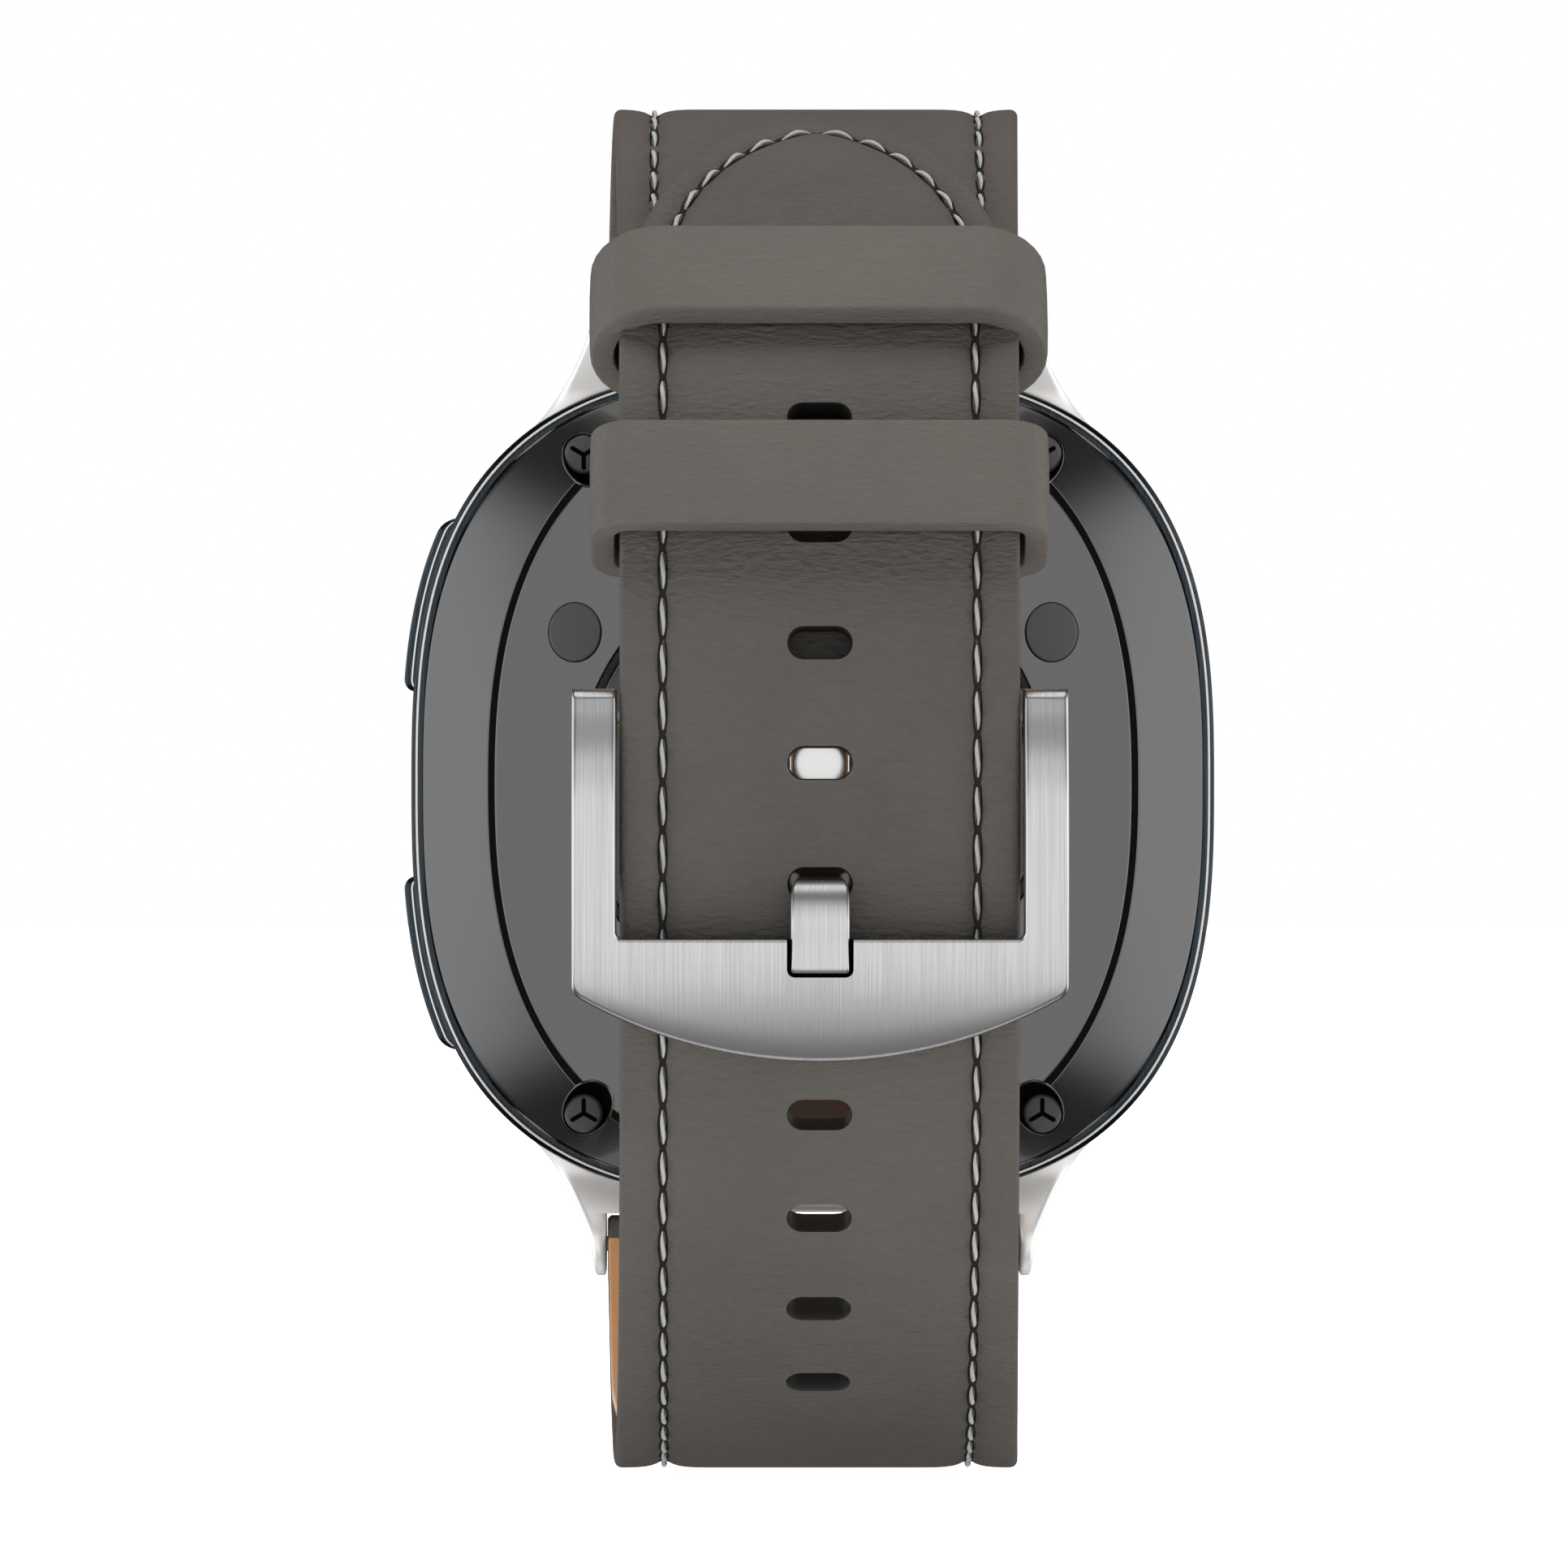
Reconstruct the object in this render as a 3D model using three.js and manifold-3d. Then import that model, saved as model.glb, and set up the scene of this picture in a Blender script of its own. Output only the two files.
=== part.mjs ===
// A cushion-shaped smartwatch with its leather strap buckled into a loop.
// Millimetres. +X is 3 o'clock (the pushers), +Z is 12 o'clock, and the display faces -Y.
// The origin is the centre of the rear sensor window's flat outer face.
// Depths in the case are Y values, which are negative towards the display.
import * as THREE from 'three';
import { mergeVertices } from 'three/addons/utils/BufferGeometryUtils.js';
import Module from 'manifold-3d';

const wasm = await Module();
wasm.setup();

// ---------- driving dimensions ----------

// Clearances
const FIT = 0.06; // a piece seated in its own pocket
const SLIDE = 0.15; // a piece that slides in its pocket
const LAYER_GAP = 0.3; // between strap layers, keepers and buckle
const THIN_GAP = 0.05; // between glued layers
const CUT_PAST = 3; // how far a cutter runs past the face that it opens

// Case: a cushion outline, a superellipse with these half axes and exponent
const CASE_HALF_WIDTH = 21.26;
const CASE_HALF_HEIGHT = 22.17;
const CUSHION = 2.81;
const CASE_WALL = 2.2;
const CASE_REAR_Y = -4.35;
const CASE_FRONT_Y = -9.95;
const CASE_EDGE_BEVEL = 0.35;
const CASE_SEGMENTS = 48;
const RING_SEGMENTS = 32;
const SMALL_SEGMENTS = 14;
const CURVE_SEGMENTS = 5;

// Rear cover
const COVER_RIM_STEP = 0.38; // the cover's edge stands this far inside the case's
const COVER_EDGE_THICKNESS = 0.45;
const COVER_UNDERSIDE_Y = -4.0;
const COVER_SHELL = 1.5;
const COVER_EDGE_ROUND = 0.12;
const COVER_EDGE_STEP = 0.15;
const GROOVE_SIDE_INSET = 4.27; // from the case's outline
const GROOVE_END_INSET = 1.81;
const GROOVE_HALF_WIDTH = CASE_HALF_WIDTH - GROOVE_SIDE_INSET;
const GROOVE_HALF_HEIGHT = CASE_HALF_HEIGHT - GROOVE_END_INSET;
const GROOVE_CUSHION = 2.44;
const GROOVE_WIDTH = 0.4;
const GROOVE_DEPTH = 0.45;
const GROOVE_RIM_Y = -1.65;
const GROOVE_INNER_RISE = 0.15; // how far the groove's inner rim stands above its outer rim
const DOME_RIM_Y = -0.45;
const DOME_SHOULDER_Y = -0.9;
const SHOULDER_SHARE = 0.475; // where the dome's shoulder lies between the ring and the groove
const SHOULDER_CUSHION = 2.2;
const CAVITY_SIDE_WALL = 2.6; // from the groove to the hollow under the cover
const CAVITY_END_WALL = 4.2;

// Sensor window
const WINDOW_RADIUS = 12.06;
const WINDOW_THICKNESS = 0.9;
const WINDOW_BEVEL = 0.15;
const RING_WIDTH = 0.32;
const RING_RADIUS = WINDOW_RADIUS + FIT + RING_WIDTH;
const RING_RECESS = 0.2;
const WINDOW_LEDGE = 1.0;

// Skin electrodes
const ELECTRODE_ANGLE = THREE.MathUtils.degToRad(57.53); // from 12 o'clock
const ELECTRODE_GAP = 2.46; // from the ring to the pad's middle
const ELECTRODE_REACH = RING_RADIUS + ELECTRODE_GAP;
const ELECTRODE_X = ELECTRODE_REACH * Math.sin(ELECTRODE_ANGLE);
const ELECTRODE_Z = ELECTRODE_REACH * Math.cos(ELECTRODE_ANGLE);
const ELECTRODE_HALF_WIDTH = 1.4;
const ELECTRODE_HALF_HEIGHT = 1.55;
const ELECTRODE_FACE_Y = -0.68;
const ELECTRODE_LENGTH = 2.0;
const ELECTRODE_CROWN = 0.15;
const ELECTRODE_FLAT_SHARE = 0.85;

// Case screws
const SCREW_ANGLE = THREE.MathUtils.degToRad(34.22); // on the case's outline, from 12 o'clock
const SCREW_INSET = 2.71; // square to the case's outline
const [SCREW_X, SCREW_Z] = insetPoint(SCREW_ANGLE, SCREW_INSET);
const SCREW_HEAD_RADIUS = 1.06;
const SCREW_HEAD_HEIGHT = 0.55;
const SCREW_SHANK_RADIUS = 0.5;
const SCREW_LENGTH = 3.6;
const SCREW_SLOT_WIDTH = 0.2;
const SCREW_SLOT_DEPTH = 0.25;
const SCREW_SLOT_SHARE = 0.78; // of the head's radius
const SCREW_CHAMFER = 0.12;
const COUNTERBORE_LONG_PLAY = 0.54;
const COUNTERBORE_SHORT_PLAY = 0.24;
const COUNTERBORE_HALF_LONG = SCREW_HEAD_RADIUS + COUNTERBORE_LONG_PLAY;
const COUNTERBORE_HALF_SHORT = SCREW_HEAD_RADIUS + COUNTERBORE_SHORT_PLAY;
const COUNTERBORE_SHIFT = 0.35; // towards the middle of the cover
const COUNTERBORE_FLOOR_Y = -3.25;
const BOSS_RADIUS = 1.7;
const BOSS_LENGTH = 4.2;

// Lugs and lug bars
const LUG_SLOT_HALF_WIDTH = 11.05;
const LUG_TIP_THICKNESS = 0.45;
const LUG_ROOT_THICKNESS = 4.1;
const LUG_ROOT_INSET = 3.67;
const LUG_ROOT_Z = CASE_HALF_HEIGHT - LUG_ROOT_INSET;
const LUG_END_RADIUS = 1.7;
const LUG_FLARE = 1.8; // how far the flared root runs in and up
const LUG_WAIST_WIDTH = 0.45;
const LUG_WAIST_LENGTH = 1.9;
const LUG_TAPER = 0.25; // from the bar's axis to the tip
const LUG_TIP_CHAMFER = 0.2;
const LUG_FRONT_INSET = 0.5; // behind the case's front edge
const LUG_REAR_INSET = 0.1;
const BRIDGE_GAP = 0.1; // from the case's end between the lugs to the strap's wrap
const LUG_OVERLAP = 1; // how far a lug runs into the case
const LUG_FRONT_STRAIGHT = 1.7;
const LUG_REAR_UNDER = 0.45; // how far under the case's outline the rear slope starts
const LUG_NOSE_DROP = 1.1;
const LUG_NOSE_REACH = 2.9;
const LUG_SLOPE_Z = outlineZ(LUG_SLOT_HALF_WIDTH) - LUG_REAR_UNDER;
const BAR_Y = -3.5;
const BAR_OVERHANG = 2.13; // from the case's outline to the bar's axis
const BAR_Z = CASE_HALF_HEIGHT + BAR_OVERHANG;
const BAR_TUBE_RADIUS = 0.75;
const BAR_TUBE_WALL = 0.25;
const BAR_TUBE_BORE = BAR_TUBE_RADIUS - BAR_TUBE_WALL;
const BAR_END_PLAY = 0.45;
const BAR_TUBE_HALF_LENGTH = LUG_SLOT_HALF_WIDTH - BAR_END_PLAY;
const BAR_TIP_RADIUS = 0.4;
const BAR_TIP_REACH = 0.5; // how far a tip enters its lug
const RELEASE_KNOB_INSET = 3.55;
const RELEASE_KNOB_X = LUG_SLOT_HALF_WIDTH - RELEASE_KNOB_INSET;
const RELEASE_KNOB_RADIUS = 0.45;
const RELEASE_KNOB_LENGTH = 2.1;
const RELEASE_TRAVEL = 1.2;

// Bezel, glass and display
const BEZEL_STEP = 0.36;
const BEZEL_HEIGHT = 1.5;
const BEZEL_FRONT_BEVEL = 0.7;
const BEZEL_SEAT_WIDTH = 1.05;
const BEZEL_SEAT_DEPTH = 0.75;
const GLASS_STEP = 1.6; // from the case's outline to the glass edge
const GLASS_FRONT_Y = -12.0;
const GASKET_THICKNESS = 0.15;
const DISPLAY_THICKNESS = 0.85;

// Pushers
const PUSHER_MID_Z = 9.5;
const PUSHER_LENGTH = 9.2;
const PUSHER_DEPTH = 3.0;
const PUSHER_MID_Y = -6.8;
const PUSHER_PROUD = 0.54;
const PUSHER_BODY = 0.75; // how far the cap reaches under the case's outline
const PUSHER_POCKET = 1.45;
const PUSHER_ROUNDING = 0.3;
const STEM_RADIUS = 0.6;
const STEM_SPIGOT_RADIUS = 0.42;
const STEM_SPIGOT_LENGTH = 0.7;
const STEM_TAIL = 0.7; // from the clip to the stem's inner end
const STEM_NECK_RADIUS = 0.4;
const CLIP_THICKNESS = 0.2;
const CLIP_RADIUS = 1.05;
const O_RING_SECTION = 0.2;
const SWITCH_GAP = 0.6; // plunger to stem, a little more than the pusher's travel

// Wrist loop: the strap's outer face follows this ellipse in the YZ plane
const LOOP_CENTRE_Y = 18;
const LOOP_CENTRE_Z = -0.2;
const LOOP_HALF_DEPTH = 30.5;
const LOOP_RISE = 10.67; // how far the loop's half height passes the bar
const LOOP_HALF_HEIGHT = BAR_Z + LOOP_RISE;

// Strap
const STRAP_NEAR_HALF_WIDTH = 9.92;
const STRAP_SIDE_PLAY = 0.2;
const STRAP_LUG_HALF_WIDTH = LUG_SLOT_HALF_WIDTH - STRAP_SIDE_PLAY;
const STRAP_TAPER_CURVE = 1.3;
const LEATHER = 1.15;
const LINING = 0.75;
const LINING_INSET = 0.2;
const BAR_STRAP_PLAY = 0.2;
const BAR_STRAP_BORE = BAR_TUBE_RADIUS + BAR_STRAP_PLAY;
const BAR_WRAP_WALL = 0.55;
const LUG_TUBE_RADIUS = BAR_STRAP_BORE + BAR_WRAP_WALL;
const STRAP_LEAVES_LUG = 118; // degrees round the loop from the buckle side
const SURFACES_AT = 92; // where the short strap reaches the loop's outer face
const DIVES_AT = 66; // where it lies wholly under the long strap
const TIP_AT = 81.5; // the long strap's pointed end
const TIP_LENGTH = 23.5;
const TIP_HALF_FLAT = 0.3;
const TIP_CURVE = 0.74; // below 1 the end is blunter than a cosine
const STRAP_STEP = 6;

// Adjustment holes
const HOLE_COUNT = 10;
const HOLE_PITCH = 6.0;
const HOLE_HALF_LENGTH = 1.55;
const HOLE_HALF_HEIGHT = 0.775;
const USED_HOLE = 4; // counted from the tip, from 0
const USED_HOLE_Z = -4.95;

// Keepers
const KEEPER_LEATHER = 1.2;
const KEEPER_SIDE_GAP = 0.28;
const FIXED_KEEPER_Z = 15.0;
const FIXED_KEEPER_WIDTH = 5.6;
const FREE_KEEPER_Z = 24.95;
const FREE_KEEPER_WIDTH = 5.8;
const KEEPER_CORNER = 2.2;

// Buckle
const LEG_SIDE_PLAY = 0.16;
const LEG_WIDTH = 2.22;
const BUCKLE_INNER_HALF_WIDTH = STRAP_NEAR_HALF_WIDTH + LEG_SIDE_PLAY;
const BUCKLE_HALF_WIDTH = BUCKLE_INNER_HALF_WIDTH + LEG_WIDTH;
const BUCKLE_TOP_Z = 4.75;
const BUCKLE_INNER_Z = -7.67;
const BUCKLE_BOTTOM_Z = -13.76;
const BUCKLE_CORNER_Z = -10.4;
const BUCKLE_CORNER_RADIUS = 1.0;
const BUCKLE_INNER_FILLET = 0.4;
const BUCKLE_THICKNESS = 1.8;
const NOTCH_HALF_WIDTH = 1.65;
const NOTCH_LENGTH = 1.9;
const NOTCH_DEPTH = 1.05;
const PIN_RADIUS = 0.7;
const PIN_END_RADIUS = 0.45;
const PIN_END_INSET = 0.6; // from the buckle's side to the pin's end
const PIN_WRAP_WALL = 0.65;
const PIN_TUBE_RADIUS = PIN_RADIUS + PIN_WRAP_WALL;
const LEG_END_WALL = 0.75;
const LEG_END_RADIUS = PIN_RADIUS + LEG_END_WALL;
const TONGUE_HALF_WIDTH = 1.4;
const TONGUE_NECK_HALF_WIDTH = 1.05; // where it passes through the used hole
const TONGUE_THICKNESS = 0.84;
const TONGUE_EYE_WALL = 0.55;
const TONGUE_EYE_RADIUS = PIN_RADIUS + TONGUE_EYE_WALL;

// ---------- solids ----------

function closedGeometry(geometry) {
  const bare = new THREE.BufferGeometry();
  bare.setAttribute('position', geometry.getAttribute('position').clone());
  if (geometry.index) {
    bare.setIndex(geometry.index.clone());
  }
  const merged = mergeVertices(bare, 1e-5);
  const index = merged.index.array;
  const point = merged.getAttribute('position');
  const kept = [];
  let volume = 0;
  const a = new THREE.Vector3();
  const b = new THREE.Vector3();
  const c = new THREE.Vector3();
  for (let i = 0; i < index.length; i += 3) {
    const [p, q, r] = [index[i], index[i + 1], index[i + 2]];
    if (p === q || q === r || r === p) {
      continue;
    }
    kept.push(p, q, r);
    a.fromBufferAttribute(point, p);
    b.fromBufferAttribute(point, q);
    c.fromBufferAttribute(point, r);
    volume += a.dot(b.cross(c));
  }
  if (volume < 0) {
    kept.reverse();
  }
  merged.setIndex(kept);
  return merged;
}

function toSolid(geometry) {
  const closed = closedGeometry(geometry);
  const vertProperties = new Float32Array(closed.getAttribute('position').array);
  const triVerts = new Uint32Array(closed.index.array);
  return new wasm.Manifold(new wasm.Mesh({ numProp: 3, vertProperties, triVerts }));
}

function toGeometry(solid) {
  const mesh = solid.getMesh();
  const geometry = new THREE.BufferGeometry();
  geometry.setAttribute('position', new THREE.BufferAttribute(mesh.vertProperties, 3));
  geometry.setIndex(new THREE.BufferAttribute(mesh.triVerts, 1));
  return geometry;
}

function cut(base, ...tools) {
  const solids = tools.map(toSolid);
  return toGeometry(solids.reduce((left, tool) => left.subtract(tool), toSolid(base)));
}

function join(base, ...others) {
  const solids = others.map(toSolid);
  return toGeometry(solids.reduce((sum, other) => sum.add(other), toSolid(base)));
}

function common(base, other) {
  return toGeometry(toSolid(base).intersect(toSolid(other)));
}

// ---------- shape helpers ----------

// A box between two corners.
function block(low, high) {
  const size = new THREE.Vector3(...high).sub(new THREE.Vector3(...low));
  const middle = new THREE.Vector3(...high).add(new THREE.Vector3(...low)).multiplyScalar(0.5);
  return new THREE.BoxGeometry(size.x, size.y, size.z).translate(middle.x, middle.y, middle.z);
}

// A shape drawn in X and Z, extruded from one depth to another.
function prismY(shape, lowY, highY, options = {}) {
  const geometry = new THREE.ExtrudeGeometry(shape, {
    depth: highY - lowY,
    bevelEnabled: false,
    curveSegments: CURVE_SEGMENTS,
    ...options,
  });
  const turn = new THREE.Matrix4().makeBasis(
    new THREE.Vector3(1, 0, 0),
    new THREE.Vector3(0, 0, 1),
    new THREE.Vector3(0, -1, 0),
  );
  return geometry.applyMatrix4(turn).translate(0, highY, 0);
}

// A shape drawn in Y and Z, extruded from one X to another.
function prismX(shape, lowX, highX) {
  const geometry = new THREE.ExtrudeGeometry(shape, {
    depth: highX - lowX,
    bevelEnabled: false,
    curveSegments: CURVE_SEGMENTS,
  });
  const turn = new THREE.Matrix4().makeBasis(
    new THREE.Vector3(0, 1, 0),
    new THREE.Vector3(0, 0, 1),
    new THREE.Vector3(1, 0, 0),
  );
  return geometry.applyMatrix4(turn).translate(lowX, 0, 0);
}

// A turned piece whose axis runs along X; the profile is a list of [radius, x].
function turnedX(profile, y, z, segments = SMALL_SEGMENTS) {
  const points = profile.map(([radius, x]) => new THREE.Vector2(radius, x));
  const geometry = new THREE.LatheGeometry(points, segments);
  return geometry.rotateZ(-Math.PI / 2).translate(0, y, z);
}

// A turned piece whose axis runs along Y; the profile is a list of [radius, y].
function turnedY(profile, x, z, segments = SMALL_SEGMENTS) {
  const points = profile.map(([radius, y]) => new THREE.Vector2(radius, y));
  return new THREE.LatheGeometry(points, segments).translate(x, 0, z);
}

function rodX(radius, lowX, highX, y, z, segments = SMALL_SEGMENTS) {
  return turnedX([[0, lowX], [radius, lowX], [radius, highX], [0, highX]], y, z, segments);
}

function rodY(radius, lowY, highY, x, z, segments = SMALL_SEGMENTS) {
  return turnedY([[0, lowY], [radius, lowY], [radius, highY], [0, highY]], x, z, segments);
}

// The radius of a superellipse in the direction of an angle from +Z towards +X.
function cushionRadius(halfWidth, halfHeight, exponent, angle) {
  const across = Math.abs(Math.sin(angle)) / halfWidth;
  const up = Math.abs(Math.cos(angle)) / halfHeight;
  return (across ** exponent + up ** exponent) ** (-1 / exponent);
}

// A ring or plate whose outline is a cushion at every level of its profile.
// Each level is { w, h, n, y }: half width, half height, exponent and depth.
function cushionBody(levels, segments = CASE_SEGMENTS) {
  const points = levels.map((level) => new THREE.Vector2(1, level.y));
  const geometry = new THREE.LatheGeometry(points, segments);
  const position = geometry.getAttribute('position');
  for (let i = 0; i < position.count; i += 1) {
    const level = levels[i % levels.length];
    const turn = Math.floor(i / levels.length) % segments;
    const angle = (turn / segments) * Math.PI * 2;
    const radius = level.w === 0 ? 0 : cushionRadius(level.w, level.h, level.n ?? CUSHION, angle);
    position.setXYZ(i, radius * Math.sin(angle), level.y, radius * Math.cos(angle));
  }
  return geometry;
}

// A level of the case's own cushion, moved in by a step.
function caseLevel(step, y) {
  return { w: CASE_HALF_WIDTH - step, h: CASE_HALF_HEIGHT - step, n: CUSHION, y };
}

function roundLevel(radius, y) {
  return { w: radius, h: radius, n: 2, y };
}

// A plate of the case's cushion outline between two depths.
function cushionPlate(step, lowY, highY, segments = CASE_SEGMENTS) {
  return cushionBody([
    { w: 0, h: 0, y: lowY },
    caseLevel(step, lowY),
    caseLevel(step, highY),
    { w: 0, h: 0, y: highY },
  ], segments);
}

// A flat ring between two steps in from the case's outline.
function cushionRing(outerStep, innerStep, lowY, highY, segments = CASE_SEGMENTS) {
  return cushionBody([
    caseLevel(outerStep, lowY),
    caseLevel(outerStep, highY),
    caseLevel(innerStep, highY),
    caseLevel(innerStep, lowY),
    caseLevel(outerStep, lowY),
  ], segments);
}

// The point a step in from the case's outline, square to it, at an angle from +Z towards +X.
function insetPoint(angle, step) {
  const radius = cushionRadius(CASE_HALF_WIDTH, CASE_HALF_HEIGHT, CUSHION, angle);
  const x = radius * Math.sin(angle);
  const z = radius * Math.cos(angle);
  const normal = new THREE.Vector2(
    (x / CASE_HALF_WIDTH) ** (CUSHION - 1) / CASE_HALF_WIDTH,
    (z / CASE_HALF_HEIGHT) ** (CUSHION - 1) / CASE_HALF_HEIGHT,
  ).normalize();
  return [x - normal.x * step, z - normal.y * step];
}

// The case outline's Z at a distance X from the middle.
function outlineZ(x) {
  return CASE_HALF_HEIGHT * (1 - Math.abs(x / CASE_HALF_WIDTH) ** CUSHION) ** (1 / CUSHION);
}

// The case outline's X at a height Z, grown outwards by an offset.
function outlineX(z, offset) {
  const width = CASE_HALF_WIDTH + offset;
  const height = CASE_HALF_HEIGHT + offset;
  return width * (1 - Math.abs(z / height) ** CUSHION) ** (1 / CUSHION);
}

// The X of the case's faceted wall at a height Z, a step in from the outline.
function wallX(z, step) {
  const corners = Array.from({ length: CASE_SEGMENTS / 4 + 1 }, (_, i) => {
    const angle = (i / CASE_SEGMENTS) * Math.PI * 2;
    const radius = cushionRadius(CASE_HALF_WIDTH - step, CASE_HALF_HEIGHT - step, CUSHION, angle);
    return [radius * Math.sin(angle), radius * Math.cos(angle)];
  });
  const next = corners.findIndex(([, cornerZ]) => cornerZ <= z);
  const [[x0, z0], [x1, z1]] = [corners[next - 1], corners[next]];
  return THREE.MathUtils.mapLinear(z, z0, z1, x0, x1);
}

function roundedRectangle(Kind, left, bottom, right, top, radius) {
  const shape = new Kind();
  shape.moveTo(left + radius, bottom);
  shape.lineTo(right - radius, bottom);
  shape.absarc(right - radius, bottom + radius, radius, -Math.PI / 2, 0, false);
  shape.absarc(right - radius, top - radius, radius, 0, Math.PI / 2, false);
  shape.absarc(left + radius, top - radius, radius, Math.PI / 2, Math.PI, false);
  shape.absarc(left + radius, bottom + radius, radius, Math.PI, Math.PI * 1.5, false);
  return shape;
}

function ellipseShape(halfWidth, halfHeight, turn = 0) {
  const shape = new THREE.Shape();
  shape.absellipse(0, 0, halfWidth, halfHeight, 0, Math.PI * 2, false, turn);
  return shape;
}

// ---------- assembly ----------

const group = new THREE.Group();

const FINISHES = {
  darkMetal: { color: 0x2a3034, roughness: 0.25, metalness: 1 },
  polishedSteel: { color: 0xe0e0e0, roughness: 0.12, metalness: 1 },
  brushedSteel: { color: 0xc4c4c4, roughness: 0.35, metalness: 1 },
  coverPlastic: { color: 0x646466, roughness: 0.4, metalness: 0 },
  darkGlass: { color: 0x2c2c2e, roughness: 0.08, metalness: 0 },
  blackRubber: { color: 0x141414, roughness: 0.8, metalness: 0 },
  leather: { color: 0x5f5b56, roughness: 0.7, metalness: 0 },
  lining: { color: 0x9b6b3d, roughness: 0.8, metalness: 0 },
  board: { color: 0x1f4a33, roughness: 0.5, metalness: 0 },
  innerPlastic: { color: 0x222224, roughness: 0.6, metalness: 0 },
  foil: { color: 0x8c8f94, roughness: 0.4, metalness: 1 },
};

function place(name, finish, geometry) {
  const material = new THREE.MeshStandardMaterial(FINISHES[finish]);
  const mesh = new THREE.Mesh(closedGeometry(geometry), material);
  mesh.name = name;
  group.add(mesh);
}

const SIDES = [{ name: 'upper', sign: 1 }, { name: 'lower', sign: -1 }];
const CORNERS = [
  { name: 'upper_left', x: 1, z: 1 },
  { name: 'upper_right', x: -1, z: 1 },
  { name: 'lower_left', x: 1, z: -1 },
  { name: 'lower_right', x: -1, z: -1 },
];

// ---------- case ----------

// A lug in plan: straight along the strap slot, and flared outside towards the case.
function lugPlan() {
  const slot = LUG_SLOT_HALF_WIDTH;
  const tipZ = BAR_Z + LUG_END_RADIUS;
  const tipX = slot + LUG_TIP_THICKNESS;
  const barX = tipX + LUG_TAPER;
  const rootX = slot + LUG_ROOT_THICKNESS;
  const shape = new THREE.Shape();
  shape.moveTo(slot, LUG_ROOT_Z);
  shape.lineTo(rootX, LUG_ROOT_Z);
  shape.bezierCurveTo(
    rootX - LUG_FLARE,
    LUG_ROOT_Z + LUG_FLARE,
    barX + LUG_WAIST_WIDTH,
    BAR_Z - LUG_WAIST_LENGTH,
    barX,
    BAR_Z,
  );
  shape.lineTo(tipX, tipZ - LUG_TIP_CHAMFER);
  shape.lineTo(tipX - LUG_TIP_CHAMFER, tipZ);
  shape.lineTo(slot, tipZ);
  shape.closePath();
  return shape;
}

// A lug from the side: it curves down from the case's front edge and rounds over the bar.
function lugSide() {
  const frontY = CASE_FRONT_Y + LUG_FRONT_INSET;
  const rearY = CASE_REAR_Y - LUG_REAR_INSET;
  const tipZ = BAR_Z + LUG_END_RADIUS;
  const shape = new THREE.Shape();
  shape.moveTo(frontY, LUG_ROOT_Z - LUG_OVERLAP);
  shape.lineTo(frontY, LUG_ROOT_Z + LUG_FRONT_STRAIGHT);
  shape.bezierCurveTo(frontY, BAR_Z - LUG_NOSE_DROP, BAR_Y - LUG_NOSE_REACH, tipZ, BAR_Y, tipZ);
  shape.absarc(BAR_Y, BAR_Z, LUG_END_RADIUS, Math.PI / 2, -Math.PI / 5, true);
  shape.lineTo(rearY, LUG_SLOPE_Z);
  shape.lineTo(rearY, LUG_ROOT_Z - LUG_OVERLAP);
  shape.closePath();
  return shape;
}

function lug() {
  const plan = prismY(lugPlan(), CASE_FRONT_Y - 1, 0);
  const side = prismX(lugSide(), 0, CASE_HALF_WIDTH);
  return common(plan, side);
}

// The case's end between two lugs, which stops just short of the strap's wrap.
function endBridge(sign) {
  const reach = LUG_SLOT_HALF_WIDTH + LUG_TIP_THICKNESS;
  const topZ = BAR_Z - LUG_TUBE_RADIUS - BRIDGE_GAP;
  const room = block([-reach, CASE_FRONT_Y - 1, LUG_SLOPE_Z], [reach, CASE_REAR_Y - LUG_REAR_INSET, topZ]);
  return mirrored(common(room, prismX(lugSide(), -reach, reach)), 1, sign);
}

function mirrored(geometry, signX, signZ) {
  return geometry.clone().scale(signX, 1, signZ);
}

// A pusher in plan between two offsets from the case's outline.
function pusherPlan(sign, innerOffset, outerOffset, margin) {
  const low = PUSHER_MID_Z - PUSHER_LENGTH / 2 - margin;
  const high = PUSHER_MID_Z + PUSHER_LENGTH / 2 + margin;
  const steps = 8;
  const heights = Array.from({ length: steps + 1 }, (_, i) => low + ((high - low) * i) / steps);
  const outer = heights.map((z) => new THREE.Vector2(outlineX(z, outerOffset), z * sign));
  const inner = heights.map((z) => new THREE.Vector2(outlineX(z, innerOffset), z * sign));
  return new THREE.Shape([...outer, ...inner.reverse()]);
}

const pusherPocketX = outlineX(PUSHER_MID_Z, -PUSHER_POCKET);
const pusherInnerX = outlineX(PUSHER_MID_Z + STEM_RADIUS, -PUSHER_BODY);
const clipX = wallX(PUSHER_MID_Z + CLIP_RADIUS, CASE_WALL) - FIT - CLIP_THICKNESS / 2;
const stemEndX = clipX - CLIP_THICKNESS / 2 - STEM_TAIL;
const ringBoreRadius = STEM_RADIUS + FIT + O_RING_SECTION * 2 + FIT / 2;
const ringBoreDepth = O_RING_SECTION * 2 + 0.02;

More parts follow.
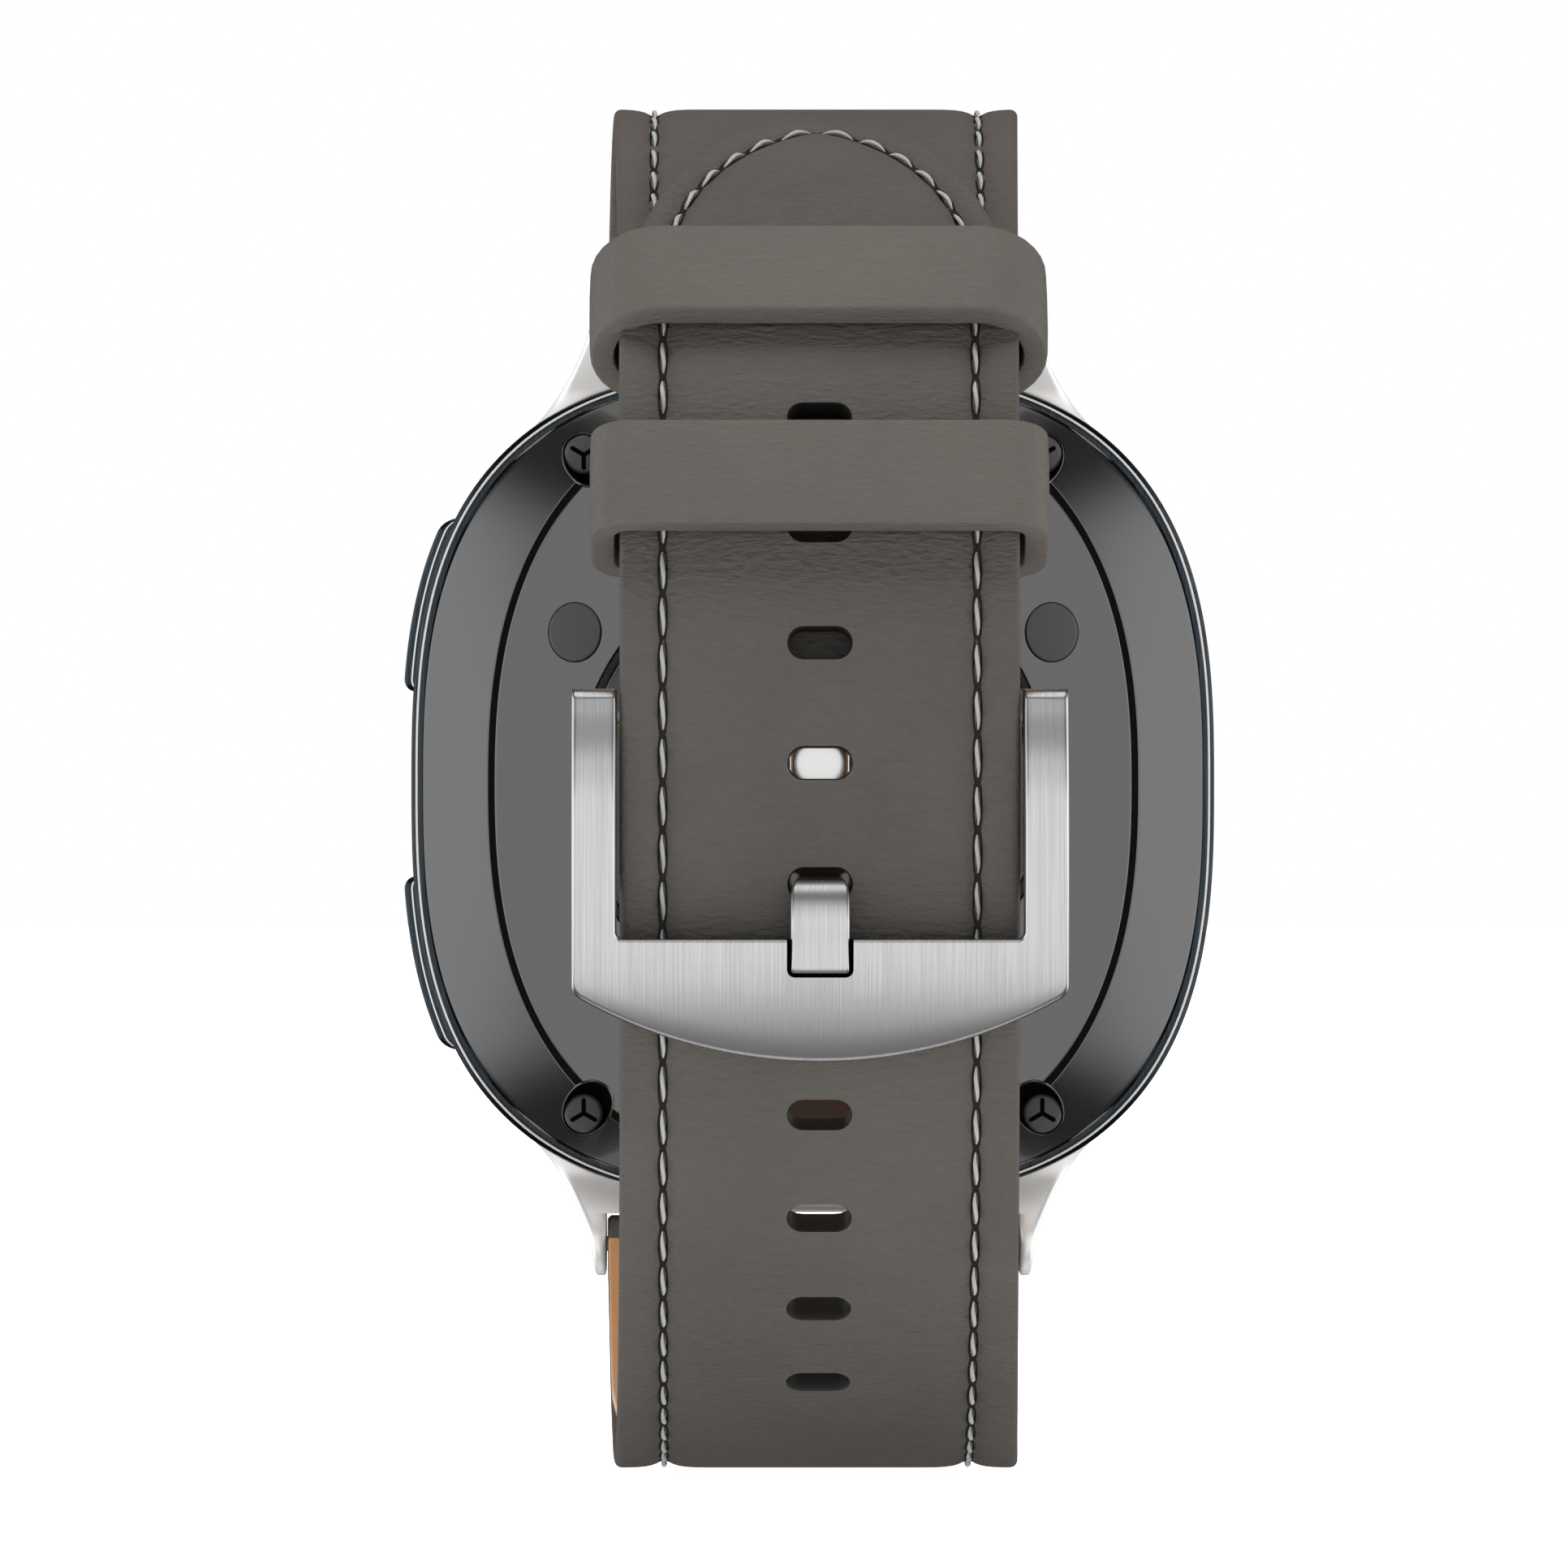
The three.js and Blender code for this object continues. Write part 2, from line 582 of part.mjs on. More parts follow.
function pusherCutters(sign) {
  const halfDepth = PUSHER_DEPTH / 2 + SLIDE;
  const pocket = prismY(
    pusherPlan(sign, -PUSHER_POCKET, PUSHER_PROUD + CUT_PAST, SLIDE),
    PUSHER_MID_Y - halfDepth,
    PUSHER_MID_Y + halfDepth,
  );
  const z = PUSHER_MID_Z * sign;
  const bore = rodX(STEM_RADIUS + SLIDE, stemEndX, CASE_HALF_WIDTH, PUSHER_MID_Y, z);
  const ringBore = rodX(ringBoreRadius, pusherPocketX - ringBoreDepth, CASE_HALF_WIDTH, PUSHER_MID_Y, z);
  return [pocket, bore, ringBore];
}

function caseMiddle() {
  const band = cushionBody([
    caseLevel(CASE_EDGE_BEVEL / 2, CASE_REAR_Y),
    caseLevel(0, CASE_REAR_Y - CASE_EDGE_BEVEL),
    caseLevel(0, CASE_FRONT_Y + CASE_EDGE_BEVEL),
    caseLevel(CASE_EDGE_BEVEL, CASE_FRONT_Y),
    caseLevel(CASE_WALL, CASE_FRONT_Y),
    caseLevel(CASE_WALL, CASE_REAR_Y),
    caseLevel(CASE_EDGE_BEVEL / 2, CASE_REAR_Y),
  ]);
  const lugShape = lug();
  const additions = [];
  const cutters = [];
  for (const corner of CORNERS) {
    const x = corner.x * SCREW_X;
    const z = corner.z * SCREW_Z;
    additions.push(mirrored(lugShape, corner.x, corner.z));
    additions.push(rodY(BOSS_RADIUS, CASE_REAR_Y - BOSS_LENGTH, CASE_REAR_Y, x, z));
    const bore = SCREW_SHANK_RADIUS + FIT;
    cutters.push(rodY(bore, CASE_REAR_Y - BOSS_LENGTH - CUT_PAST, CASE_REAR_Y + CUT_PAST, x, z, 12));
  }
  for (const side of SIDES) {
    const reach = LUG_SLOT_HALF_WIDTH + BAR_TIP_REACH + FIT;
    cutters.push(rodX(BAR_TIP_RADIUS + FIT, -reach, reach, BAR_Y, BAR_Z * side.sign, 12));
    cutters.push(...pusherCutters(side.sign));
    additions.push(endBridge(side.sign));
  }
  return cut(join(band, ...additions), ...cutters);
}

place('case_middle', 'darkMetal', caseMiddle());

// ---------- rear cover ----------

const grooveOut = GROOVE_WIDTH / 2;

function grooveLevel(offset, y) {
  return { w: GROOVE_HALF_WIDTH + offset, h: GROOVE_HALF_HEIGHT + offset, n: GROOVE_CUSHION, y };
}

// The counterbore is longer towards the middle of the cover, where the slope is higher.
function counterboreCutter(corner) {
  const x = corner.x * SCREW_X;
  const z = corner.z * SCREW_Z;
  const inward = new THREE.Vector2(-x, -z).normalize();
  const shape = ellipseShape(COUNTERBORE_HALF_LONG, COUNTERBORE_HALF_SHORT, inward.angle());
  const tool = prismY(shape, COUNTERBORE_FLOOR_Y, CUT_PAST, { curveSegments: 8 });
  return tool.translate(x + inward.x * COUNTERBORE_SHIFT, 0, z + inward.y * COUNTERBORE_SHIFT);
}

function rearCover() {
  const edge = COVER_RIM_STEP;
  const edgeTopY = COVER_UNDERSIDE_Y + COVER_EDGE_THICKNESS;
  const ledgeRadius = RING_RADIUS - WINDOW_LEDGE;
  const ledgeY = -WINDOW_THICKNESS - FIT;
  const shoulder = {
    w: THREE.MathUtils.lerp(RING_RADIUS, GROOVE_HALF_WIDTH, SHOULDER_SHARE),
    h: THREE.MathUtils.lerp(RING_RADIUS, GROOVE_HALF_HEIGHT, SHOULDER_SHARE),
    n: SHOULDER_CUSHION,
    y: DOME_SHOULDER_Y,
  };
  const cavity = {
    w: GROOVE_HALF_WIDTH - CAVITY_SIDE_WALL,
    h: GROOVE_HALF_HEIGHT - CAVITY_END_WALL,
    n: GROOVE_CUSHION,
  };
  const body = cushionBody([
    caseLevel(edge, COVER_UNDERSIDE_Y),
    caseLevel(edge, edgeTopY - COVER_EDGE_ROUND),
    caseLevel(edge + COVER_EDGE_STEP, edgeTopY),
    grooveLevel(grooveOut, GROOVE_RIM_Y),
    grooveLevel(grooveOut, GROOVE_RIM_Y - GROOVE_DEPTH),
    grooveLevel(-grooveOut, GROOVE_RIM_Y - GROOVE_DEPTH),
    grooveLevel(-grooveOut, GROOVE_RIM_Y + GROOVE_INNER_RISE),
    shoulder,
    roundLevel(RING_RADIUS + FIT, DOME_RIM_Y),
    roundLevel(RING_RADIUS + FIT, ledgeY),
    roundLevel(ledgeRadius, ledgeY),
    roundLevel(ledgeRadius, ledgeY - COVER_SHELL * 0.7),
    { ...cavity, y: DOME_SHOULDER_Y - COVER_SHELL },
    { ...cavity, y: COVER_UNDERSIDE_Y },
    caseLevel(edge, COVER_UNDERSIDE_Y),
  ]);
  const cutters = [];
  for (const corner of CORNERS) {
    cutters.push(counterboreCutter(corner));
    const [x, z] = [corner.x * SCREW_X, corner.z * SCREW_Z];
    cutters.push(rodY(SCREW_SHANK_RADIUS + SLIDE, COVER_UNDERSIDE_Y - CUT_PAST, CUT_PAST, x, z, 12));
  }
  for (const sign of [1, -1]) {
    const hole = ellipseShape(ELECTRODE_HALF_WIDTH + FIT, ELECTRODE_HALF_HEIGHT + FIT);
    const tool = prismY(hole, COVER_UNDERSIDE_Y - CUT_PAST, CUT_PAST, { curveSegments: 8 });
    cutters.push(tool.translate(ELECTRODE_X * sign, 0, ELECTRODE_Z));
  }
  return cut(body, ...cutters);
}

place('rear_cover', 'coverPlastic', rearCover());
place('rear_seal', 'blackRubber', cushionRing(
  COVER_RIM_STEP + 0.15,
  CASE_WALL - 0.3,
  CASE_REAR_Y + THIN_GAP,
  COVER_UNDERSIDE_Y - THIN_GAP,
  RING_SEGMENTS,
));

// Tri-wing case screws: three slots at 120 degrees in each head.
function caseScrew(corner, turn) {
  const headTopY = COUNTERBORE_FLOOR_Y + THIN_GAP + SCREW_HEAD_HEIGHT;
  const headLowY = COUNTERBORE_FLOOR_Y + THIN_GAP;
  const blank = turnedY([
    [0, headLowY - SCREW_LENGTH],
    [SCREW_SHANK_RADIUS, headLowY - SCREW_LENGTH],
    [SCREW_SHANK_RADIUS, headLowY],
    [SCREW_HEAD_RADIUS, headLowY],
    [SCREW_HEAD_RADIUS, headTopY - SCREW_CHAMFER],
    [SCREW_HEAD_RADIUS - SCREW_CHAMFER, headTopY],
    [0, headTopY],
  ], 0, 0);
  const slots = [0, 1, 2].map((i) => {
    const wing = block(
      [-SCREW_SLOT_WIDTH / 2, headTopY - SCREW_SLOT_DEPTH, 0],
      [SCREW_SLOT_WIDTH / 2, headTopY + CUT_PAST, SCREW_HEAD_RADIUS * SCREW_SLOT_SHARE],
    );
    return wing.rotateY(turn + (i * Math.PI * 2) / 3);
  });
  return cut(blank, ...slots).translate(corner.x * SCREW_X, 0, corner.z * SCREW_Z);
}

CORNERS.forEach((corner) => {
  const turn = corner.z > 0 ? Math.PI : 0;
  place(`case_screw_${corner.name}`, 'darkMetal', caseScrew(corner, turn));
});

place('sensor_window', 'darkGlass', turnedY([
  [0, -WINDOW_THICKNESS],
  [WINDOW_RADIUS, -WINDOW_THICKNESS],
  [WINDOW_RADIUS, -WINDOW_BEVEL],
  [WINDOW_RADIUS - WINDOW_BEVEL, 0],
  [0, 0],
], 0, 0, CASE_SEGMENTS));

place('sensor_ring', 'blackRubber', turnedY([
  [WINDOW_RADIUS + FIT, -WINDOW_THICKNESS],
  [RING_RADIUS, -WINDOW_THICKNESS],
  [RING_RADIUS, -RING_RECESS],
  [WINDOW_RADIUS + FIT, -RING_RECESS],
  [WINDOW_RADIUS + FIT, -WINDOW_THICKNESS],
], 0, 0, CASE_SEGMENTS));

function electrode(sign) {
  const profile = [
    [0, ELECTRODE_FACE_Y - ELECTRODE_LENGTH],
    [1, ELECTRODE_FACE_Y - ELECTRODE_LENGTH],
    [1, ELECTRODE_FACE_Y - ELECTRODE_CROWN],
    [ELECTRODE_FLAT_SHARE, ELECTRODE_FACE_Y],
    [0, ELECTRODE_FACE_Y],
  ];
  const pad = turnedY(profile, 0, 0, SMALL_SEGMENTS + 4);
  pad.scale(ELECTRODE_HALF_WIDTH, 1, ELECTRODE_HALF_HEIGHT);
  return pad.translate(ELECTRODE_X * sign, 0, ELECTRODE_Z);
}

place('electrode_left', 'foil', electrode(1));
place('electrode_right', 'foil', electrode(-1));

// ---------- sensor parts under the window ----------

const baffleTopY = -WINDOW_THICKNESS - SLIDE;
const BAFFLE_HEIGHT = 0.8;
const BAFFLE_INSET = 3.06;
const BAFFLE_RADIUS = WINDOW_RADIUS - BAFFLE_INSET;
const DETECTOR_REACH = 5.2; // from the middle to each detector's well
const DETECTOR_WELL_RADIUS = 1.5;
const EMITTER_WELL_RADIUS = 1.8;
const SENSOR_BOARD_THICKNESS = 0.8;
const sensorBoardTopY = baffleTopY - BAFFLE_HEIGHT - THIN_GAP;
const sensorBoardLowY = sensorBoardTopY - SENSOR_BOARD_THICKNESS;

function sensorBaffle() {
  const disc = rodY(BAFFLE_RADIUS, baffleTopY - BAFFLE_HEIGHT, baffleTopY, 0, 0, 32);
  const well = (radius, x, z) => rodY(radius, baffleTopY - CUT_PAST, baffleTopY + CUT_PAST, x, z, 12);
  const wells = [0, 1, 2, 3].map((i) => {
    const angle = (i * Math.PI) / 2;
    return well(DETECTOR_WELL_RADIUS, Math.sin(angle) * DETECTOR_REACH, Math.cos(angle) * DETECTOR_REACH);
  });
  return cut(disc, well(EMITTER_WELL_RADIUS, 0, 0), ...wells);
}

place('sensor_baffle', 'innerPlastic', sensorBaffle());
place('sensor_board', 'board', rodY(
  RING_RADIUS - WINDOW_LEDGE - 1,
  sensorBoardLowY,
  sensorBoardTopY,
  0,
  0,
  32,
));

// ---------- front ----------

const bezelRearY = CASE_FRONT_Y - THIN_GAP;
const bezelSeatY = bezelRearY - BEZEL_SEAT_DEPTH;
const glassRearY = bezelSeatY - GASKET_THICKNESS - THIN_GAP;
const bezelSeatStep = GLASS_STEP - FIT;
const bezelBoreStep = bezelSeatStep + BEZEL_SEAT_WIDTH;

place('bezel', 'darkMetal', cushionBody([
  caseLevel(BEZEL_STEP, bezelRearY),
  caseLevel(BEZEL_STEP, bezelRearY - BEZEL_HEIGHT + BEZEL_FRONT_BEVEL),
  caseLevel(BEZEL_STEP + BEZEL_FRONT_BEVEL, bezelRearY - BEZEL_HEIGHT),
  caseLevel(bezelSeatStep, bezelRearY - BEZEL_HEIGHT),
  caseLevel(bezelSeatStep, bezelSeatY),
  caseLevel(bezelBoreStep, bezelSeatY),
  caseLevel(bezelBoreStep, bezelRearY),
  caseLevel(BEZEL_STEP, bezelRearY),
]));

place('glass_gasket', 'blackRubber', cushionRing(
  GLASS_STEP + 0.1,
  bezelBoreStep - 0.1,
  bezelSeatY - GASKET_THICKNESS,
  bezelSeatY - FIT / 2,
  RING_SEGMENTS,
));

place('front_glass', 'darkGlass', cushionBody([
  { w: 0, h: 0, y: glassRearY },
  caseLevel(GLASS_STEP, glassRearY),
  caseLevel(GLASS_STEP, GLASS_FRONT_Y + 0.45),
  caseLevel(GLASS_STEP + 0.25, GLASS_FRONT_Y + 0.15),
  caseLevel(GLASS_STEP + 0.8, GLASS_FRONT_Y),
  { w: 0, h: 0, y: GLASS_FRONT_Y },
]));

place('display_module', 'innerPlastic', cushionPlate(
  bezelBoreStep + SLIDE,
  glassRearY + THIN_GAP,
  glassRearY + THIN_GAP + DISPLAY_THICKNESS,
  RING_SEGMENTS,
));

// ---------- pushers ----------

function pusherCap(sign) {
  const inner = -PUSHER_BODY + PUSHER_ROUNDING;
  const shape = pusherPlan(sign, inner, PUSHER_PROUD - PUSHER_ROUNDING, -PUSHER_ROUNDING);
  const halfDepth = PUSHER_DEPTH / 2 - PUSHER_ROUNDING;
  const cap = prismY(shape, PUSHER_MID_Y - halfDepth, PUSHER_MID_Y + halfDepth, {
    bevelEnabled: true,
    bevelThickness: PUSHER_ROUNDING,
    bevelSize: PUSHER_ROUNDING,
    bevelSegments: 2,
  });
  const holeEnd = pusherInnerX + STEM_SPIGOT_LENGTH + FIT;
  const hole = rodX(STEM_SPIGOT_RADIUS + FIT / 2, stemEndX, holeEnd, PUSHER_MID_Y, PUSHER_MID_Z * sign, 12);
  return cut(cap, hole);
}

function pusherStem(sign) {
  const shoulderX = pusherInnerX - THIN_GAP;
  return turnedX([
    [0, stemEndX],
    [STEM_RADIUS, stemEndX],
    [STEM_RADIUS, clipX - CLIP_THICKNESS / 2 - FIT],
    [STEM_NECK_RADIUS, clipX - CLIP_THICKNESS / 2 - FIT],
    [STEM_NECK_RADIUS, clipX + CLIP_THICKNESS / 2 + FIT],
    [STEM_RADIUS, clipX + CLIP_THICKNESS / 2 + FIT],
    [STEM_RADIUS, shoulderX],
    [STEM_SPIGOT_RADIUS, shoulderX],
    [STEM_SPIGOT_RADIUS, pusherInnerX + STEM_SPIGOT_LENGTH],
    [0, pusherInnerX + STEM_SPIGOT_LENGTH],
  ], PUSHER_MID_Y, PUSHER_MID_Z * sign);
}

// The retaining clip is open on one side, so that it can be pushed over the stem's neck.
function stemClip(sign) {
  const z = PUSHER_MID_Z * sign;
  const low = clipX - CLIP_THICKNESS / 2;
  const high = clipX + CLIP_THICKNESS / 2;
  const neck = STEM_NECK_RADIUS + FIT / 2;
  const halfMouth = neck * 0.8;
  const washer = turnedX([
    [neck, low],
    [CLIP_RADIUS, low],
    [CLIP_RADIUS, high],
    [neck, high],
    [neck, low],
  ], PUSHER_MID_Y, z);
  const mouth = block(
    [low - CUT_PAST, PUSHER_MID_Y, z - halfMouth],
    [high + CUT_PAST, PUSHER_MID_Y + CUT_PAST, z + halfMouth],
  );
  return cut(washer, mouth);
}

function stemRing(sign) {
  const middleX = pusherPocketX - ringBoreDepth / 2;
  const middleRadius = STEM_RADIUS + FIT + O_RING_SECTION;
  const ring = new THREE.TorusGeometry(middleRadius, O_RING_SECTION, 6, 16);
  return ring.rotateY(Math.PI / 2).translate(middleX, PUSHER_MID_Y, PUSHER_MID_Z * sign);
}

const SWITCH_BODY = [1.0, 1.8, 3.0];
const PLUNGER_LENGTH = 0.4;
const switchFaceX = stemEndX - SWITCH_GAP;
const switchBackX = switchFaceX - PLUNGER_LENGTH - SWITCH_BODY[0];
const SWITCH_BOARD_THICKNESS = 0.3;
const switchBoardX = switchBackX - THIN_GAP - SWITCH_BOARD_THICKNESS;

function tactSwitch(sign) {
  const z = PUSHER_MID_Z * sign;
  const body = block(
    [switchBackX, PUSHER_MID_Y - SWITCH_BODY[1] / 2, z - SWITCH_BODY[2] / 2],
    [switchBackX + SWITCH_BODY[0], PUSHER_MID_Y + SWITCH_BODY[1] / 2, z + SWITCH_BODY[2] / 2],
  );
  const plunger = rodX(0.5, switchBackX + SWITCH_BODY[0] / 2, switchFaceX, PUSHER_MID_Y, z, 12);
  return join(body, plunger);
}

for (const side of SIDES) {
  place(`${side.name}_pusher_cap`, 'darkMetal', pusherCap(side.sign));
  place(`${side.name}_pusher_stem`, 'brushedSteel', pusherStem(side.sign));
  place(`${side.name}_pusher_clip`, 'brushedSteel', stemClip(side.sign));
  place(`${side.name}_pusher_o_ring`, 'blackRubber', stemRing(side.sign));
  place(`${side.name}_tact_switch`, 'innerPlastic', tactSwitch(side.sign));
}

// ---------- inner parts ----------

const FLEX_THICKNESS = 0.2;
const FRAME_SWITCH_GAP = 0.64; // from the inner frame to the switch board
const BATTERY_END_INSET = 10.67;
const BATTERY_HALF_HEIGHT = CASE_HALF_HEIGHT - BATTERY_END_INSET;
const batteryTopY = COVER_UNDERSIDE_Y - 0.2;
const BATTERY_THICKNESS = 2.3;
const FRAME_STEP = 4.6;
const FRAME_PAST_BATTERY = 0.9;
const FRAME_HALF_WIDTH = switchBoardX - FRAME_SWITCH_GAP;
const BATTERY_HALF_WIDTH = FRAME_HALF_WIDTH - FRAME_PAST_BATTERY;
const FRAME_THICKNESS = 0.6;
const BOARD_THICKNESS = 0.7;
const INNER_GAP = 0.12;
const frameTopY = batteryTopY - BATTERY_THICKNESS - INNER_GAP;
const boardTopY = frameTopY - FRAME_THICKNESS - INNER_GAP;
const boardLowY = boardTopY - BOARD_THICKNESS;

place('battery', 'foil', block(
  [-BATTERY_HALF_WIDTH, batteryTopY - BATTERY_THICKNESS, -BATTERY_HALF_HEIGHT],
  [BATTERY_HALF_WIDTH, batteryTopY, BATTERY_HALF_HEIGHT],
));

function innerPlate(halfWidth, halfHeight, lowY, highY) {
  return cushionBody([
    { w: 0, h: 0, y: lowY },
    { w: halfWidth, h: halfHeight, y: lowY },
    { w: halfWidth, h: halfHeight, y: highY },
    { w: 0, h: 0, y: highY },
  ], 36);
}

const FLEX_PAST_BATTERY = 2.7;
const FLEX_SLOT_Z = BATTERY_HALF_HEIGHT + FLEX_PAST_BATTERY;
const FLEX_HALF_WIDTH = 2.5;
const flexSlot = (sign) => block(
  [-FLEX_HALF_WIDTH - 0.5, CASE_FRONT_Y, sign * FLEX_SLOT_Z - 0.6],
  [FLEX_HALF_WIDTH + 0.5, 0, sign * FLEX_SLOT_Z + 0.6],
);

place('inner_frame', 'innerPlastic', cut(
  innerPlate(FRAME_HALF_WIDTH, CASE_HALF_HEIGHT - FRAME_STEP, frameTopY - FRAME_THICKNESS, frameTopY),
  flexSlot(1),
));
place('main_board', 'board', innerPlate(
  FRAME_HALF_WIDTH - 0.3,
  CASE_HALF_HEIGHT - FRAME_STEP - 0.4,
  boardLowY,
  boardTopY,
));

const SHIELD_HALF = 6.0;
const SHIELD_WALL = 0.25;
const shieldLowY = CASE_FRONT_Y + 0.1;

place('shield_can', 'foil', cut(
  block([-SHIELD_HALF, shieldLowY, -SHIELD_HALF], [SHIELD_HALF, boardLowY - THIN_GAP, SHIELD_HALF]),
  block(
    [-SHIELD_HALF + SHIELD_WALL, shieldLowY + SHIELD_WALL, -SHIELD_HALF + SHIELD_WALL],
    [SHIELD_HALF - SHIELD_WALL, boardLowY + 1, SHIELD_HALF - SHIELD_WALL],
  ),
));
place('processor', 'innerPlastic', block(
  [-4, shieldLowY + SHIELD_WALL + INNER_GAP, -4],
  [4, boardLowY - THIN_GAP, 4],
));

// A ribbon seen from the side as a chain of straight runs.
function ribbon(points) {
  const half = FLEX_THICKNESS / 2;
  const left = [];
  const right = [];
  points.forEach(([y, z], i) => {
    const before = points[Math.max(i - 1, 0)];
    const after = points[Math.min(i + 1, points.length - 1)];
    const along = new THREE.Vector2(after[0] - before[0], after[1] - before[1]).normalize();
    left.push(new THREE.Vector2(y - along.y * half, z + along.x * half));
    right.push(new THREE.Vector2(y + along.y * half, z - along.x * half));
  });
  return prismX(new THREE.Shape([...left, ...right.reverse()]), -FLEX_HALF_WIDTH, FLEX_HALF_WIDTH);
}

const sensorFlexY = sensorBoardLowY - 0.25;
place('sensor_flex', 'lining', ribbon([
  [sensorFlexY, BAFFLE_RADIUS - 2],
  [sensorFlexY - 0.1, FLEX_SLOT_Z - 1.3],
  [sensorFlexY - 1.2, FLEX_SLOT_Z],
  [boardTopY + 0.2, FLEX_SLOT_Z],
]));
place('display_flex', 'lining', ribbon([
  [CASE_FRONT_Y + 0.35, -FLEX_SLOT_Z - 2.5],
  [CASE_FRONT_Y + 0.35, -FLEX_SLOT_Z],
  [boardLowY - 0.2, -FLEX_SLOT_Z + 1.6],
  [boardLowY - 0.2, -FLEX_SLOT_Z + 3.6],
]));

place('switch_board', 'board', block(
  [switchBoardX, PUSHER_MID_Y - 1.1, -PUSHER_MID_Z - 2],
  [switchBackX - THIN_GAP, PUSHER_MID_Y + 1.1, PUSHER_MID_Z + 2],
));

const SIDE_PART_GAP = 0.5;
const SPEAKER_SIZE = [3.2, 2.4, 11];
const SPEAKER_LOW_Y = -7.6;
const SPEAKER_LOW_Z = -5.5;
const MICROPHONE_SIZE = [2.0, 1.2, 2.6];
const MICROPHONE_LOW_Y = -7.2;
const MICROPHONE_LOW_Z = 7.2;

// A part beside the inner frame, on the side away from the pushers.
function sidePart(size, lowY, lowZ) {
  const highX = -FRAME_HALF_WIDTH - SIDE_PART_GAP;
  return block([highX - size[0], lowY, lowZ], [highX, lowY + size[1], lowZ + size[2]]);
}

place('speaker', 'innerPlastic', sidePart(SPEAKER_SIZE, SPEAKER_LOW_Y, SPEAKER_LOW_Z));
place('microphone', 'foil', sidePart(MICROPHONE_SIZE, MICROPHONE_LOW_Y, MICROPHONE_LOW_Z));

const MOTOR_RADIUS = 3.1;
const MOTOR_GAP = 0.6; // from the battery
const MOTOR_Z = -BATTERY_HALF_HEIGHT - MOTOR_RADIUS - MOTOR_GAP;
const MOTOR_WALL = 0.25;
const motorTopY = batteryTopY - 0.1;
const motorLowY = frameTopY + INNER_GAP;
const MASS_TRAVEL = 0.25;

// The vibration motor's can is a cup that opens towards the inner frame.
place('vibration_can', 'brushedSteel', turnedY([
  [0, motorTopY],
  [MOTOR_RADIUS, motorTopY],
  [MOTOR_RADIUS, motorLowY],
  [MOTOR_RADIUS - MOTOR_WALL, motorLowY],
  [MOTOR_RADIUS - MOTOR_WALL, motorTopY - MOTOR_WALL],
  [0, motorTopY - MOTOR_WALL],
], 0, MOTOR_Z, 24));
place('vibration_mass', 'foil', rodY(
  MOTOR_RADIUS - MOTOR_WALL - SLIDE,
  motorLowY + MASS_TRAVEL + INNER_GAP,
  motorTopY - MOTOR_WALL - MASS_TRAVEL - INNER_GAP,
  0,
  MOTOR_Z,
));

// ---------- lug bars ----------

const barTipX = LUG_SLOT_HALF_WIDTH + BAR_TIP_REACH;
const knobLowX = RELEASE_KNOB_X - RELEASE_KNOB_RADIUS;
const knobHighX = RELEASE_KNOB_X + RELEASE_KNOB_RADIUS;
const SHAFT_PAST_KNOB = 0.6;

// The knob points away from the strap's outer face, towards the wrist.
const knobAngle = (sign) => Math.atan2(-sign * 0.8, 0.6);

// A radial piece at the knob's place, made along +Y and turned to the knob's direction.
function atKnob(geometry, sign) {
  return geometry.rotateX(knobAngle(sign)).translate(0, BAR_Y, BAR_Z * sign);
}

function barTube(sign) {
  const body = turnedX([
    [0, -barTipX],
    [BAR_TIP_RADIUS, -barTipX],
    [BAR_TIP_RADIUS, -BAR_TUBE_HALF_LENGTH],
    [BAR_TUBE_RADIUS, -BAR_TUBE_HALF_LENGTH],
    [BAR_TUBE_RADIUS, BAR_TUBE_HALF_LENGTH],
    [BAR_TUBE_BORE, BAR_TUBE_HALF_LENGTH],
    [BAR_TUBE_BORE, 0],
    [0, 0],
  ], BAR_Y, BAR_Z * sign, 16);
  const slot = block(
    [knobLowX - RELEASE_TRAVEL - SLIDE, 0, -RELEASE_KNOB_RADIUS - FIT],
    [knobHighX + SLIDE, CUT_PAST, RELEASE_KNOB_RADIUS + FIT],
  );
  return cut(body, atKnob(slot, sign));
}

function barRelease(sign) {
  const radius = Math.min(BAR_TIP_RADIUS, BAR_TUBE_BORE - FIT);
  const shaft = rodX(radius, knobLowX - SHAFT_PAST_KNOB, barTipX, BAR_Y, BAR_Z * sign, 12);
  const knobRadius = RELEASE_KNOB_RADIUS - SLIDE / 2;
  const knob = rodY(knobRadius, 0, RELEASE_KNOB_LENGTH, RELEASE_KNOB_X, 0, 12);
  return join(shaft, atKnob(knob, sign));
}

// A bellows outline stands for the small coil spring inside the tube.
function barSpring(sign) {
  const outer = BAR_TUBE_BORE - FIT;
  const inner = outer - 0.18;
  const endGap = 0.2;
  const high = knobLowX - SHAFT_PAST_KNOB - RELEASE_TRAVEL - endGap;
  const coils = 4;
  const wall = 0.14;
  const outside = [];
  const inside = [];
  for (let i = 0; i <= coils * 2; i += 1) {
    const x = THREE.MathUtils.lerp(endGap, high, i / (coils * 2));
    const radius = i % 2 === 0 ? outer : inner;
    outside.push([radius, x]);
    inside.unshift([radius - wall, x]);
  }
  return turnedX([...outside, ...inside, outside[0]], BAR_Y, BAR_Z * sign, 6);
}

for (const side of SIDES) {
  place(`${side.name}_bar_tube`, 'brushedSteel', barTube(side.sign));
  place(`${side.name}_bar_release`, 'brushedSteel', barRelease(side.sign));
  place(`${side.name}_bar_spring`, 'brushedSteel', barSpring(side.sign));
}

// ---------- wrist loop ----------

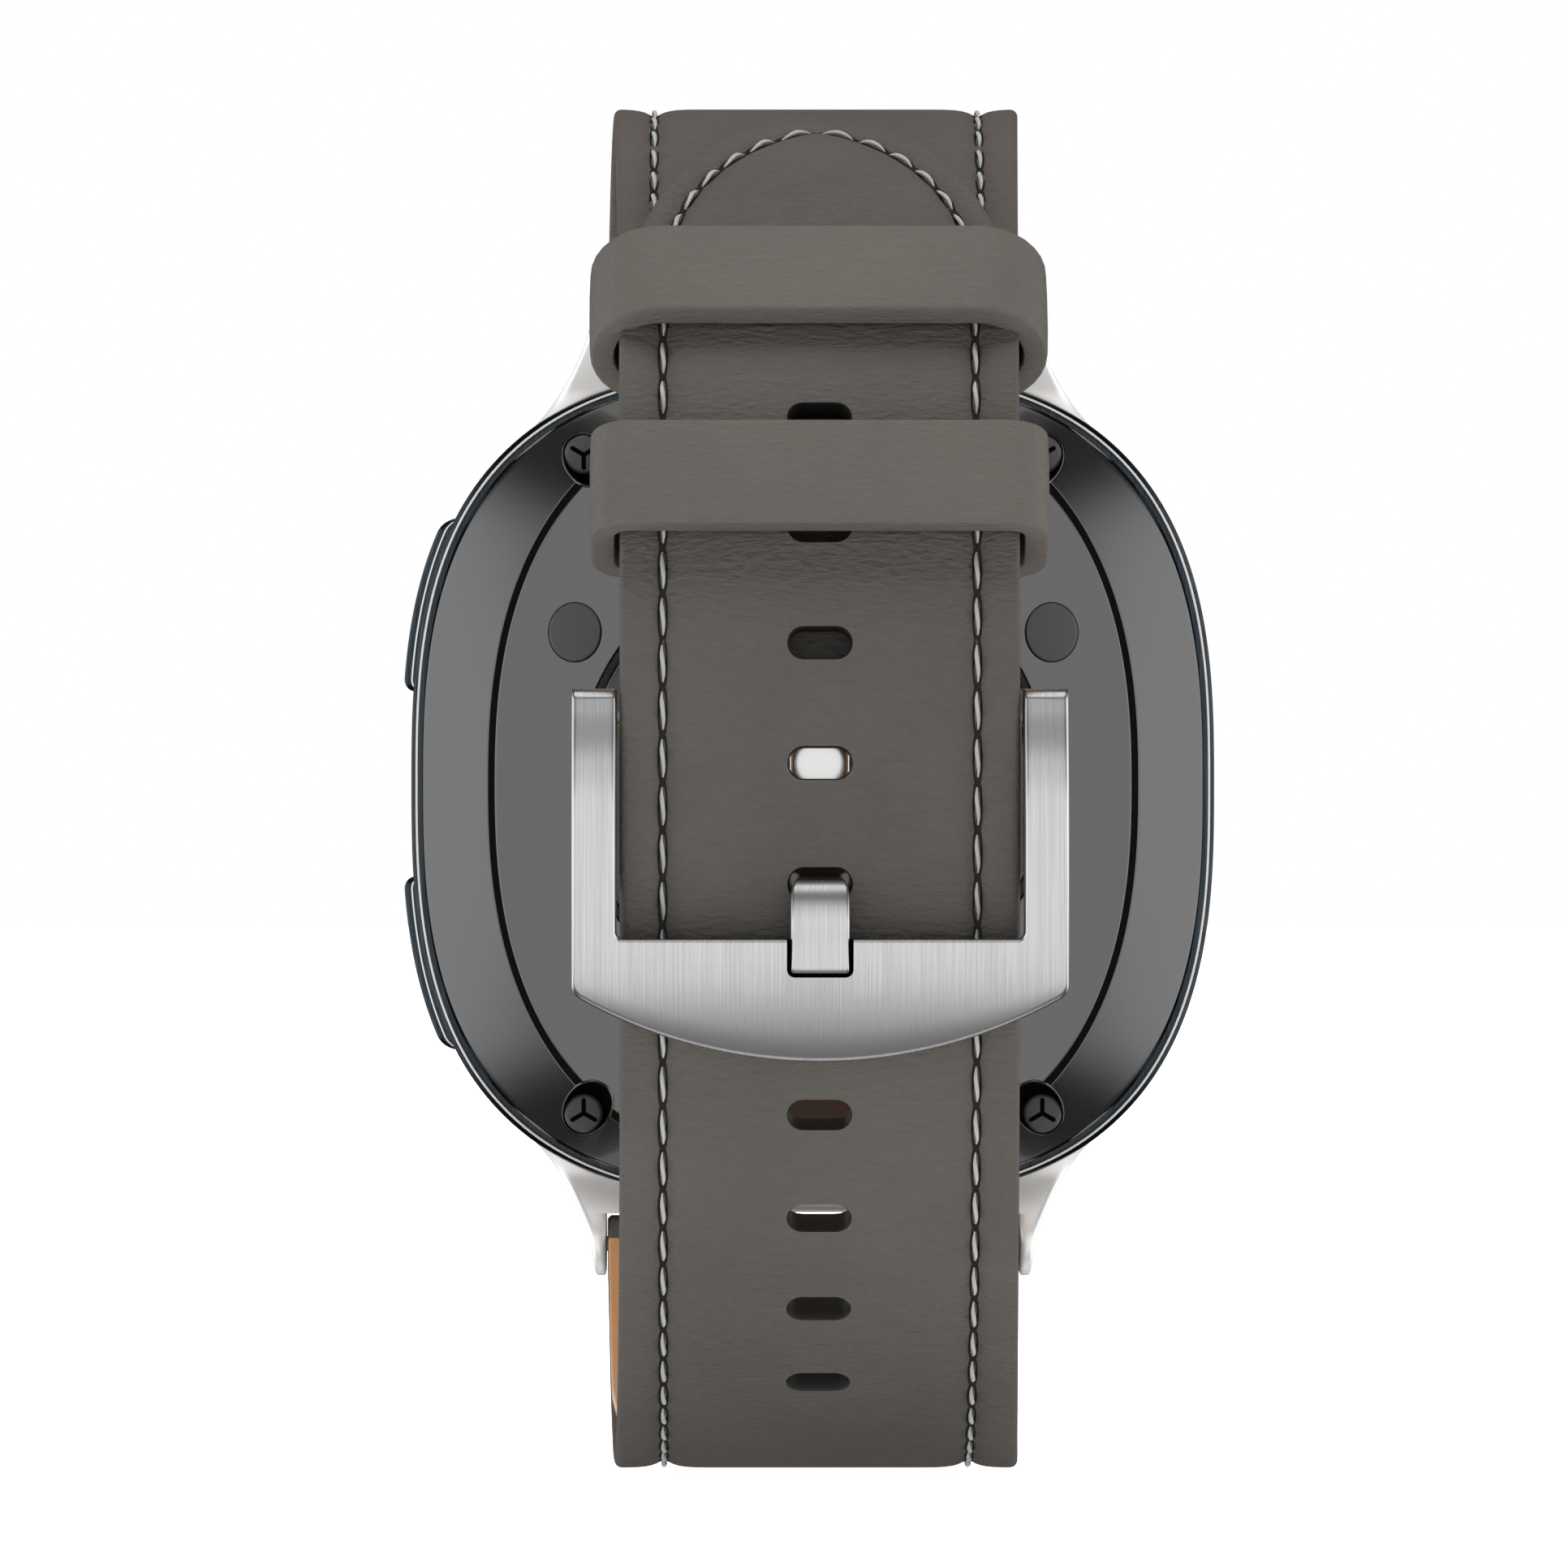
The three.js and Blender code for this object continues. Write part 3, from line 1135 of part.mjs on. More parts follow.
const STRAP_THICKNESS = LEATHER + THIN_GAP + LINING;
const SHORT_DEPTH = STRAP_THICKNESS + LAYER_GAP;
const radians = THREE.MathUtils.degToRad;

// A point of the loop in Y and Z, at an angle from +Y, sunk below the outer face by a depth.
function loopPoint(degrees, depth) {
  const angle = radians(degrees);
  const normal = loopNormal(degrees);
  return new THREE.Vector2(
    LOOP_CENTRE_Y + LOOP_HALF_DEPTH * Math.cos(angle) - normal.x * depth,
    LOOP_CENTRE_Z + LOOP_HALF_HEIGHT * Math.sin(angle) - normal.y * depth,
  );
}

function loopNormal(degrees) {
  const angle = radians(degrees);
  const outward = [Math.cos(angle) / LOOP_HALF_DEPTH, Math.sin(angle) / LOOP_HALF_HEIGHT];
  return new THREE.Vector2(...outward).normalize();
}

function loopAngleAtZ(z) {
  return THREE.MathUtils.radToDeg(Math.asin((z - LOOP_CENTRE_Z) / LOOP_HALF_HEIGHT));
}

// The angle that lies a length along the outer face from another angle.
function loopAngleAfter(degrees, length) {
  const step = 0.01 * Math.sign(length);
  let angle = degrees;
  let left = Math.abs(length);
  while (left > 0) {
    left -= loopPoint(angle, 0).distanceTo(loopPoint(angle + step, 0));
    angle += step;
  }
  return angle;
}

// The strap's half width grows with distance from the buckle, towards the lugs.
function strapHalfWidth(y) {
  const nearY = LOOP_CENTRE_Y + LOOP_HALF_DEPTH;
  const share = THREE.MathUtils.clamp((nearY - y) / (nearY - BAR_Y), 0, 1);
  return THREE.MathUtils.lerp(STRAP_NEAR_HALF_WIDTH, STRAP_LUG_HALF_WIDTH, share ** STRAP_TAPER_CURVE);
}

// How deep the short strap's outer face lies below the loop's outer face.
function shortStrapDepth(degrees) {
  return SHORT_DEPTH * (1 - THREE.MathUtils.smoothstep(degrees, DIVES_AT, SURFACES_AT));
}

const tipStart = loopAngleAfter(TIP_AT, -TIP_LENGTH);

// The long strap's pointed end is an arch in plan.
function tipShare(degrees) {
  const share = THREE.MathUtils.clamp((degrees - tipStart) / (TIP_AT - tipStart), 0, 1);
  return Math.cos((Math.PI / 2) * Math.min(share, 0.9999)) ** TIP_CURVE;
}

function angleSteps(from, to, step) {
  const count = Math.ceil(Math.abs(to - from) / step);
  return Array.from({ length: count + 1 }, (_, i) => from + ((to - from) * i) / count);
}

// Half a turn round a lug bar or the pin, from the outer face to the inner face.
function wrapPoints(centre, radius, normal, endDirection, steps = 8) {
  const points = [];
  for (let i = 0; i <= steps; i += 1) {
    const angle = (Math.PI * i) / steps;
    const out = normal.clone().multiplyScalar(Math.cos(angle) * radius);
    const along = endDirection.clone().multiplyScalar(Math.sin(angle) * radius);
    points.push(centre.clone().add(out).add(along));
  }
  return points;
}

function lugWrap(sign) {
  const normal = loopNormal(STRAP_LEAVES_LUG * sign);
  const end = new THREE.Vector2(normal.y, -normal.x).multiplyScalar(-sign);
  return wrapPoints(new THREE.Vector2(BAR_Y, BAR_Z * sign), LUG_TUBE_RADIUS, normal, end);
}

// A strap layer: its side view is extruded across, then its edges follow the strap's width.
function strapLayer(outline, inset, widthShare = () => 1) {
  const body = prismX(new THREE.Shape(outline), -1, 1);
  const position = body.getAttribute('position');
  for (let i = 0; i < position.count; i += 1) {
    const y = position.getY(i);
    const z = position.getZ(i);
    const degrees = THREE.MathUtils.radToDeg(
      Math.atan2((z - LOOP_CENTRE_Z) / LOOP_HALF_HEIGHT, (y - LOOP_CENTRE_Y) / LOOP_HALF_DEPTH),
    );
    const full = strapHalfWidth(y) - inset;
    const half = TIP_HALF_FLAT + (full - TIP_HALF_FLAT) * widthShare(degrees);
    position.setX(i, position.getX(i) * half);
  }
  return body;
}

const holeAngles = Array.from({ length: HOLE_COUNT }, (_, i) => {
  const used = loopAngleAtZ(USED_HOLE_Z);
  return i === USED_HOLE ? used : loopAngleAfter(used, (USED_HOLE - i) * HOLE_PITCH);
});

// A tool that runs through the strap along the loop's normal.
function holeCutter(degrees) {
  const middle = HOLE_HALF_LENGTH - HOLE_HALF_HEIGHT;
  const shape = new THREE.Shape();
  shape.absarc(middle, 0, HOLE_HALF_HEIGHT, -Math.PI / 2, Math.PI / 2, false);
  shape.absarc(-middle, 0, HOLE_HALF_HEIGHT, Math.PI / 2, Math.PI * 1.5, false);
  const tool = prismY(shape, -STRAP_THICKNESS - 1, 1, { curveSegments: 2 });
  const normal = loopNormal(degrees);
  const point = loopPoint(degrees, 0);
  return tool.rotateX(Math.atan2(normal.y, normal.x)).translate(0, point.x, point.y);
}

const tipAngles = Array.from({ length: 9 }, (_, i) => {
  const share = Math.sin((Math.PI / 2) * (i / 8));
  return tipStart + (TIP_AT - tipStart) * share;
});
const longAngles = [...angleSteps(-STRAP_LEAVES_LUG, tipStart, STRAP_STEP), ...tipAngles.slice(1)];

// The long strap thins towards its tip, so that it lies flush on the short strap.
function longStrapInner(degrees) {
  return Math.min(STRAP_THICKNESS, shortStrapDepth(degrees) - LAYER_GAP);
}

function barBore(sign) {
  return rodX(BAR_STRAP_BORE, -CASE_HALF_WIDTH, CASE_HALF_WIDTH, BAR_Y, BAR_Z * sign, 16);
}

// The opening in the strap's inner side for the quick-release knob.
function knobSlot(sign) {
  const slot = block(
    [knobLowX - RELEASE_TRAVEL - LAYER_GAP, 0, -RELEASE_KNOB_RADIUS - LAYER_GAP],
    [knobHighX + LAYER_GAP, CUT_PAST, RELEASE_KNOB_RADIUS + LAYER_GAP],
  );
  return atKnob(slot, sign);
}

function longLeather() {
  const leather = (degrees) => longStrapInner(degrees) * (LEATHER / STRAP_THICKNESS);
  const outer = longAngles.map((degrees) => loopPoint(degrees, 0)).reverse();
  const inner = longAngles.map((degrees) => loopPoint(degrees, leather(degrees)));
  const body = strapLayer([...outer, ...lugWrap(-1), ...inner], 0, tipShare);
  return cut(body, barBore(-1), knobSlot(-1), ...holeAngles.map(holeCutter));
}

function longLining() {
  const top = (degrees) => longStrapInner(degrees) * ((LEATHER + THIN_GAP) / STRAP_THICKNESS);
  const angles = longAngles.slice(1);
  const outer = angles.map((degrees) => loopPoint(degrees, top(degrees))).reverse();
  const inner = angles.map((degrees) => loopPoint(degrees, longStrapInner(degrees)));
  const body = strapLayer([...outer, ...inner], LINING_INSET, tipShare);
  return cut(body, ...holeAngles.map(holeCutter));
}

// ---------- buckle pin, where the short strap ends ----------

// The angle at which a point sunk by a depth lies at a height Z.
function sunkAngleAtZ(z, depth) {
  let angle = loopAngleAtZ(z);
  for (let i = 0; i < 8; i += 1) {
    angle = loopAngleAtZ(z + loopNormal(angle).y * depth);
  }
  return angle;
}

const pinDepth = SHORT_DEPTH + PIN_TUBE_RADIUS;
const pinAngle = sunkAngleAtZ(BUCKLE_TOP_Z - LEG_END_RADIUS, pinDepth);
const pinCentre = loopPoint(pinAngle, pinDepth);
const shortEnd = pinAngle + 3;
const shortAngles = angleSteps(shortEnd, STRAP_LEAVES_LUG, STRAP_STEP);
const TONGUE_SLOT_PAST_EYE = 0.6;

// A point of the short strap, below its outer face.
function shortPoint(degrees, below) {
  return loopPoint(degrees, shortStrapDepth(degrees) + below);
}

// A cutter along the pin's axis, wider than the strap.
function pinRod(radius) {
  return rodX(radius, -CASE_HALF_WIDTH, CASE_HALF_WIDTH, pinCentre.x, pinCentre.y, 16);
}

function pinWrap() {
  const normal = loopNormal(pinAngle);
  const end = new THREE.Vector2(normal.y, -normal.x);
  return wrapPoints(pinCentre, PIN_TUBE_RADIUS, normal, end);
}

// The short strap's end is slotted in the middle for the tongue's eye.
function tongueSlot() {
  const half = TONGUE_HALF_WIDTH + LAYER_GAP;
  const reach = PIN_TUBE_RADIUS + CUT_PAST;
  const high = pinCentre.y + TONGUE_EYE_RADIUS + TONGUE_SLOT_PAST_EYE;
  return block([-half, pinCentre.x - reach, pinCentre.y - reach], [half, pinCentre.x + reach, high]);
}

function shortLeather() {
  const outer = shortAngles.map((degrees) => shortPoint(degrees, 0));
  const inner = shortAngles.map((degrees) => shortPoint(degrees, LEATHER)).reverse();
  const body = strapLayer([...outer, ...lugWrap(1), ...inner, ...pinWrap().reverse()], 0);
  return cut(body, barBore(1), knobSlot(1), pinRod(PIN_RADIUS + SLIDE), tongueSlot());
}

function shortLining() {
  const angles = shortAngles.slice(1, -1);
  const outer = angles.map((degrees) => shortPoint(degrees, LEATHER + THIN_GAP));
  const inner = angles.map((degrees) => shortPoint(degrees, STRAP_THICKNESS)).reverse();
  return strapLayer([...outer, ...inner], LINING_INSET);
}

place('long_strap_leather', 'leather', longLeather());
place('long_strap_lining', 'lining', longLining());
place('short_strap_leather', 'leather', shortLeather());
place('short_strap_lining', 'lining', shortLining());

// ---------- keepers ----------

// A keeper is a flat leather loop round both straps, square to the loop at its own place.
function keeper(z, width) {
  const degrees = loopAngleAtZ(z);
  const half = strapHalfWidth(loopPoint(degrees, 0).x) + KEEPER_SIDE_GAP;
  const under = SHORT_DEPTH + STRAP_THICKNESS + LAYER_GAP;
  const outer = roundedRectangle(
    THREE.Shape,
    -half - KEEPER_LEATHER,
    -under - KEEPER_LEATHER,
    half + KEEPER_LEATHER,
    LAYER_GAP + KEEPER_LEATHER,
    KEEPER_CORNER,
  );
  const innerCorner = KEEPER_CORNER / 4;
  outer.holes.push(roundedRectangle(THREE.Path, -half, -under, half, LAYER_GAP, innerCorner));
  const body = new THREE.ExtrudeGeometry(outer, {
    depth: width,
    bevelEnabled: false,
    curveSegments: 3,
  });
  body.translate(0, 0, -width / 2);
  const normal = loopNormal(degrees);
  const point = loopPoint(degrees, 0);
  const turn = new THREE.Matrix4().makeBasis(
    new THREE.Vector3(1, 0, 0),
    new THREE.Vector3(0, normal.x, normal.y),
    new THREE.Vector3(0, -normal.y, normal.x),
  );
  return body.applyMatrix4(turn).translate(0, point.x, point.y);
}

place('fixed_keeper', 'leather', keeper(FIXED_KEEPER_Z, FIXED_KEEPER_WIDTH));
place('free_keeper', 'leather', keeper(FREE_KEEPER_Z, FREE_KEEPER_WIDTH));

// ---------- buckle ----------

const buckleInnerDepth = -LAYER_GAP;
const buckleOuterDepth = -LAYER_GAP - BUCKLE_THICKNESS;

// The buckle from the front: a U with a curved lower bar.
function buckleFront() {
  const corner = BUCKLE_CORNER_RADIUS;
  const sagitta = BUCKLE_CORNER_Z - BUCKLE_BOTTOM_Z;
  const arcRadius = (BUCKLE_HALF_WIDTH ** 2 + sagitta ** 2) / (2 * sagitta);
  const arcCentreZ = BUCKLE_BOTTOM_Z + arcRadius;
  const span = Math.asin((BUCKLE_HALF_WIDTH - corner) / arcRadius);
  const fillet = BUCKLE_INNER_FILLET;
  const inner = BUCKLE_INNER_HALF_WIDTH;
  const top = BUCKLE_TOP_Z + CUT_PAST;
  const shape = new THREE.Shape();
  shape.moveTo(-BUCKLE_HALF_WIDTH, top);
  shape.lineTo(-BUCKLE_HALF_WIDTH, BUCKLE_CORNER_Z + corner);
  shape.absarc(0, arcCentreZ, arcRadius, -Math.PI / 2 - span, -Math.PI / 2 + span, false);
  shape.lineTo(BUCKLE_HALF_WIDTH, BUCKLE_CORNER_Z + corner);
  shape.lineTo(BUCKLE_HALF_WIDTH, top);
  shape.lineTo(inner, top);
  shape.absarc(inner - fillet, BUCKLE_INNER_Z + fillet, fillet, 0, -Math.PI / 2, true);
  shape.absarc(-inner + fillet, BUCKLE_INNER_Z + fillet, fillet, -Math.PI / 2, -Math.PI, true);
  shape.lineTo(-inner, top);
  return shape;
}

// The buckle from the side: the bar lies over the strap and the legs drop to the pin.
function buckleSide() {
  const barEnd = loopAngleAtZ(BUCKLE_BOTTOM_Z) - 2;
  const barTop = loopAngleAtZ(BUCKLE_INNER_Z);
  const outer = [
    loopPoint(barEnd, buckleOuterDepth),
    loopPoint(barTop - 3, buckleOuterDepth),
    loopPoint(barTop + 4, buckleOuterDepth + 0.15),
    loopPoint(-2, buckleOuterDepth + 1.1),
    loopPoint(2, buckleOuterDepth + 2.4),
  ];
  const inner = [
    loopPoint(0, SHORT_DEPTH + 1.2),
    loopPoint(-4, 1.4),
    loopPoint(barTop + 4, 0.3),
    loopPoint(barTop, buckleInnerDepth),
    loopPoint((barTop + barEnd) / 2, buckleInnerDepth),
    loopPoint(barEnd, buckleInnerDepth),
  ];
  const round = [];
  for (let i = 0; i <= 8; i += 1) {
    const angle = radians(40 + i * 22);
    round.push(new THREE.Vector2(
      pinCentre.x + LEG_END_RADIUS * Math.cos(angle),
      pinCentre.y + LEG_END_RADIUS * Math.sin(angle),
    ));
  }
  return new THREE.Shape([...new THREE.SplineCurve(outer).getPoints(10), ...round, ...inner]);
}

const notchAngle = loopAngleAtZ(BUCKLE_INNER_Z - NOTCH_LENGTH / 2);
const notchFloorY = loopPoint(notchAngle, buckleOuterDepth + NOTCH_DEPTH).x;

function buckleFrame() {
  const front = prismY(buckleFront(), 0, LOOP_CENTRE_Y + LOOP_HALF_DEPTH + BUCKLE_THICKNESS + CUT_PAST);
  const side = prismX(buckleSide(), -BUCKLE_HALF_WIDTH - 1, BUCKLE_HALF_WIDTH + 1);
  const notch = roundedRectangle(
    THREE.Shape,
    -NOTCH_HALF_WIDTH,
    BUCKLE_INNER_Z - NOTCH_LENGTH,
    NOTCH_HALF_WIDTH,
    BUCKLE_INNER_Z + NOTCH_LENGTH,
    NOTCH_LENGTH * 0.4,
  );
  const pinReach = BUCKLE_HALF_WIDTH - PIN_END_INSET + FIT;
  return cut(
    common(front, side),
    prismY(notch, notchFloorY, notchFloorY + NOTCH_DEPTH + CUT_PAST),
    rodX(PIN_END_RADIUS + FIT, -pinReach, pinReach, pinCentre.x, pinCentre.y, 16),
  );
}

place('buckle_frame', 'brushedSteel', buckleFrame());

const pinShoulderX = STRAP_NEAR_HALF_WIDTH;
const pinEndX = BUCKLE_HALF_WIDTH - PIN_END_INSET;
place('buckle_pin', 'brushedSteel', turnedX([
  [0, -pinEndX],
  [PIN_END_RADIUS, -pinEndX],
  [PIN_END_RADIUS, -pinShoulderX],
  [PIN_RADIUS, -pinShoulderX],
  [PIN_RADIUS, pinShoulderX],
  [PIN_END_RADIUS, pinShoulderX],
  [PIN_END_RADIUS, pinEndX],
  [0, pinEndX],
], pinCentre.x, pinCentre.y, 16));

// The tongue runs under the long strap, comes out through the used hole and lies in the notch.
function buckleTongue() {
  const half = TONGUE_THICKNESS / 2;
  const holeAngle = loopAngleAtZ(USED_HOLE_Z);
  const inHole = (depth, shift) => {
    const point = loopPoint(holeAngle, depth);
    return new THREE.Vector2(point.x, point.y + shift);
  };
  const restY = notchFloorY + half + 0.08;
  const tipZ = BUCKLE_INNER_Z - NOTCH_LENGTH + 0.3;
  const spine = new THREE.SplineCurve([
    new THREE.Vector2(pinCentre.x - 0.1, pinCentre.y - PIN_RADIUS - 0.35),
    new THREE.Vector2(pinCentre.x - 0.1, pinCentre.y - 3.2),
    inHole(STRAP_THICKNESS + 1.6, 2.2),
    inHole(STRAP_THICKNESS + 1.3, 0.2),
    inHole(STRAP_THICKNESS / 2, -0.13),
    inHole(-0.4, -0.22),
    new THREE.Vector2(restY + 0.1, USED_HOLE_Z - 1.7),
    new THREE.Vector2(restY, BUCKLE_INNER_Z - 0.3),
    new THREE.Vector2(restY, tipZ + half),
  ]);
  const points = spine.getPoints(22);
  const left = [];
  const right = [];
  points.forEach((point, i) => {
    const before = points[Math.max(i - 1, 0)];
    const after = points[Math.min(i + 1, points.length - 1)];
    const along = after.clone().sub(before).normalize();
    const across = new THREE.Vector2(-along.y, along.x).multiplyScalar(half);
    left.push(point.clone().add(across));
    right.push(point.clone().sub(across));
  });
  const outline = new THREE.Shape([...left, ...right.reverse()]);
  const arm = prismX(outline, -TONGUE_HALF_WIDTH, TONGUE_HALF_WIDTH);
  const eyeSides = [-TONGUE_HALF_WIDTH, TONGUE_HALF_WIDTH];
  const eye = rodX(TONGUE_EYE_RADIUS, ...eyeSides, pinCentre.x, pinCentre.y);
  const bore = pinRod(PIN_RADIUS + FIT);
  const neckLow = inHole(STRAP_THICKNESS + TONGUE_THICKNESS, 0);
  const neckHigh = inHole(-LAYER_GAP / 2, 0);
  const neckReach = HOLE_HALF_HEIGHT * 2;
  const waists = [[-CUT_PAST, -TONGUE_NECK_HALF_WIDTH], [TONGUE_NECK_HALF_WIDTH, CUT_PAST]].map(
    ([low, high]) => block(
      [low, neckLow.x, neckLow.y - neckReach],
      [high, neckHigh.x, neckLow.y + neckReach],
    ),
  );
  return cut(join(arm, eye), bore, ...waists);
}

place('buckle_tongue', 'brushedSteel', buckleTongue());

export default group;
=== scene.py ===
"""A cushion-shaped smartwatch with its leather strap buckled into a loop, seen from behind.

Lengths are millimetres until a piece is built, and metres in Blender. +Z is 12 o'clock, +X is 3 o'clock,
and the display faces -Y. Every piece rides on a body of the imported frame.
"""
import math

import bmesh
import bpy
import numpy as np
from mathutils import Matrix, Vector


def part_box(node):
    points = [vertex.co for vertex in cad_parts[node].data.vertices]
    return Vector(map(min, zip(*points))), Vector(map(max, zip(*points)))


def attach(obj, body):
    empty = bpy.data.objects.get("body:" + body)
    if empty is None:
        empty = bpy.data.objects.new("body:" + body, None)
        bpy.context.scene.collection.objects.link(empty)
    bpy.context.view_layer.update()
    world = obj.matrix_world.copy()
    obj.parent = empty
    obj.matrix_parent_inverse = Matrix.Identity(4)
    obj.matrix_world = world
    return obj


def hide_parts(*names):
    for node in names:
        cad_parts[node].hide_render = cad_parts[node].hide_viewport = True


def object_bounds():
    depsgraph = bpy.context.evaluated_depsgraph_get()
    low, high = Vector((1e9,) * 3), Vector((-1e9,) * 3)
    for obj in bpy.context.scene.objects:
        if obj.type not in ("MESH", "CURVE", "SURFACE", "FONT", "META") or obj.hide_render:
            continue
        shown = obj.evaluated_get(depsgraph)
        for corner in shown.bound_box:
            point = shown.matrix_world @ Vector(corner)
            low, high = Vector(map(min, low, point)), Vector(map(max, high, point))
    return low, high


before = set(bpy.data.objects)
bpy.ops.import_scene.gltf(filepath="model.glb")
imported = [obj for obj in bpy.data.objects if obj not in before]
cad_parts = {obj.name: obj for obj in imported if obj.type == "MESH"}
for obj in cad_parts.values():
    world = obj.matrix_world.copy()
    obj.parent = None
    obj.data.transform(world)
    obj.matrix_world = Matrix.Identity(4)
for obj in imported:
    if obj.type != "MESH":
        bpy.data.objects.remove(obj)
CAD_BOX = [list(corner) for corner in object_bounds()]
MM = 0.001


def box_mm(node):
    """Lowest and highest corner of a CAD node, in millimetres."""
    low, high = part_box(node)
    return np.array(low) / MM, np.array(high) / MM


# ---------- sizes ----------

# Case and rear cover: cushion outlines with these exponents
CASE_CUSHION = 2.81
COVER_CUSHION = 2.74
COVER_LOW, COVER_HIGH = box_mm("rear_cover")
COVER_HALF = (COVER_HIGH[0], COVER_HIGH[2])
COVER_STEP = 0.38  # from the case's outline to the cover's
RIM_WIDTH = 0.24  # more of the case's edge shows round the cover's rounded edge
CASE_HALF = (COVER_HALF[0] + COVER_STEP, COVER_HALF[1] + COVER_STEP)
CASE_FRONT_Y = box_mm("case_middle")[0][1]
CASE_REAR_Y = COVER_LOW[1] - 0.35
COVER_EDGE_Y = COVER_LOW[1] + 0.45
DOME_RIM_Y = COVER_HIGH[1]
GROOVE_HALF = (16.99, 20.36)
GROOVE_CUSHION = 2.44
GROOVE_WIDTH = 0.32
GROOVE_DEPTH = 0.4
GROOVE_RIM_Y = -1.65
SHOULDER = (14.6, 16.2, 2.2, -0.9)  # half width, half height, exponent and depth of the dome's shoulder
OUTLINE_POINTS = 288

# Screw wells in the rear cover
WELL_HALF_LONG = 1.6
WELL_HALF_SHORT = 1.3
WELL_SHIFT = 0.35  # towards the middle of the cover
WELL_FLOOR_Y = -3.25
WELL_LIP = 0.14
SCREW_SLOT_WIDTH = 0.24
SCREW_SLOT_DEPTH = 0.3

# Lugs
LUG_SLOT_X = 10.9
LUG_TIP_THICKNESS = 0.6
LUG_SHOULDER = 2.2  # how far the lug reaches inwards below the strap slot
LUG_ROOT_THICKNESS = 4.25
LUG_ROOT_Z = 18.5
LUG_TIP_Z = box_mm("case_middle")[1][2]
LUG_END_RADIUS = 1.7
BAR_Y = -3.5
BAR_Z = LUG_TIP_Z - LUG_END_RADIUS
BRIDGE_Z = BAR_Z - 1.6

# Wrist loop: the strap's outer face follows this ellipse in the YZ plane
LOOP_CENTRE = (18.0, -0.2)
LOOP_HALF = (30.5, 34.97)
LOOP_END = 118  # degrees from the buckle side, where the strap runs straight to its lug bar

# Strap
STRAP_NEAR_HALF_WIDTH = 9.92
STRAP_LUG_HALF_WIDTH = 10.85
LEATHER = 1.15
LINING_TOP = 1.2
STRAP_THICKNESS = 1.95
LONG_LINING_INSET = 0.05
LINING_SKIVE = 0.45  # the lining is trimmed further back towards the buckle
SKIVE_FROM_Y = 8.0
SKIVE_RUN = 6.0
SHORT_LINING_INSET = 0.6
LAYER_GAP = 0.3
SHORT_DEPTH = STRAP_THICKNESS + LAYER_GAP
SHORT_DIVES_AT = 66
SHORT_SURFACES_AT = 92
LUG_WRAP_RADIUS = 1.5
TIP_AT = 81.5
TIP_LENGTH = 23.5
TIP_HALF_FLAT = 0.3
TIP_CURVE = 0.74
STRAP_EDGE_ROUNDING = 0.38
HOLE_COUNT = 10
HOLE_PITCH = 6.0
HOLE_HALF_LENGTH = 1.55
HOLE_HALF_HEIGHT = 0.775
USED_HOLE = 4
USED_HOLE_Z = -4.95

# Stitching
LONG_STITCH_X = 7.8
SHORT_STITCH_X = 8.3
STITCH_PITCH = 2.37
STITCH_RADIUS = 0.19
SEAM_DIP = 0.2
SEAM_DIP_WIDTH = 0.85
SEAM_CREASE = 0.2
SEAM_CREASE_WIDTH = 0.34
SEAM_FROM_TIP = 3.94
SEAM_ARCH_LENGTH = 15.5
SEAM_ARCH_CURVE = 0.66

# Keepers
KEEPER_LEATHER = 1.2
KEEPER_SIDE_GAP = 0.28

# Buckle
BUCKLE_LOW, BUCKLE_HIGH = box_mm("buckle_frame")
BUCKLE_HALF_WIDTH = BUCKLE_HIGH[0]
BUCKLE_INNER_HALF_WIDTH = 10.08
BUCKLE_TOP_Z = BUCKLE_HIGH[2]
BUCKLE_BOTTOM_Z = BUCKLE_LOW[2]
BUCKLE_INNER_Z = -7.67
BUCKLE_CORNER_Z = -10.4
BUCKLE_THICKNESS = 1.8
BAR_CROWN = 0.4  # how far the bar's face falls back at its lower edge
LEG_END_RADIUS = 1.45
NOTCH_HALF_WIDTH = 1.65
NOTCH_LENGTH = 1.9
NOTCH_DEPTH = 1.05
TONGUE_HALF_WIDTH = 1.4
TONGUE_SIDE_SWELL = 0.08
TONGUE_NECK_HALF_WIDTH = 1.05
TONGUE_THICKNESS = 0.84
PIN_LOW, PIN_HIGH = box_mm("buckle_pin")
PIN_CENTRE = (PIN_LOW[1:] + PIN_HIGH[1:]) / 2
PIN_RADIUS = 0.7
TONGUE_EYE_RADIUS = 1.25

# ---------- finishes ----------


def linear(hex_colour):
    """An sRGB hex colour as the linear RGBA that a shader reads."""
    channels = [int(hex_colour[i:i + 2], 16) / 255 for i in (1, 3, 5)]
    return [c / 12.92 if c <= 0.04045 else ((c + 0.055) / 1.055) ** 2.4 for c in channels] + [1.0]


def add_node(tree, kind, inputs=None, **settings):
    """One node with its settings; an input is a value, or another node's output to link to."""
    node = tree.nodes.new(kind)
    for name, value in settings.items():
        setattr(node, name, value)
    for name, value in (inputs or {}).items():
        if isinstance(value, bpy.types.NodeSocket):
            tree.links.new(value, node.inputs[name])
        else:
            node.inputs[name].default_value = value
    return node


def new_finish(name, inputs):
    """A material with one principled shader; returns the material, its tree and the shader."""
    material = bpy.data.materials.new(name)
    material.use_nodes = True
    tree = material.node_tree
    tree.nodes.clear()
    shader = add_node(tree, "ShaderNodeBsdfPrincipled", inputs)
    add_node(tree, "ShaderNodeOutputMaterial", {"Surface": shader.outputs[0]})
    return material, tree, shader


def per_metre(size_mm):
    """The texture scale that gives one cell or wave of a size in millimetres."""
    return 1 / (size_mm * MM)


COLOUR_A, COLOUR_B, COLOUR_OUT = 6, 7, 2  # the colour sockets of a Mix node


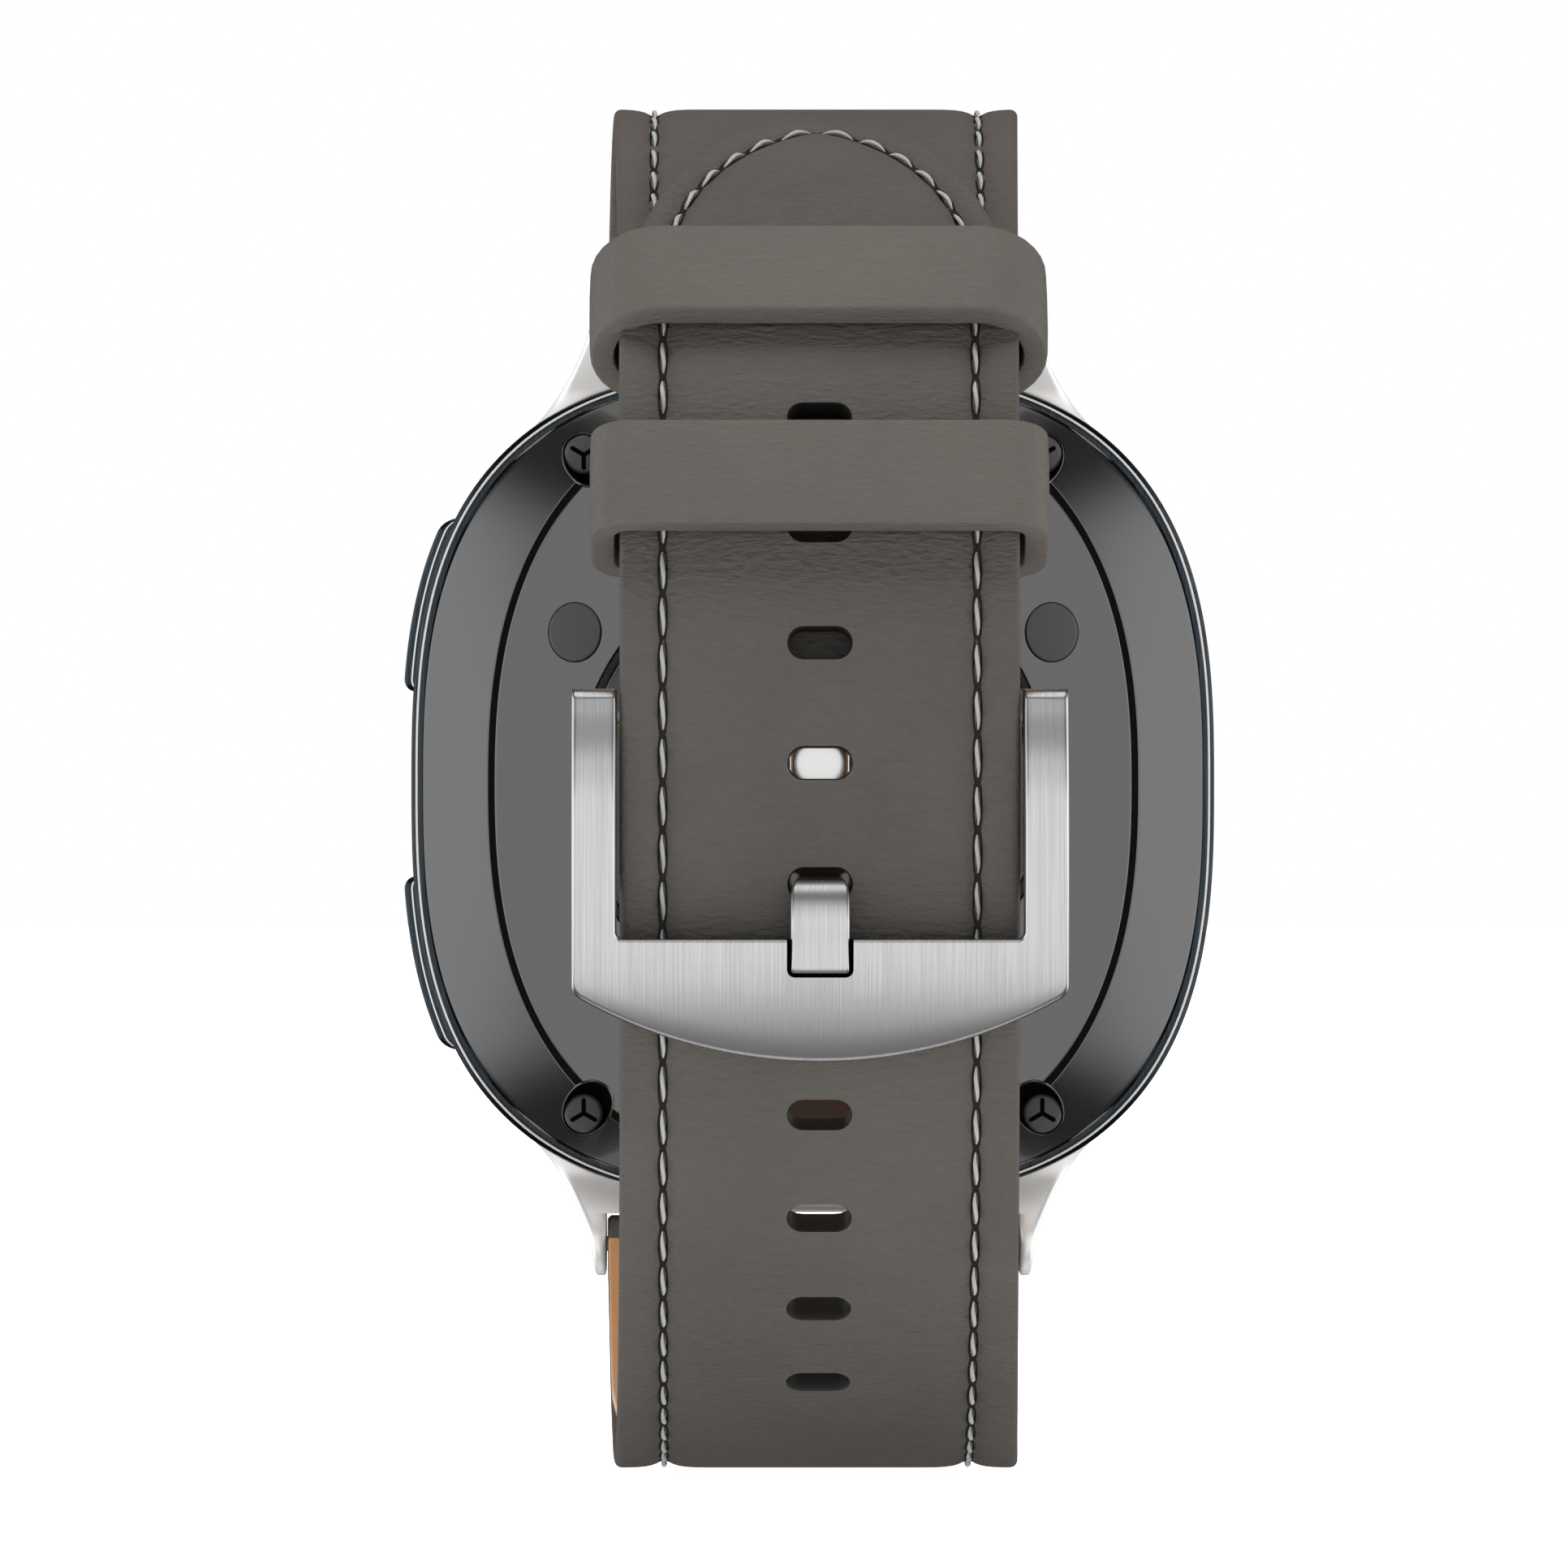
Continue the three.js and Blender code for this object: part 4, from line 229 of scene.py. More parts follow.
def mixed_colour(tree, factor, first, second):
    mix = add_node(
        tree,
        "ShaderNodeMix",
        {0: factor, COLOUR_A: linear(first), COLOUR_B: linear(second)},
        data_type="RGBA",
    )
    return mix.outputs[COLOUR_OUT]


def grained_leather(name, light, dark, grain_mm, grain_depth_mm, roughness):
    """Full-grain calf: fine short wrinkles that run across the strap, and an even satin top coat."""
    material, tree, shader = new_finish(name, {"Specular IOR Level": 0.32, "IOR": 1.48})
    place = add_node(tree, "ShaderNodeTexCoord")
    stretch = add_node(
        tree,
        "ShaderNodeMapping",
        {"Vector": place.outputs["Object"], "Scale": (0.36, 1.0, 1.0)},
    )
    wrinkle = add_node(
        tree,
        "ShaderNodeTexNoise",
        {"Vector": stretch.outputs[0], "Scale": per_metre(grain_mm), "Detail": 4.0, "Roughness": 0.6,
         "Distortion": 0.35},
    )
    pore = add_node(
        tree,
        "ShaderNodeTexVoronoi",
        {"Vector": stretch.outputs[0], "Scale": per_metre(grain_mm * 0.7)},
        feature="SMOOTH_F1",
    )
    height = add_node(
        tree,
        "ShaderNodeMath",
        {0: pore.outputs["Distance"], 1: 0.45, 2: wrinkle.outputs["Fac"]},
        operation="MULTIPLY_ADD",
    )
    bump = add_node(
        tree,
        "ShaderNodeBump",
        {"Height": height.outputs[0], "Distance": grain_depth_mm * MM, "Strength": 0.8},
    )
    cloud = add_node(
        tree,
        "ShaderNodeTexNoise",
        {"Vector": place.outputs["Object"], "Scale": per_metre(9.0), "Detail": 3.0},
    )
    tone = add_node(
        tree,
        "ShaderNodeMath",
        {0: cloud.outputs["Fac"], 1: 0.6},
        operation="MULTIPLY",
    )
    grain_tone = add_node(
        tree,
        "ShaderNodeMath",
        {0: wrinkle.outputs["Fac"], 1: 0.4, 2: tone.outputs[0]},
        operation="MULTIPLY_ADD",
    )
    tree.links.new(mixed_colour(tree, grain_tone.outputs[0], dark, light), shader.inputs["Base Color"])
    gloss = add_node(
        tree,
        "ShaderNodeMapRange",
        {"Value": wrinkle.outputs["Fac"], "To Min": roughness + 0.1, "To Max": roughness - 0.05},
    )
    tree.links.new(gloss.outputs[0], shader.inputs["Roughness"])
    tree.links.new(bump.outputs[0], shader.inputs["Normal"])
    return material


def napped_lining():
    """Tan microfibre: a short nap that scatters light, with fine darker flecks."""
    material, tree, shader = new_finish(
        "tan_microfibre", {"Roughness": 0.92, "Sheen Weight": 0.35, "Sheen Roughness": 0.5}
    )
    place = add_node(tree, "ShaderNodeTexCoord")
    nap = add_node(
        tree,
        "ShaderNodeTexNoise",
        {"Vector": place.outputs["Object"], "Scale": per_metre(0.16), "Detail": 4.0, "Roughness": 0.7},
    )
    tree.links.new(mixed_colour(tree, nap.outputs["Fac"], "#75502e", "#c08a55"), shader.inputs["Base Color"])
    bump = add_node(
        tree, "ShaderNodeBump", {"Height": nap.outputs["Fac"], "Distance": 0.06 * MM, "Strength": 0.6}
    )
    tree.links.new(bump.outputs[0], shader.inputs["Normal"])
    return material


def brushed_steel(name, tint, across_mm, depth_mm, roughness):
    """Stainless steel brushed from 12 to 6 o'clock: hairlines along Z, which spread highlights across."""
    material, tree, shader = new_finish(name, {"Metallic": 1.0})
    place = add_node(tree, "ShaderNodeTexCoord")
    stretch = add_node(
        tree,
        "ShaderNodeMapping",
        {"Vector": place.outputs["Object"], "Scale": (1.0, 0.02, 0.006)},
    )
    lines = add_node(
        tree,
        "ShaderNodeTexNoise",
        {"Vector": stretch.outputs[0], "Scale": per_metre(across_mm), "Detail": 3.0, "Roughness": 0.75},
    )
    shade = add_node(
        tree,
        "ShaderNodeMapRange",
        {"Value": lines.outputs["Fac"], "From Min": 0.3, "From Max": 0.7, "To Min": 0.0, "To Max": 1.0},
    )
    dark, light = tint
    tree.links.new(mixed_colour(tree, shade.outputs[0], dark, light), shader.inputs["Base Color"])
    gloss = add_node(
        tree,
        "ShaderNodeMapRange",
        {"Value": lines.outputs["Fac"], "To Min": roughness + 0.12, "To Max": roughness - 0.08},
    )
    tree.links.new(gloss.outputs[0], shader.inputs["Roughness"])
    bump = add_node(
        tree, "ShaderNodeBump", {"Height": lines.outputs["Fac"], "Distance": depth_mm * MM, "Strength": 0.5}
    )
    tree.links.new(bump.outputs[0], shader.inputs["Normal"])
    return material


def smooth_finish(name, base, inputs, haze_mm=2.0, haze=0.05):
    """A plain hard finish whose gloss wanders a little, as handled metal, glass and plastic do."""
    material, tree, shader = new_finish(name, {"Base Color": linear(base), **inputs})
    roughness = inputs.get("Roughness", 0.5)
    place = add_node(tree, "ShaderNodeTexCoord")
    cloud = add_node(
        tree,
        "ShaderNodeTexNoise",
        {"Vector": place.outputs["Object"], "Scale": per_metre(haze_mm), "Detail": 4.0},
    )
    gloss = add_node(
        tree,
        "ShaderNodeMapRange",
        {"Value": cloud.outputs["Fac"], "To Min": max(roughness - haze, 0.01), "To Max": roughness + haze},
    )
    tree.links.new(gloss.outputs[0], shader.inputs["Roughness"])
    return material


def blasted_finish(name, base, inputs, grit_mm, depth_mm):
    """A bead-blasted or moulded surface: a fine even grit that dulls the reflection."""
    material, tree, shader = new_finish(name, {"Base Color": linear(base), **inputs})
    place = add_node(tree, "ShaderNodeTexCoord")
    grit = add_node(
        tree,
        "ShaderNodeTexNoise",
        {"Vector": place.outputs["Object"], "Scale": per_metre(grit_mm), "Detail": 3.0},
    )
    bump = add_node(
        tree, "ShaderNodeBump", {"Height": grit.outputs["Fac"], "Distance": depth_mm * MM, "Strength": 0.5}
    )
    tree.links.new(bump.outputs[0], shader.inputs["Normal"])
    return material


STRAP_LEATHER = grained_leather("calf_leather", "#4f4a45", "#393632", 0.3, 0.15, 0.5)
# The keepers' calf: finer grain, and a lighter tone than the strap's, which is painted light for their tilted
# faces
KEEPER_LEATHER_PAINTED_LIGHT = grained_leather("fine_calf_leather_painted_lighter", "#55514c", "#43403c", 0.26, 0.11, 0.5)
LINING_FINISH = napped_lining()
# Bonded polyester sewing thread, one grey given as two plies twisted together: a silky light ply that is
# painted highlight streaks, and a duller dark ply that is painted shade
THREAD_PAINTED_HIGHLIGHT = blasted_finish(
    "polyester_thread_painted_highlight", "#8a8a85", {"Roughness": 0.38, "Sheen Weight": 0.3}, 0.05, 0.01
)
THREAD_PAINTED_SHADE = blasted_finish(
    "polyester_thread_painted_shade", "#2c2c2b", {"Roughness": 0.45, "Sheen Weight": 0.2}, 0.05, 0.01
)
# Painted shade: a near-black ribbon under each row of stitches, for the shade round the thread
SEAM_SHADE = blasted_finish("painted_seam_shade", "#0b0b0a", {"Roughness": 0.8}, 0.1, 0.01)
# Black zirconia: dense and glassy, so it mirrors the studio more than a plastic does
CERAMIC = smooth_finish("black_zirconia", "#121213", {"Roughness": 0.16, "IOR": 2.1}, haze=0.02)
# Painted shade: near black for grooves, drive slots, wells, pad seats and the buckle's notch, where no light
# gets out
PAINTED_SHADE_BLACK = blasted_finish(
    "painted_shade_recess", "#030303", {"Roughness": 0.8, "Specular IOR Level": 0.1}, 0.1, 0.005,
)
# Painted shade: near-black walls inside the punched holes
HOLE_WALL_SHADE = blasted_finish("painted_shade_hole_wall", "#12100f", {"Roughness": 0.6}, 0.15, 0.02)
# Steel coloured blue-black, lapped bright
BLUE_BLACK_STEEL = brushed_steel("blue_black_steel", ("#252a2e", "#3d454b"), 0.09, 0.002, 0.14)
# Polished stainless steel: near a mirror, so it shows the soft boxes as they are. A strip of it along each
# pusher is a painted highlight line.
POLISHED_STEEL_AND_PUSHER_HIGHLIGHT = smooth_finish("polished_stainless_steel_and_painted_pusher_highlight", "#dddddc", {"Metallic": 1.0, "Roughness": 0.13})
BRUSHED_STEEL = brushed_steel("brushed_stainless_steel", ("#bebebe", "#d8d8d8"), 0.07, 0.003, 0.26)
# Satin stainless steel, tumbled after forging: pale and even, with no sharp reflections. A ring of it on the
# case band's rear edge is a painted highlight line.
SATIN_LUG_STEEL_AND_RIM_HIGHLIGHT = smooth_finish(
    "tumbled_stainless_steel_and_painted_rim_highlight", "#e4e4e3", {"Metallic": 0.55, "Roughness": 0.36}, haze=0.04
)
# Black-oxide screws: a matt dark skin that keeps a soft edge. The same dark finish on the tongue's neck, where
# it runs through the strap, is painted shade.
OXIDE_STEEL_AND_NECK_SHADE = blasted_finish(
    "black_oxide_steel_and_painted_neck_shade", "#3c3c3c", {"Roughness": 0.42, "Metallic": 0.3}, 0.12, 0.006,
)
# Electrode pads: steel dulled to a dark satin
SATIN_STEEL = blasted_finish("dark_satin_steel", "#404041", {"Roughness": 0.45, "Metallic": 0.3}, 0.1, 0.003)
# Smoked mineral glass over the optics: dark, hard and glossy
SENSOR_GLASS = smooth_finish("smoked_mineral_glass", "#0d0d0e", {"Roughness": 0.06, "IOR": 1.62}, haze=0.02)
# Display glass: clear glass bonded over a dark panel
DISPLAY_GLASS = smooth_finish(
    "bonded_display_glass", "#050506",
    {"Roughness": 0.04, "IOR": 1.52, "Coat Weight": 0.4, "Coat Roughness": 0.03},
    haze=0.015,
)
# Fluoroelastomer seals and bonding lines: black and dull
RUBBER = blasted_finish("black_seal_rubber", "#0c0c0c", {"Roughness": 0.75}, 0.2, 0.01)
# Solder-masked laminate, with the faint weave of its glass cloth
LAMINATE = blasted_finish("green_laminate", "#1d4630", {"Roughness": 0.4}, 0.5, 0.01)
# Glass-filled nylon for the inner mouldings
NYLON = blasted_finish("glass_filled_nylon", "#202022", {"Roughness": 0.6}, 0.25, 0.015)
# Polyimide ribbon: amber and slightly shiny
POLYIMIDE = blasted_finish("amber_polyimide", "#a8621c", {"Roughness": 0.35}, 0.8, 0.004)
# Battery foil and shield cans: soft bright metal with a rolled haze
FOIL = smooth_finish("rolled_foil", "#b8babd", {"Metallic": 1.0, "Roughness": 0.34}, haze=0.1)

# ---------- mesh building ----------


class Shape:
    """Points in millimetres and faces, gathered for one piece."""

    def __init__(self):
        self.points = []
        self.faces = []
        self.finishes = []

    def loft(self, rings, closed=False, capped=True, finish=0):
        """Joins closed rings of points, an array of (rings, points, 3), in a tube or, if closed, a loop."""
        rings = np.asarray(rings, float)
        count, around = rings.shape[:2]
        start = len(self.points)
        self.points.extend(rings.reshape(-1, 3))
        faces = []
        for row in range(count if closed else count - 1):
            after = (row + 1) % count
            for k in range(around):
                side = (k + 1) % around
                faces.append((
                    start + row * around + k,
                    start + row * around + side,
                    start + after * around + side,
                    start + after * around + k,
                ))
        if capped and not closed:
            for row in (0, count - 1):
                centre = len(self.points)
                self.points.append(rings[row].mean(0))
                first = start + row * around
                faces.extend((first + k, first + (k + 1) % around, centre) for k in range(around))
        self.faces.extend(faces)
        self.finishes.extend([finish] * len(faces))

    def strip(self, left, right, finish=0):
        """A ribbon between two lines of points."""
        start = len(self.points)
        self.points.extend(np.asarray(left, float))
        self.points.extend(np.asarray(right, float))
        count = len(left)
        for k in range(count - 1):
            self.faces.append((start + k, start + k + 1, start + count + k + 1, start + count + k))
            self.finishes.append(finish)

    def object(self, name, materials, sharp=38):
        """The Blender object, welded, with outward normals and smooth faces."""
        mesh = bpy.data.meshes.new(name)
        mesh.from_pydata([tuple(p) for p in np.array(self.points) * MM], [], self.faces)
        mesh.polygons.foreach_set("material_index", self.finishes)
        for material in materials:
            mesh.materials.append(material)
        edit = bmesh.new()
        edit.from_mesh(mesh)
        bmesh.ops.remove_doubles(edit, verts=edit.verts, dist=0.0005 * MM)
        bmesh.ops.dissolve_degenerate(edit, dist=0.0002 * MM, edges=edit.edges)
        bmesh.ops.recalc_face_normals(edit, faces=edit.faces)
        edit.to_mesh(mesh)
        edit.free()
        mesh.shade_smooth()
        mesh.set_sharp_from_angle(angle=math.radians(sharp))
        piece = bpy.data.objects.new(name, mesh)
        bpy.context.scene.collection.objects.link(piece)
        return piece


def placed(piece, body, slot, *nodes):
    """Rides a finished piece on its body, and hides the CAD nodes that it stands for; the slot argument is not
    used.
    """
    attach(piece, body)
    if nodes:
        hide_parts(*nodes)
    return piece


def carve(piece, cutters, sharp=38):
    """Cuts solids out of a piece for good, and removes the cutters."""
    bpy.context.view_layer.update()
    for cutter in cutters:
        modifier = piece.modifiers.new("cut", "BOOLEAN")
        modifier.operation = "DIFFERENCE"
        modifier.solver = "MANIFOLD"
        modifier.material_mode = "TRANSFER"
        modifier.object = cutter
    graph = bpy.context.evaluated_depsgraph_get()
    graph.update()
    cut_mesh = bpy.data.meshes.new_from_object(piece.evaluated_get(graph))
    piece.modifiers.clear()
    old = piece.data
    piece.data = cut_mesh
    bpy.data.meshes.remove(old)
    for cutter in cutters:
        bpy.data.objects.remove(cutter)
    cut_mesh.shade_smooth()
    cut_mesh.set_sharp_from_angle(angle=math.radians(sharp))
    return piece


def softened(corners, reaches, steps=3):
    """A closed run of corners, (corners, ..., 3), with each turned into a curve that starts a reach away."""
    corners = np.asarray(corners, float)
    before, after = np.roll(corners, 1, 0), np.roll(corners, -1, 0)
    rows = []
    for corner, previous, following, reach in zip(corners, before, after, reaches):
        if reach == 0:
            rows.append(corner)
            continue
        ends = []
        for other in (previous, following):
            away = other - corner
            length = np.linalg.norm(away, axis=-1, keepdims=True)
            ends.append(corner + away / np.maximum(length, 1e-9) * np.minimum(reach, 0.48 * length))
        for t in np.linspace(0, 1, steps + 1):
            rows.append((1 - t) ** 2 * ends[0] + 2 * t * (1 - t) * corner + t * t * ends[1])
    return np.array(rows)


def smooth_line(points, count):
    """A Catmull-Rom curve through points, sampled evenly along its length."""
    points = np.asarray(points, float)
    padded = np.vstack([2 * points[0] - points[1], points, 2 * points[-1] - points[-2]])
    fine = []
    for a, b, c, d in zip(padded[:-3], padded[1:-2], padded[2:-1], padded[3:]):
        for t in np.linspace(0, 1, 24, endpoint=False):
            fine.append(0.5 * (2 * b + (c - a) * t + (2 * a - 5 * b + 4 * c - d) * t * t
                               + (3 * b - a - 3 * c + d) * t ** 3))
    fine = np.array(fine + [points[-1]])
    length = np.concatenate([[0], np.cumsum(np.linalg.norm(np.diff(fine, axis=0), axis=1))])
    even = np.linspace(0, length[-1], count)
    return np.stack([np.interp(even, length, fine[:, k]) for k in range(fine.shape[1])], 1)


def cushion_ring(half, exponent, depth, points=OUTLINE_POINTS):
    """A superellipse outline at a depth; half is its half width and half height."""
    angle = np.linspace(0, 2 * math.pi, points, endpoint=False)
    across, up = np.abs(np.sin(angle)) / half[0], np.abs(np.cos(angle)) / half[1]
    radius = (across ** exponent + up ** exponent) ** (-1 / exponent)
    return np.stack([radius * np.sin(angle), np.full(points, depth), radius * np.cos(angle)], 1)


def round_ring(radius, depth, points=OUTLINE_POINTS):
    return cushion_ring((radius, radius), 2, depth, points)


def stepped_in(half, step):
    return (half[0] - step, half[1] - step)


def turned(profile, centre, points=64, stretch=(1, 1)):
    """Rings of a piece turned about Y, from a profile of radii and Y, with a reach for each soft corner."""
    corners = [round_ring(max(radius, 0.001), y, points) for radius, y, _ in profile]
    rings = softened(corners, [reach for _, _, reach in profile])
    return rings * np.array([stretch[0], 1, stretch[1]]) + np.array([centre[0], 0, centre[1]])


# ---------- camera, floor and light ----------

CAMERA_Y = 0.7985
CAMERA_X = 0.0055
CAMERA_YAW = -0.00495  # radians, which keeps the watch at its place in the picture
camera_data = bpy.data.cameras.new("camera")
camera_data.lens = 348
camera_data.sensor_width = 36
camera_data.clip_start = 0.01
camera_data.clip_end = 20
camera = bpy.data.objects.new("camera", camera_data)
camera.location = (CAMERA_X, CAMERA_Y, 0)
camera.rotation_euler = (math.pi / 2, 0, math.pi + CAMERA_YAW)
bpy.context.scene.collection.objects.link(camera)
bpy.context.scene.camera = camera
bpy.context.scene.view_settings.view_transform = "Standard"

FLOOR_GAP = 0.0004
FLOOR_HALF = 3.0
FLOOR_GLOW = 0.92  # a light table, so shadows on it stay faint


def add_floor():
    floor_z = CAD_BOX[0][2] - FLOOR_GAP
    mesh = bpy.data.meshes.new("floor")
    corners = [(x * FLOOR_HALF, y * FLOOR_HALF, floor_z) for x, y in ((-1, -1), (1, -1), (1, 1), (-1, 1))]
    mesh.from_pydata(corners, [], [(0, 1, 2, 3)])
    material, _, _ = new_finish(
        "lit_acrylic_floor",
        {"Base Color": linear("#f7f7f7"), "Roughness": 0.9, "Emission Color": linear("#ffffff"),
         "Emission Strength": FLOOR_GLOW},
    )
    mesh.materials.append(material)
    floor = bpy.data.objects.new("floor", mesh)
    bpy.context.scene.collection.objects.link(floor)
    floor.visible_glossy = False


def add_softbox(name, place, aim, size, power):
    data = bpy.data.lights.new(name, "AREA")
    data.shape = "RECTANGLE"
    data.size, data.size_y = size
    data.energy = power
    light = bpy.data.objects.new(name, data)
    light.location = place
    light.rotation_euler = (Vector(aim) - Vector(place)).to_track_quat("-Z", "Y").to_euler()
    light.visible_camera = False
    light.visible_glossy = False
    bpy.context.scene.collection.objects.link(light)


def studio_world():
    """A soft studio: a front panel, one on each side, light above and below, and dark gaps between them."""
    world = bpy.data.worlds.new("studio")
    bpy.context.scene.world = world
    world.use_nodes = True
    tree = world.node_tree
    tree.nodes.clear()
    place = add_node(tree, "ShaderNodeTexCoord")
    split = add_node(tree, "ShaderNodeSeparateXYZ", {0: place.outputs["Generated"]})

    def ramp(value, start, end, level):
        node = add_node(
            tree,
            "ShaderNodeMapRange",
            {"Value": value, "From Min": start, "From Max": end, "To Min": 0.0, "To Max": level},
            interpolation_type="SMOOTHSTEP",
        )
        return node.outputs[0]

    def combine(first, second, operation):
        return add_node(tree, "ShaderNodeMath", {0: first, 1: second}, operation=operation).outputs[0]

    x, y, z = split.outputs
    aside = add_node(tree, "ShaderNodeMath", {0: x}, operation="ABSOLUTE").outputs[0]
    height = add_node(tree, "ShaderNodeMath", {0: z}, operation="ABSOLUTE").outputs[0]
    front = ramp(y, 0.60, 0.86, 1.0)
    low_band = ramp(height, 0.68, 0.40, 1.0)
    sides = combine(ramp(aside, 0.56, 0.80, 1.35), low_band, "MULTIPLY")
    top = ramp(z, 0.84, 0.97, 1.1)
    below = ramp(z, -0.84, -0.97, 0.6)
    total = combine(combine(front, sides, "ADD"), combine(top, below, "ADD"), "ADD")
    level = combine(total, 0.07, "ADD")
    light = add_node(tree, "ShaderNodeBackground", {"Color": linear("#ffffff"), "Strength": level})
    backdrop = add_node(tree, "ShaderNodeBackground", {"Color": linear("#ffffff"), "Strength": 1.0})
    path = add_node(tree, "ShaderNodeLightPath")
    mix = add_node(
        tree,
        "ShaderNodeMixShader",
        {0: path.outputs["Is Camera Ray"], 1: light.outputs[0], 2: backdrop.outputs[0]},
    )
    add_node(tree, "ShaderNodeOutputWorld", {"Surface": mix.outputs[0]})


add_floor()
studio_world()
add_softbox("top_softbox", (0.0, 0.12, 0.9), (0, 0.02, 0), (0.5, 0.4), 11.0)

# ---------- case ----------


def case_band():
    """The case's middle: a blue-black band with a ring of pale steel on its rear edge as a painted highlight
    line, and a recess for the cover.
    """
    rim = COVER_STEP + RIM_WIDTH
    rim_y = COVER_EDGE_Y - 0.15
    line = 0.055  # a fine turned line, which reads as black
    levels = [
        (0.26 + line, rim_y - 0.11, 0.03),
        (0.26 + line, rim_y - 0.3, 0),
        (0.26, rim_y - 0.3, 0),
        (0.26, rim_y - 0.1, 0.06),
        (0.08, rim_y - 0.2, 0.07),
        (0.0, rim_y - 0.45, 0.12),
        (0.0, CASE_FRONT_Y + 0.35, 0.12),
        (0.35, CASE_FRONT_Y, 0.12),
        (2.1, CASE_FRONT_Y, 0),
        (2.1, COVER_LOW[1] - 0.4, 0),
        (rim, COVER_LOW[1] - 0.4, 0),
        (rim, rim_y, 0.05),
    ]
    corners = [cushion_ring(stepped_in(CASE_HALF, step), CASE_CUSHION, depth) for step, depth, _ in levels]
    shape = Shape()
    shape.loft(softened(corners, [reach for _, _, reach in levels]), closed=True)
    # A ring of pale steel over the rear edge: a painted highlight line
    painted_highlight_ring = [
        (0.34, rim_y - 0.3, 0), (0.34, rim_y - 0.09, 0.02),
        (0.23, rim_y - 0.06, 0.02), (0.23, rim_y - 0.3, 0),
    ]
    rings = [cushion_ring(stepped_in(CASE_HALF, step), CASE_CUSHION, depth) for step, depth, _ in painted_highlight_ring]
    shape.loft(softened(rings, [reach for _, _, reach in painted_highlight_ring]), closed=True, finish=1)
    piece = shape.object("case_band", [BLUE_BLACK_STEEL, SATIN_LUG_STEEL_AND_RIM_HIGHLIGHT])
    placed(piece, "watch", "dark_steel", "case_middle")
    return piece


def lug_outer_x(z):
    """The lug's outer side in plan: flared at the case, straight near the tip."""
    bar_x = LUG_SLOT_X + LUG_TIP_THICKNESS + 0.25
    root_x = LUG_SLOT_X + LUG_ROOT_THICKNESS
    t = np.linspace(0, 1, 40)[:, None]
    controls = np.array([
        (root_x, LUG_ROOT_Z), (root_x - 1.8, LUG_ROOT_Z + 1.8), (bar_x + 0.45, BAR_Z - 1.9), (bar_x, BAR_Z),
    ])
    curve = ((1 - t) ** 3 * controls[0] + 3 * t * (1 - t) ** 2 * controls[1]
             + 3 * t * t * (1 - t) * controls[2] + t ** 3 * controls[3])
    flare = curve[0, 0] + (LUG_ROOT_Z - np.minimum(z, LUG_ROOT_Z)) * 1.1
    beyond = bar_x - (np.maximum(z, BAR_Z) - BAR_Z) * 0.15
    inside = np.interp(z, curve[:, 1], curve[:, 0])
    return np.where(z < LUG_ROOT_Z, flare, np.where(z > BAR_Z, beyond, inside))


def lug_side(z):
    """The lug's front and rear faces in Y at a height."""
    front_root = CASE_FRONT_Y + 0.5
    ease = np.clip((z - LUG_ROOT_Z - 1) / (LUG_TIP_Z - LUG_ROOT_Z - 1), 0, 1)
    front = front_root + (BAR_Y - front_root) * (1 - np.sqrt(np.maximum(1 - ease ** 2.2, 0)))
    over = np.clip(z - BAR_Z, 0, LUG_END_RADIUS)
    round_end = np.sqrt(np.maximum(LUG_END_RADIUS ** 2 - over ** 2, 0))
    slope = np.clip((z - LUG_ROOT_Z - 1.6) / (BAR_Z - LUG_ROOT_Z - 1.6), 0, 1)
    rear_root = CASE_REAR_Y + 0.1
    rise = rear_root + (BAR_Y + LUG_END_RADIUS - rear_root) * slope * slope * (3 - 2 * slope)
    rear = np.where(z > BAR_Z, BAR_Y + round_end, rise)
    return front, rear


def end_bridge(sign_z):
    """The case's end between two lugs: a rounded bar that stops just short of the strap."""
    x = np.linspace(-LUG_SLOT_X - 0.2, LUG_SLOT_X + 0.2, 40)
    front, rear = CASE_FRONT_Y + 0.8, CASE_REAR_Y - 0.25
    corners = []
    for depth, height in ((front, LUG_ROOT_Z), (front, BRIDGE_Z), (rear, BRIDGE_Z), (rear, LUG_ROOT_Z)):
        corners.append(np.stack([x, np.full(40, depth), np.full(40, height * sign_z)], 1))
    return softened(np.array(corners), [0, 0.8, 0.5, 0], 4).transpose(1, 0, 2)


def lugs():
    """Four satin steel lugs, each a flared arm that rounds over its spring bar."""
    heights = np.concatenate([
        np.linspace(LUG_ROOT_Z - 1.5, BRIDGE_Z, 20),
        [BRIDGE_Z + 0.002],
        np.linspace(BRIDGE_Z, BAR_Z, 9)[1:],
        BAR_Z + LUG_END_RADIUS * np.sin(np.linspace(0, math.pi / 2, 12)[1:]),
    ])
    shape = Shape()
    for sign_x in (1, -1):
        for sign_z in (1, -1):
            outer = lug_outer_x(heights)
            front, rear = lug_side(heights)
            closing = np.clip((LUG_TIP_Z - heights) / 0.25, 0, 1) ** 0.5
            shoulder = np.where(heights <= BRIDGE_Z, LUG_SHOULDER, 0)
            inner = LUG_SLOT_X - shoulder + (1 - closing) * 0.12
            outer = outer - (1 - closing) * 0.12
            corners = np.array([
                np.stack([inner, front, heights], 1),
                np.stack([outer, front, heights], 1),
                np.stack([outer, rear, heights], 1),
                np.stack([inner, rear, heights], 1),
            ])
            section = softened(corners, [0.25, 0.6, 0.5, 0.3], 4)
            rings = section.transpose(1, 0, 2) * np.array([sign_x, 1, sign_z])
            shape.loft(rings)
    for sign_z in (1, -1):
        shape.loft(end_bridge(sign_z))
    piece = shape.object("lugs", [SATIN_LUG_STEEL_AND_RIM_HIGHLIGHT], 50)
    placed(piece, "watch", "polished_steel")
    return piece


